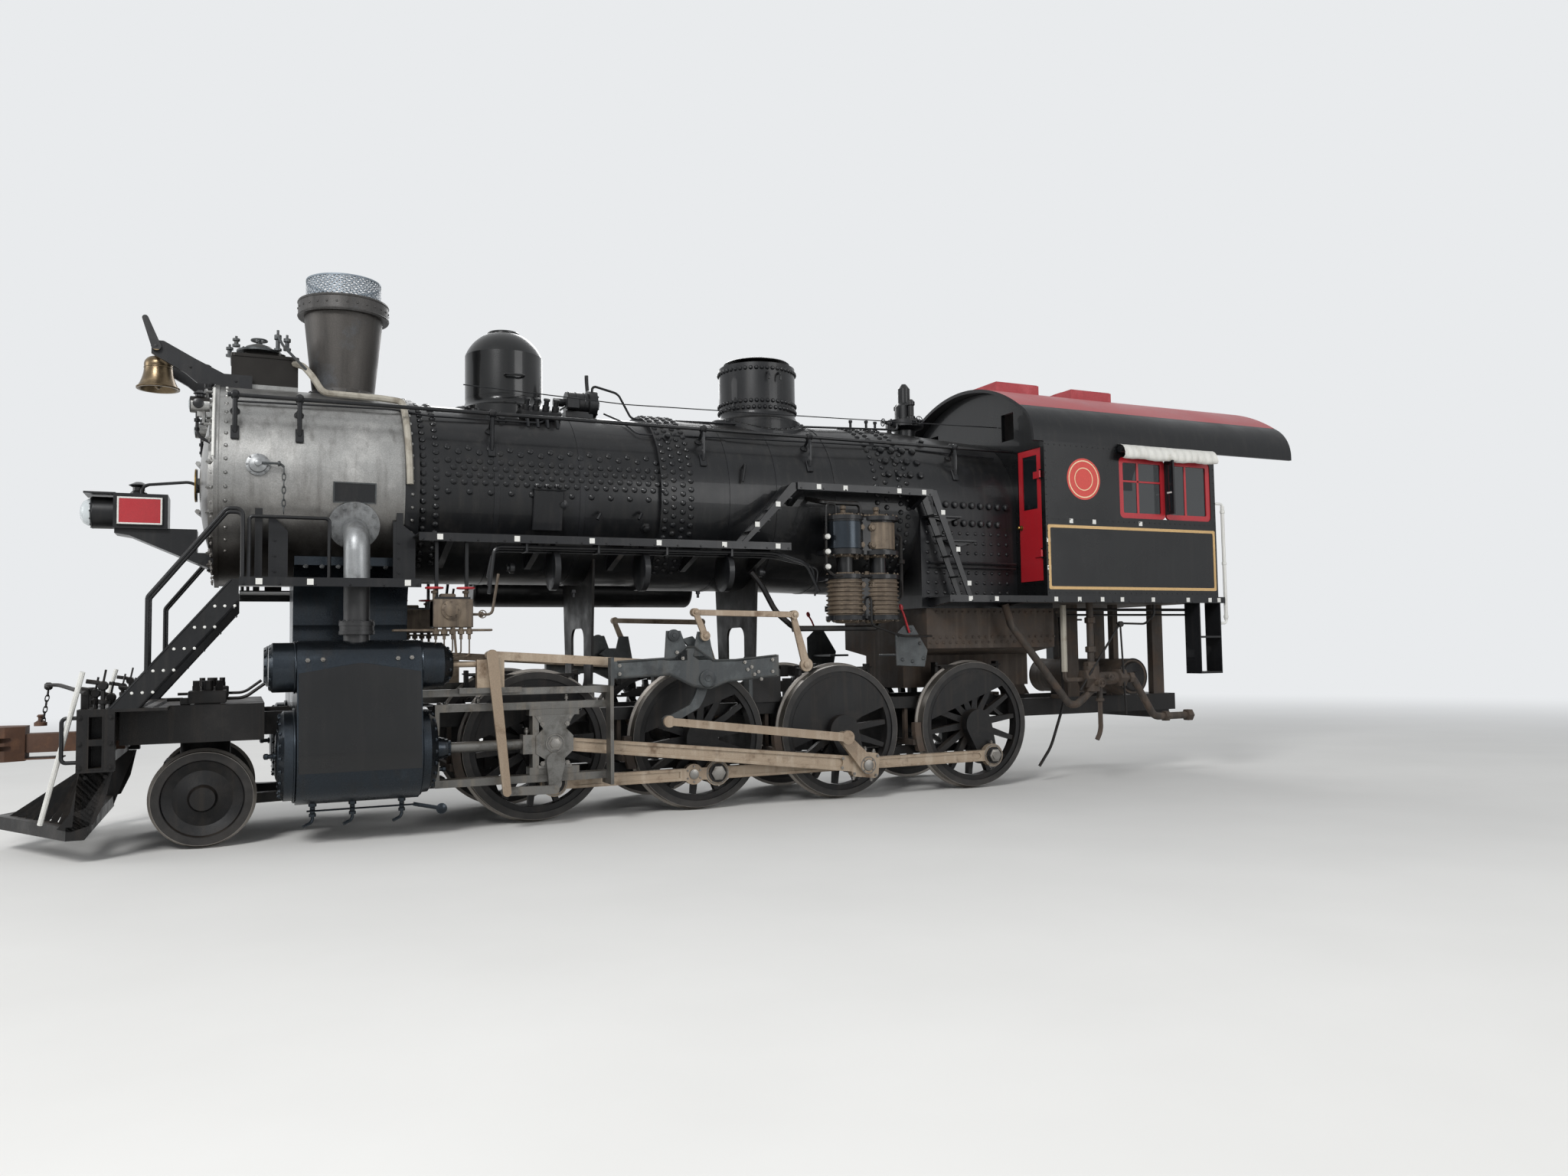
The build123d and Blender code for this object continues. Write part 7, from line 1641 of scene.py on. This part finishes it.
# ---------------------------------------------------------------- cab
def cab_lining(sizes):
    """Gold lining of the blank panel, the plain roundel, and cab rivets."""
    low, high = (5.755, 2.3), (8.345, 3.05)
    corner = 0.02
    outline = []
    for cx, cz, start in ((high[0] - corner, high[1] - corner, 0), (low[0] + corner, high[1] - corner, 90),
            (low[0] + corner, low[1] + corner, 180), (high[0] - corner, low[1] + corner, 270)):
        for step in range(7):
            angle = math.radians(start + 15 * step)
            outline.append((cx + corner * math.cos(angle), cz + corner * math.sin(angle)))
    middle = Vector(((low[0] + high[0]) / 2, (low[1] + high[1]) / 2))
    half = Vector(((high[0] - low[0]) / 2, (high[1] - low[1]) / 2))
    hole = [(middle.x + (x - middle.x) * (half.x - sizes.lining) / half.x,
        middle.y + (z - middle.y) * (half.y - sizes.lining) / half.y) for x, z in outline]
    finish_pair([plate(outline, 0.003, "xz", 1.4995, 0.0, [hole])], "gold_lining_%s", "gold")

    centre = Vector((6.3, 1.4995, 3.6))
    finish_pair([turned(mm(245, 0, 245, 2.5), centre, OUT, 64)], "roundel_%s", "roundel")
    rings = [plate(circle(centre.x, centre.z, 0.222, 64), 0.0035, "xz", centre.y, 0.0,
        [circle(centre.x, centre.z, 0.209, 64)]), plate(circle(centre.x, centre.z, 0.136, 48), 0.0035, "xz", centre.y,
        0.0, [circle(centre.x, centre.z, 0.126, 48)])]
    finish_pair(rings, "roundel_rings_%s", "cream")

    spots = []
    lines = [((5.76, 3.115), (8.35, 3.115), 32), ((5.76, 2.262), (8.35, 2.262), 32),
        ((5.752, 2.3), (5.752, 3.99), 20), ((8.355, 2.3), (8.355, 3.99), 20), ((5.8, 3.985), (6.78, 3.985), 12)]
    for (x0, z0), (x1, z1), count in lines:
        for step in range(count + 1):
            share = step / count
            spots.append(((x0 + (x1 - x0) * share, 1.5, z0 + (z1 - z0) * share), OUT))
    finish(both(copies(rivet(0.009, 0.006), spots)), "cab_rivets", "cab_black")

    # White sleeves on the rear grab rails
    sleeves = [pipe([(8.521, 1.47, 3.37), (8.521, 1.47, 1.94)], 0.022, 0, 12)]
    for z in (3.3, 2.65, 1.98):
        sleeves.append(turned(mm(22, -20, 29, -15, 29, 15, 22, 20), (8.521, 1.47, z), UP, 12))
    finish(both(sleeves), "rear_rail_sleeves", "white")


def cab_glass(sizes):
    """Window panes, sash bars, and the panes and knobs of the front doors."""
    bars = []
    for y in (-1.475, 1.475):
        bars += [block((x - 0.016, y - 0.01, 3.22), (x + 0.016, y + 0.012, 3.84), 0.003) for x in (7.14, 7.9)]
        bars.append(block((6.9, y - 0.01, 3.6), (7.5, y + 0.012, 3.622), 0.003))
    finish(bars, "sash_bars", "red")
    panes = [block((x0, 1.471, 3.22), (x1, 1.477, 3.845), 0.001) for x0, x1 in ((6.89, 7.51), (7.625, 8.246))]
    finish(both(panes), "window_panes", "glass")
    pane = block((5.748 - 0.003, 1.085, 3.24), (5.748 + 0.003, 1.355, 3.89), 0.001)
    finish_pair([pane], "door_pane_%s", "glass", "cab_door_%s")
    knob = [turned(mm(30, 0, 30, 6, 10, 10, 10, 35, 22, 45, 14, 55), (5.737, 1.04, 3.05), AHEAD, 14)]
    finish_pair(knob, "door_knob_%s", "brass", "cab_door_%s")


def awnings(sizes):
    """Canvas awnings gathered over the side windows, and the draught deflectors' glass."""
    profile = ((1.509, 4.05), (1.545, 4.044), (1.585, 4.022), (1.612, 3.985), (1.628, 3.94), (1.632, 3.9),
        (1.612, 3.876), (1.585, 3.874))
    rows, length = [], 1.49
    for step in range(sizes.pleats * 6 + 1):
        share = step / (sizes.pleats * 6)
        x = 6.825 + length * share
        swell = 0.006 * math.cos(math.tau * share * sizes.pleats)
        droop = -0.012 * math.sin(math.pi * share) - 0.006 * math.sin(7.3 * share * math.pi)
        row = []
        for index, (y, z) in enumerate(profile):
            deep = index / (len(profile) - 1)
            row.append((x + 0.008 * math.sin(5 * deep + 9 * share), (y + swell * min(1, 2.2 * deep)),
                z + droop * deep))
        rows.append(row)
    for canvas in finish_pair([sheet(rows)], "awning_%s", "canvas", smooth=60):
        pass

    panes, rails = [], []
    x = 7.568
    panes.append(block((x - 0.002, 1.53, 3.255), (x + 0.002, 1.612, 3.85), 0.0008))
    rails.append(block((x - 0.011, 1.525, 3.48), (x + 0.011, 1.615, 3.5), 0.002))
    finish(both(panes), "deflector_panes", "glass")
    finish(both(rails), "deflector_rails", "white")


def crew_seats(sizes):
    """Seat boxes with stuffed leather cushions."""
    boxes = []
    low_y, high_y = 1.03, 1.38
    boxes += [
        block((7.01, low_y, 2.226), (7.69, high_y, 2.57), 0.01, 2),
        block((7.03, low_y + 0.03, 2.566), (7.67, high_y - 0.03, 2.59), 0.006),
    ]
    for z in (2.32, 2.48):
        boxes.append(block((7.003, low_y + 0.04, z - 0.012), (7.012, high_y - 0.04, z + 0.012), 0.002))
    box = finish(both(boxes), "seat_boxes", "oak")
    for side, name in SIDE_NAMES.items():
        cushion = block((7.03, side * 1.205 - 0.15, 2.59), (7.67, side * 1.205 + 0.15, 2.68), 0.03, 3)
        stuff(cushion, 2.7)
        cushion = finish([cushion], "seat_cushion_%s" % name, "leather", smooth=80)
    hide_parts("seats")


def stuff(piece, top):
    """Fills a cushion in its place: an even mesh, blown up a little as cloth and kept below its top."""
    piece.location.x = FIRST_AXLE
    settle(piece)
    remesh = piece.modifiers.new("even", "REMESH")
    remesh.mode = "VOXEL"
    remesh.voxel_size = 0.014
    bpy.ops.object.modifier_apply(modifier="even")
    low = min(vertex.co.z for vertex in piece.data.vertices)
    pinned = piece.vertex_groups.new(name="base")
    pinned.add([vertex.index for vertex in piece.data.vertices if vertex.co.z < low + 0.02], 1.0, "REPLACE")
    cloth = piece.modifiers.new("cloth", "CLOTH")
    cloth.settings.effector_weights.gravity = 0
    cloth.settings.use_pressure = True
    cloth.settings.uniform_pressure_force = 3
    cloth.settings.tension_stiffness = 25
    cloth.settings.compression_stiffness = 25
    cloth.settings.vertex_group_mass = "base"
    cloth.point_cache.frame_end = 20
    scene = bpy.context.scene
    for number in range(1, 21):
        scene.frame_set(number)
    bpy.ops.object.modifier_apply(modifier="cloth")
    scene.frame_set(1)
    for vertex in piece.data.vertices:
        vertex.co.z = min(vertex.co.z, top)
    piece.location.x = -FIRST_AXLE
    settle(piece)


def backhead_trim(sizes):
    """Gauges, throttle, cocks and pipes on the backhead."""
    face = 6.34
    cases, faces = [], []
    for y, z, radius in ((0.24, 3.98, 0.085), (-0.02, 4.0, 0.1), (-0.28, 3.98, 0.085), (-0.5, 3.86, 0.06)):
        cases += [
            turned([(radius, -0.05), (radius, 0), (radius * 0.92, 0.008), (radius * 0.88, 0)], (face, y, z),
                ASTERN, 28),
            pipe([(face - 0.05, y, z - radius), (face - 0.06, y, 3.72)], 0.009),
        ]
        faces.append(turned([(radius * 0.86, 0), (radius * 0.86, 0.002)], (face + 0.0005, y, z), ASTERN, 28))
    for y in (-0.3, -0.1, 0.1, 0.3):
        cases += globe_valve((face, y, 3.7), ASTERN, 0.03)
    cases += [
        pipe([(face - 0.02, 0.42, 3.3), (face + 0.18, 0.42, 3.3), (face + 0.28, 0.3, 3.62)], 0.016, 0.04),
        pipe([(face, -0.42, 3.2), (face + 0.1, -0.42, 3.2), (face + 0.12, -0.42, 3.48), (face, -0.42, 3.48)],
            0.012, 0.03),
        hoop(0.16, 0.014, (6.3, 0, 2.75), ASTERN, 36),
        pipe([(6.31, 0.05, 2.75), (6.42, 0.16, 2.78), (6.42, 0.22, 2.9)], 0.012, 0.03),
    ]
    finish(cases, "backhead_gauges", "brass")
    finish(faces, "gauge_faces", "white")


def roof_trim(sizes):
    """Hatch frames, hinges and handles on the roof."""
    parts = []
    for station in (6.2, 7.38):
        x0, x1 = station - 0.33, station + 0.33
        outer, inner = framed(x0 + 0.015, -0.405, x1 - 0.015, 0.405, 0.05)
        parts.append(plate(outer, 0.012, "xy", 4.958, 0.002, [inner]))
        for y in (-0.25, 0.25):
            parts += [
                pipe([(x1 - 0.12, y, 4.972), (x1 + 0.012, y, 4.972)], 0.012),
                turned(mm(18, -30, 18, 30), (x1 - 0.004, y, 4.972), OUT, 10),
            ]
        parts.append(pipe([(x0 + 0.12, -0.1, 4.965), (x0 + 0.12, -0.1, 5.0), (x0 + 0.12, 0.1, 5.0),
            (x0 + 0.12, 0.1, 4.965)], 0.009, 0.02))
        parts += copies(rivet(0.012, 0.008), [((x, y, 4.97), UP) for x in (x0 + 0.04, x1 - 0.04) for y in (-0.36,
            -0.18, 0, 0.18, 0.36)])
    finish(parts, "hatch_fittings", "roof_red")


# ---------------------------------------------------------------- stage
def rays_shown(tree):
    """1 for rays that show the backdrop: the camera's, and those off metal or through glass."""
    rays = add(tree, "ShaderNodeLightPath").outputs
    mirrored = maths(tree, "MAXIMUM", rays["Is Glossy Ray"], rays["Is Transmission Ray"])
    return maths(tree, "MAXIMUM", rays["Is Camera Ray"], mirrored)


def build_stage():
    """Camera, soft lamps, pale floor and backdrop."""
    scene = bpy.context.scene
    scene.view_settings.view_transform = "Standard"
    yaw, pitch, roll = math.radians(25.377), math.radians(3.154), math.radians(-0.887)
    right = Vector((math.cos(yaw), -math.sin(yaw), 0))
    forward = Vector((math.sin(yaw) * math.cos(pitch), math.cos(yaw) * math.cos(pitch), math.sin(pitch)))
    up = right.cross(forward)
    across = right * math.cos(roll) + up * math.sin(roll)
    upward = -right * math.sin(roll) + up * math.cos(roll)
    only()
    bpy.ops.object.camera_add()
    camera = bpy.context.object
    camera.name = "camera"
    turn = Matrix((across, upward, -forward)).transposed().to_4x4()
    camera.matrix_world = Matrix.Translation((-5.097, -12.048, 1.637)) @ turn
    camera.data.sensor_width = 36
    camera.data.lens = 36 * 1493.12 / 2048
    camera.data.clip_end = 400
    scene.camera = camera

    lamps = (
        ("key", (-13, -15, 15), 6, 3300),
        ("fill", (9, -18, 7), 9, 900),
        ("back", (4, 16, 13), 10, 1500),
        ("front", (-20, 2, 6), 7, 700),
    )
    for name, place, size, power in lamps:
        bpy.ops.object.light_add(type="AREA", location=place)
        lamp = bpy.context.object
        lamp.name = name
        lamp.data.size = size
        lamp.data.energy = power
        lamp.rotation_euler = (Vector((0.5, 0, 2.2)) - lamp.location).to_track_quat("-Z", "Y").to_euler()

    world = bpy.data.worlds.new("studio")
    scene.world = world
    world.use_nodes = True
    tree = world.node_tree
    ground = tree.nodes["Background"]
    ground.inputs["Color"].default_value = tint("#dfe3e8")
    ground.inputs["Strength"].default_value = 0.45
    seen = add(tree, "ShaderNodeBackground", {"Color": tint("#e9ebed"), "Strength": 1.0})
    mix = add(tree, "ShaderNodeMixShader", {0: rays_shown(tree), 1: ground.outputs[0], 2: seen.outputs[0]})
    tree.links.new(mix.outputs[0], tree.nodes["World Output"].inputs[0])

    only()
    bpy.ops.mesh.primitive_circle_add(vertices=96, radius=90, fill_type="NGON", location=(0, 0, 0))
    floor = bpy.context.object
    floor.name = "floor"
    paint, tree, base, place = made("pale_studio_floor")
    tone = mixed(tree, noise(tree, place, 0.8, 4), tint("#d9d8d5"), tint("#e2e1de"))
    tree.links.new(tone, base.inputs["Base Color"])
    base.inputs["Roughness"].default_value = 0.85
    # Far off, the floor runs into the backdrop without a line
    far = add(tree, "ShaderNodeVectorMath", {0: place}, operation="LENGTH").outputs["Value"]
    share = add(tree, "ShaderNodeMapRange", {0: far, 1: 10.0, 2: 30.0}, interpolation_type="SMOOTHSTEP")
    pale = add(tree, "ShaderNodeEmission", {"Color": tint("#e9ebed"), "Strength": 1.0})
    faded = maths(tree, "MULTIPLY", share.outputs[0], rays_shown(tree))
    sweep = add(tree, "ShaderNodeMixShader", {0: faded, 1: base.outputs[0], 2: pale.outputs[0]})
    tree.links.new(sweep.outputs[0], tree.nodes["Material Output"].inputs[0])
    floor.data.materials.append(paint)


# ---------------------------------------------------------------- what a user can change
def length(name, description, default, low, high):
    """A length that a user may change."""
    return FloatProperty(name=name, description=description, default=default, min=low, max=high, unit="LENGTH")


def coat(name, description, code):
    """A colour that a user may change."""
    return FloatVectorProperty(name=name, description=description, subtype="COLOR", size=3, default=tint(code)[:3],
        min=0, max=1)


class EngineSizes(PropertyGroup):
    """Sizes of the small hardware."""
    rivet: length("Rivet Head", "Radius of a boiler rivet's head", 0.032, 0.008, 0.045)
    ring_rivets: IntProperty(name="Rivets to a Ring", description="Rivets round one boiler seam", default=64,
        min=40, max=110)
    sand_pipe: length("Sand Pipe", "Radius of a sand pipe", 0.022, 0.01, 0.03)
    square: length("White Square", "Side of a white square on the boards", 0.052, 0.03, 0.08)
    tread_pitch: length("Tread Pitch", "Spacing of the tread plate's lozenges", 0.115, 0.09, 0.2)
    lining: length("Lining Width", "Width of the gold lining on the cab", 0.034, 0.01, 0.08)
    pleats: IntProperty(name="Awning Pleats", description="Folds along one canvas awning", default=13, min=4, max=30)


class EngineColours(PropertyGroup):
    """Paints and metals that a user may change."""
    enamel: coat("Boiler Enamel", "Black enamel of the boiler", "#101113")
    cab: coat("Cab Enamel", "Gloss black of the cab", "#0a0b0c")
    graphite: coat("Smokebox Graphite", "Graphite grey of the smokebox", "#8b8b89")
    rods: coat("Rods", "Oiled steel of the rods", "#9a8a77")
    red: coat("Red Enamel", "Red of the doors, sashes and boards", "#a81a24")
    gold: coat("Lining Gold", "Gold lining paint of the cab", "#c9a774")
    roof: coat("Roof Red", "Chalked red of the roof", "#93282f")


# ---------------------------------------------------------------- operators
def dress(context, *jobs):
    """Makes groups of pieces."""
    for job in jobs:
        job(context.scene.engine_sizes)
    return {"FINISHED"}


class ENGINE_OT_finishes(Operator):
    """Makes every finish and gives each solid its own"""
    bl_idname = "engine.finishes"
    bl_label = "Finishes"

    def execute(self, context):
        make_finishes(context.scene.engine_colours)
        dress_solids()
        return {"FINISHED"}


class ENGINE_OT_boiler(Operator):
    """Rivets, staybolt caps, plugs, bands, steps, sand traps, conduits and rail posts of the boiler"""
    bl_idname = "engine.boiler"
    bl_label = "Boiler"

    def execute(self, context):
        return dress(context, boiler_rivets, boiler_bosses, boiler_pipes, rail_posts)


class ENGINE_OT_smokebox(Operator):
    """Plugs, lid, brackets, door clamps and blank plates of the smokebox, and the stack's screen"""
    bl_idname = "engine.smokebox"
    bl_label = "Smokebox"

    def execute(self, context):
        return dress(context, smokebox_fittings, front_fittings, stack_screen)


class ENGINE_OT_lamps(Operator):
    """Headlight, class lamps, and the bell's hangers, clapper and nut"""
    bl_idname = "engine.lamps"
    bl_label = "Lamps and Bell"

    def execute(self, context):
        return dress(context, lamps, bell_fittings)


class ENGINE_OT_domes(Operator):
    """Rivets, lids and handles of the domes, turret valves, and the turbine generator"""
    bl_idname = "engine.domes"
    bl_label = "Domes"

    def execute(self, context):
        return dress(context, dome_fittings, generator_fittings)


class ENGINE_OT_boards(Operator):
    """White squares, rivets, tread plate and pipes of boards, stairs and deck"""
    bl_idname = "engine.boards"
    bl_label = "Boards and Stairs"

    def execute(self, context):
        return dress(context, board_trim, stair_trim, deck_tread)


class ENGINE_OT_front(Operator):
    """Coupler lever, chain and lock, and rivets and plates of the beam"""
    bl_idname = "engine.front"
    bl_label = "Beam and Coupler"

    def execute(self, context):
        return dress(context, front_end)


class ENGINE_OT_cylinders(Operator):
    """Lagging sheets, nuts, cocks and flanges of the cylinders, and the lubricator"""
    bl_idname = "engine.cylinders"
    bl_label = "Cylinders"

    def execute(self, context):
        return dress(context, cylinder_trim, lubricator)


class ENGINE_OT_motion(Operator):
    """Oil cups, bolts and caps of the rods, and bosses of the valve gear's frame"""
    bl_idname = "engine.motion"
    bl_label = "Rods and Valve Gear"

    def execute(self, context):
        return dress(context, rod_fittings, valve_gear_trim)


class ENGINE_OT_chassis(Operator):
    """Leaf springs, brackets, reservoir bands, mud ring rivets and injectors"""
    bl_idname = "engine.chassis"
    bl_label = "Frame"

    def execute(self, context):
        return dress(context, frame_trim, reservoir_trim, firebox_trim, injector_trim)


class ENGINE_OT_compressor(Operator):
    """Jackets, heads, studs, valve caps and pipes of the air compressor"""
    bl_idname = "engine.compressor"
    bl_label = "Air Compressor"

    def execute(self, context):
        return dress(context, compressor_trim)


class ENGINE_OT_cab(Operator):
    """Lining, roundel, rivets, panes, gauges and hatches of the cab"""
    bl_idname = "engine.cab"
    bl_label = "Cab"

    def execute(self, context):
        return dress(context, cab_lining, cab_glass, backhead_trim, roof_trim)


class ENGINE_OT_awnings(Operator):
    """Canvas awnings and draught deflectors at the side windows"""
    bl_idname = "engine.awnings"
    bl_label = "Awnings"

    def execute(self, context):
        return dress(context, awnings)


class ENGINE_OT_seats(Operator):
    """Seat boxes with stuffed leather cushions"""
    bl_idname = "engine.seats"
    bl_label = "Seats"

    def execute(self, context):
        return dress(context, crew_seats)


class ENGINE_OT_stage(Operator):
    """Camera, soft lamps, pale floor and backdrop"""
    bl_idname = "engine.stage"
    bl_label = "Stage"

    def execute(self, context):
        build_stage()
        return {"FINISHED"}


class ENGINE_PT_looks(Panel):
    """Sizes, colours and the operators in their order"""
    bl_idname = "ENGINE_PT_looks"
    bl_label = "Steam Locomotive"
    bl_space_type = "VIEW_3D"
    bl_region_type = "UI"
    bl_category = "Engine"

    def draw(self, context):
        for group in (context.scene.engine_sizes, context.scene.engine_colours):
            for key in group.__annotations__:
                self.layout.prop(group, key)
        for operator in OPERATORS:
            self.layout.operator(operator.bl_idname)


OPERATORS = (
    ENGINE_OT_finishes,
    ENGINE_OT_boiler,
    ENGINE_OT_smokebox,
    ENGINE_OT_lamps,
    ENGINE_OT_domes,
    ENGINE_OT_boards,
    ENGINE_OT_front,
    ENGINE_OT_cylinders,
    ENGINE_OT_motion,
    ENGINE_OT_chassis,
    ENGINE_OT_compressor,
    ENGINE_OT_cab,
    ENGINE_OT_awnings,
    ENGINE_OT_seats,
    ENGINE_OT_stage,
)
CLASSES = (EngineSizes, EngineColours, *OPERATORS, ENGINE_PT_looks)


def register():
    for each in CLASSES:
        bpy.utils.register_class(each)
    bpy.types.Scene.engine_sizes = PointerProperty(type=EngineSizes)
    bpy.types.Scene.engine_colours = PointerProperty(type=EngineColours)


def unregister():
    del bpy.types.Scene.engine_colours
    del bpy.types.Scene.engine_sizes
    for each in reversed(CLASSES):
        bpy.utils.unregister_class(each)


def main():
    """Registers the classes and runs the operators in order."""
    register()
    bpy.ops.engine.finishes()
    bpy.ops.engine.boiler()
    bpy.ops.engine.smokebox()
    bpy.ops.engine.lamps()
    bpy.ops.engine.domes()
    bpy.ops.engine.boards()
    bpy.ops.engine.front()
    bpy.ops.engine.cylinders()
    bpy.ops.engine.motion()
    bpy.ops.engine.chassis()
    bpy.ops.engine.compressor()
    bpy.ops.engine.cab()
    bpy.ops.engine.awnings()
    bpy.ops.engine.seats()
    bpy.ops.engine.stage()


if __name__ == "__main__":
    main()
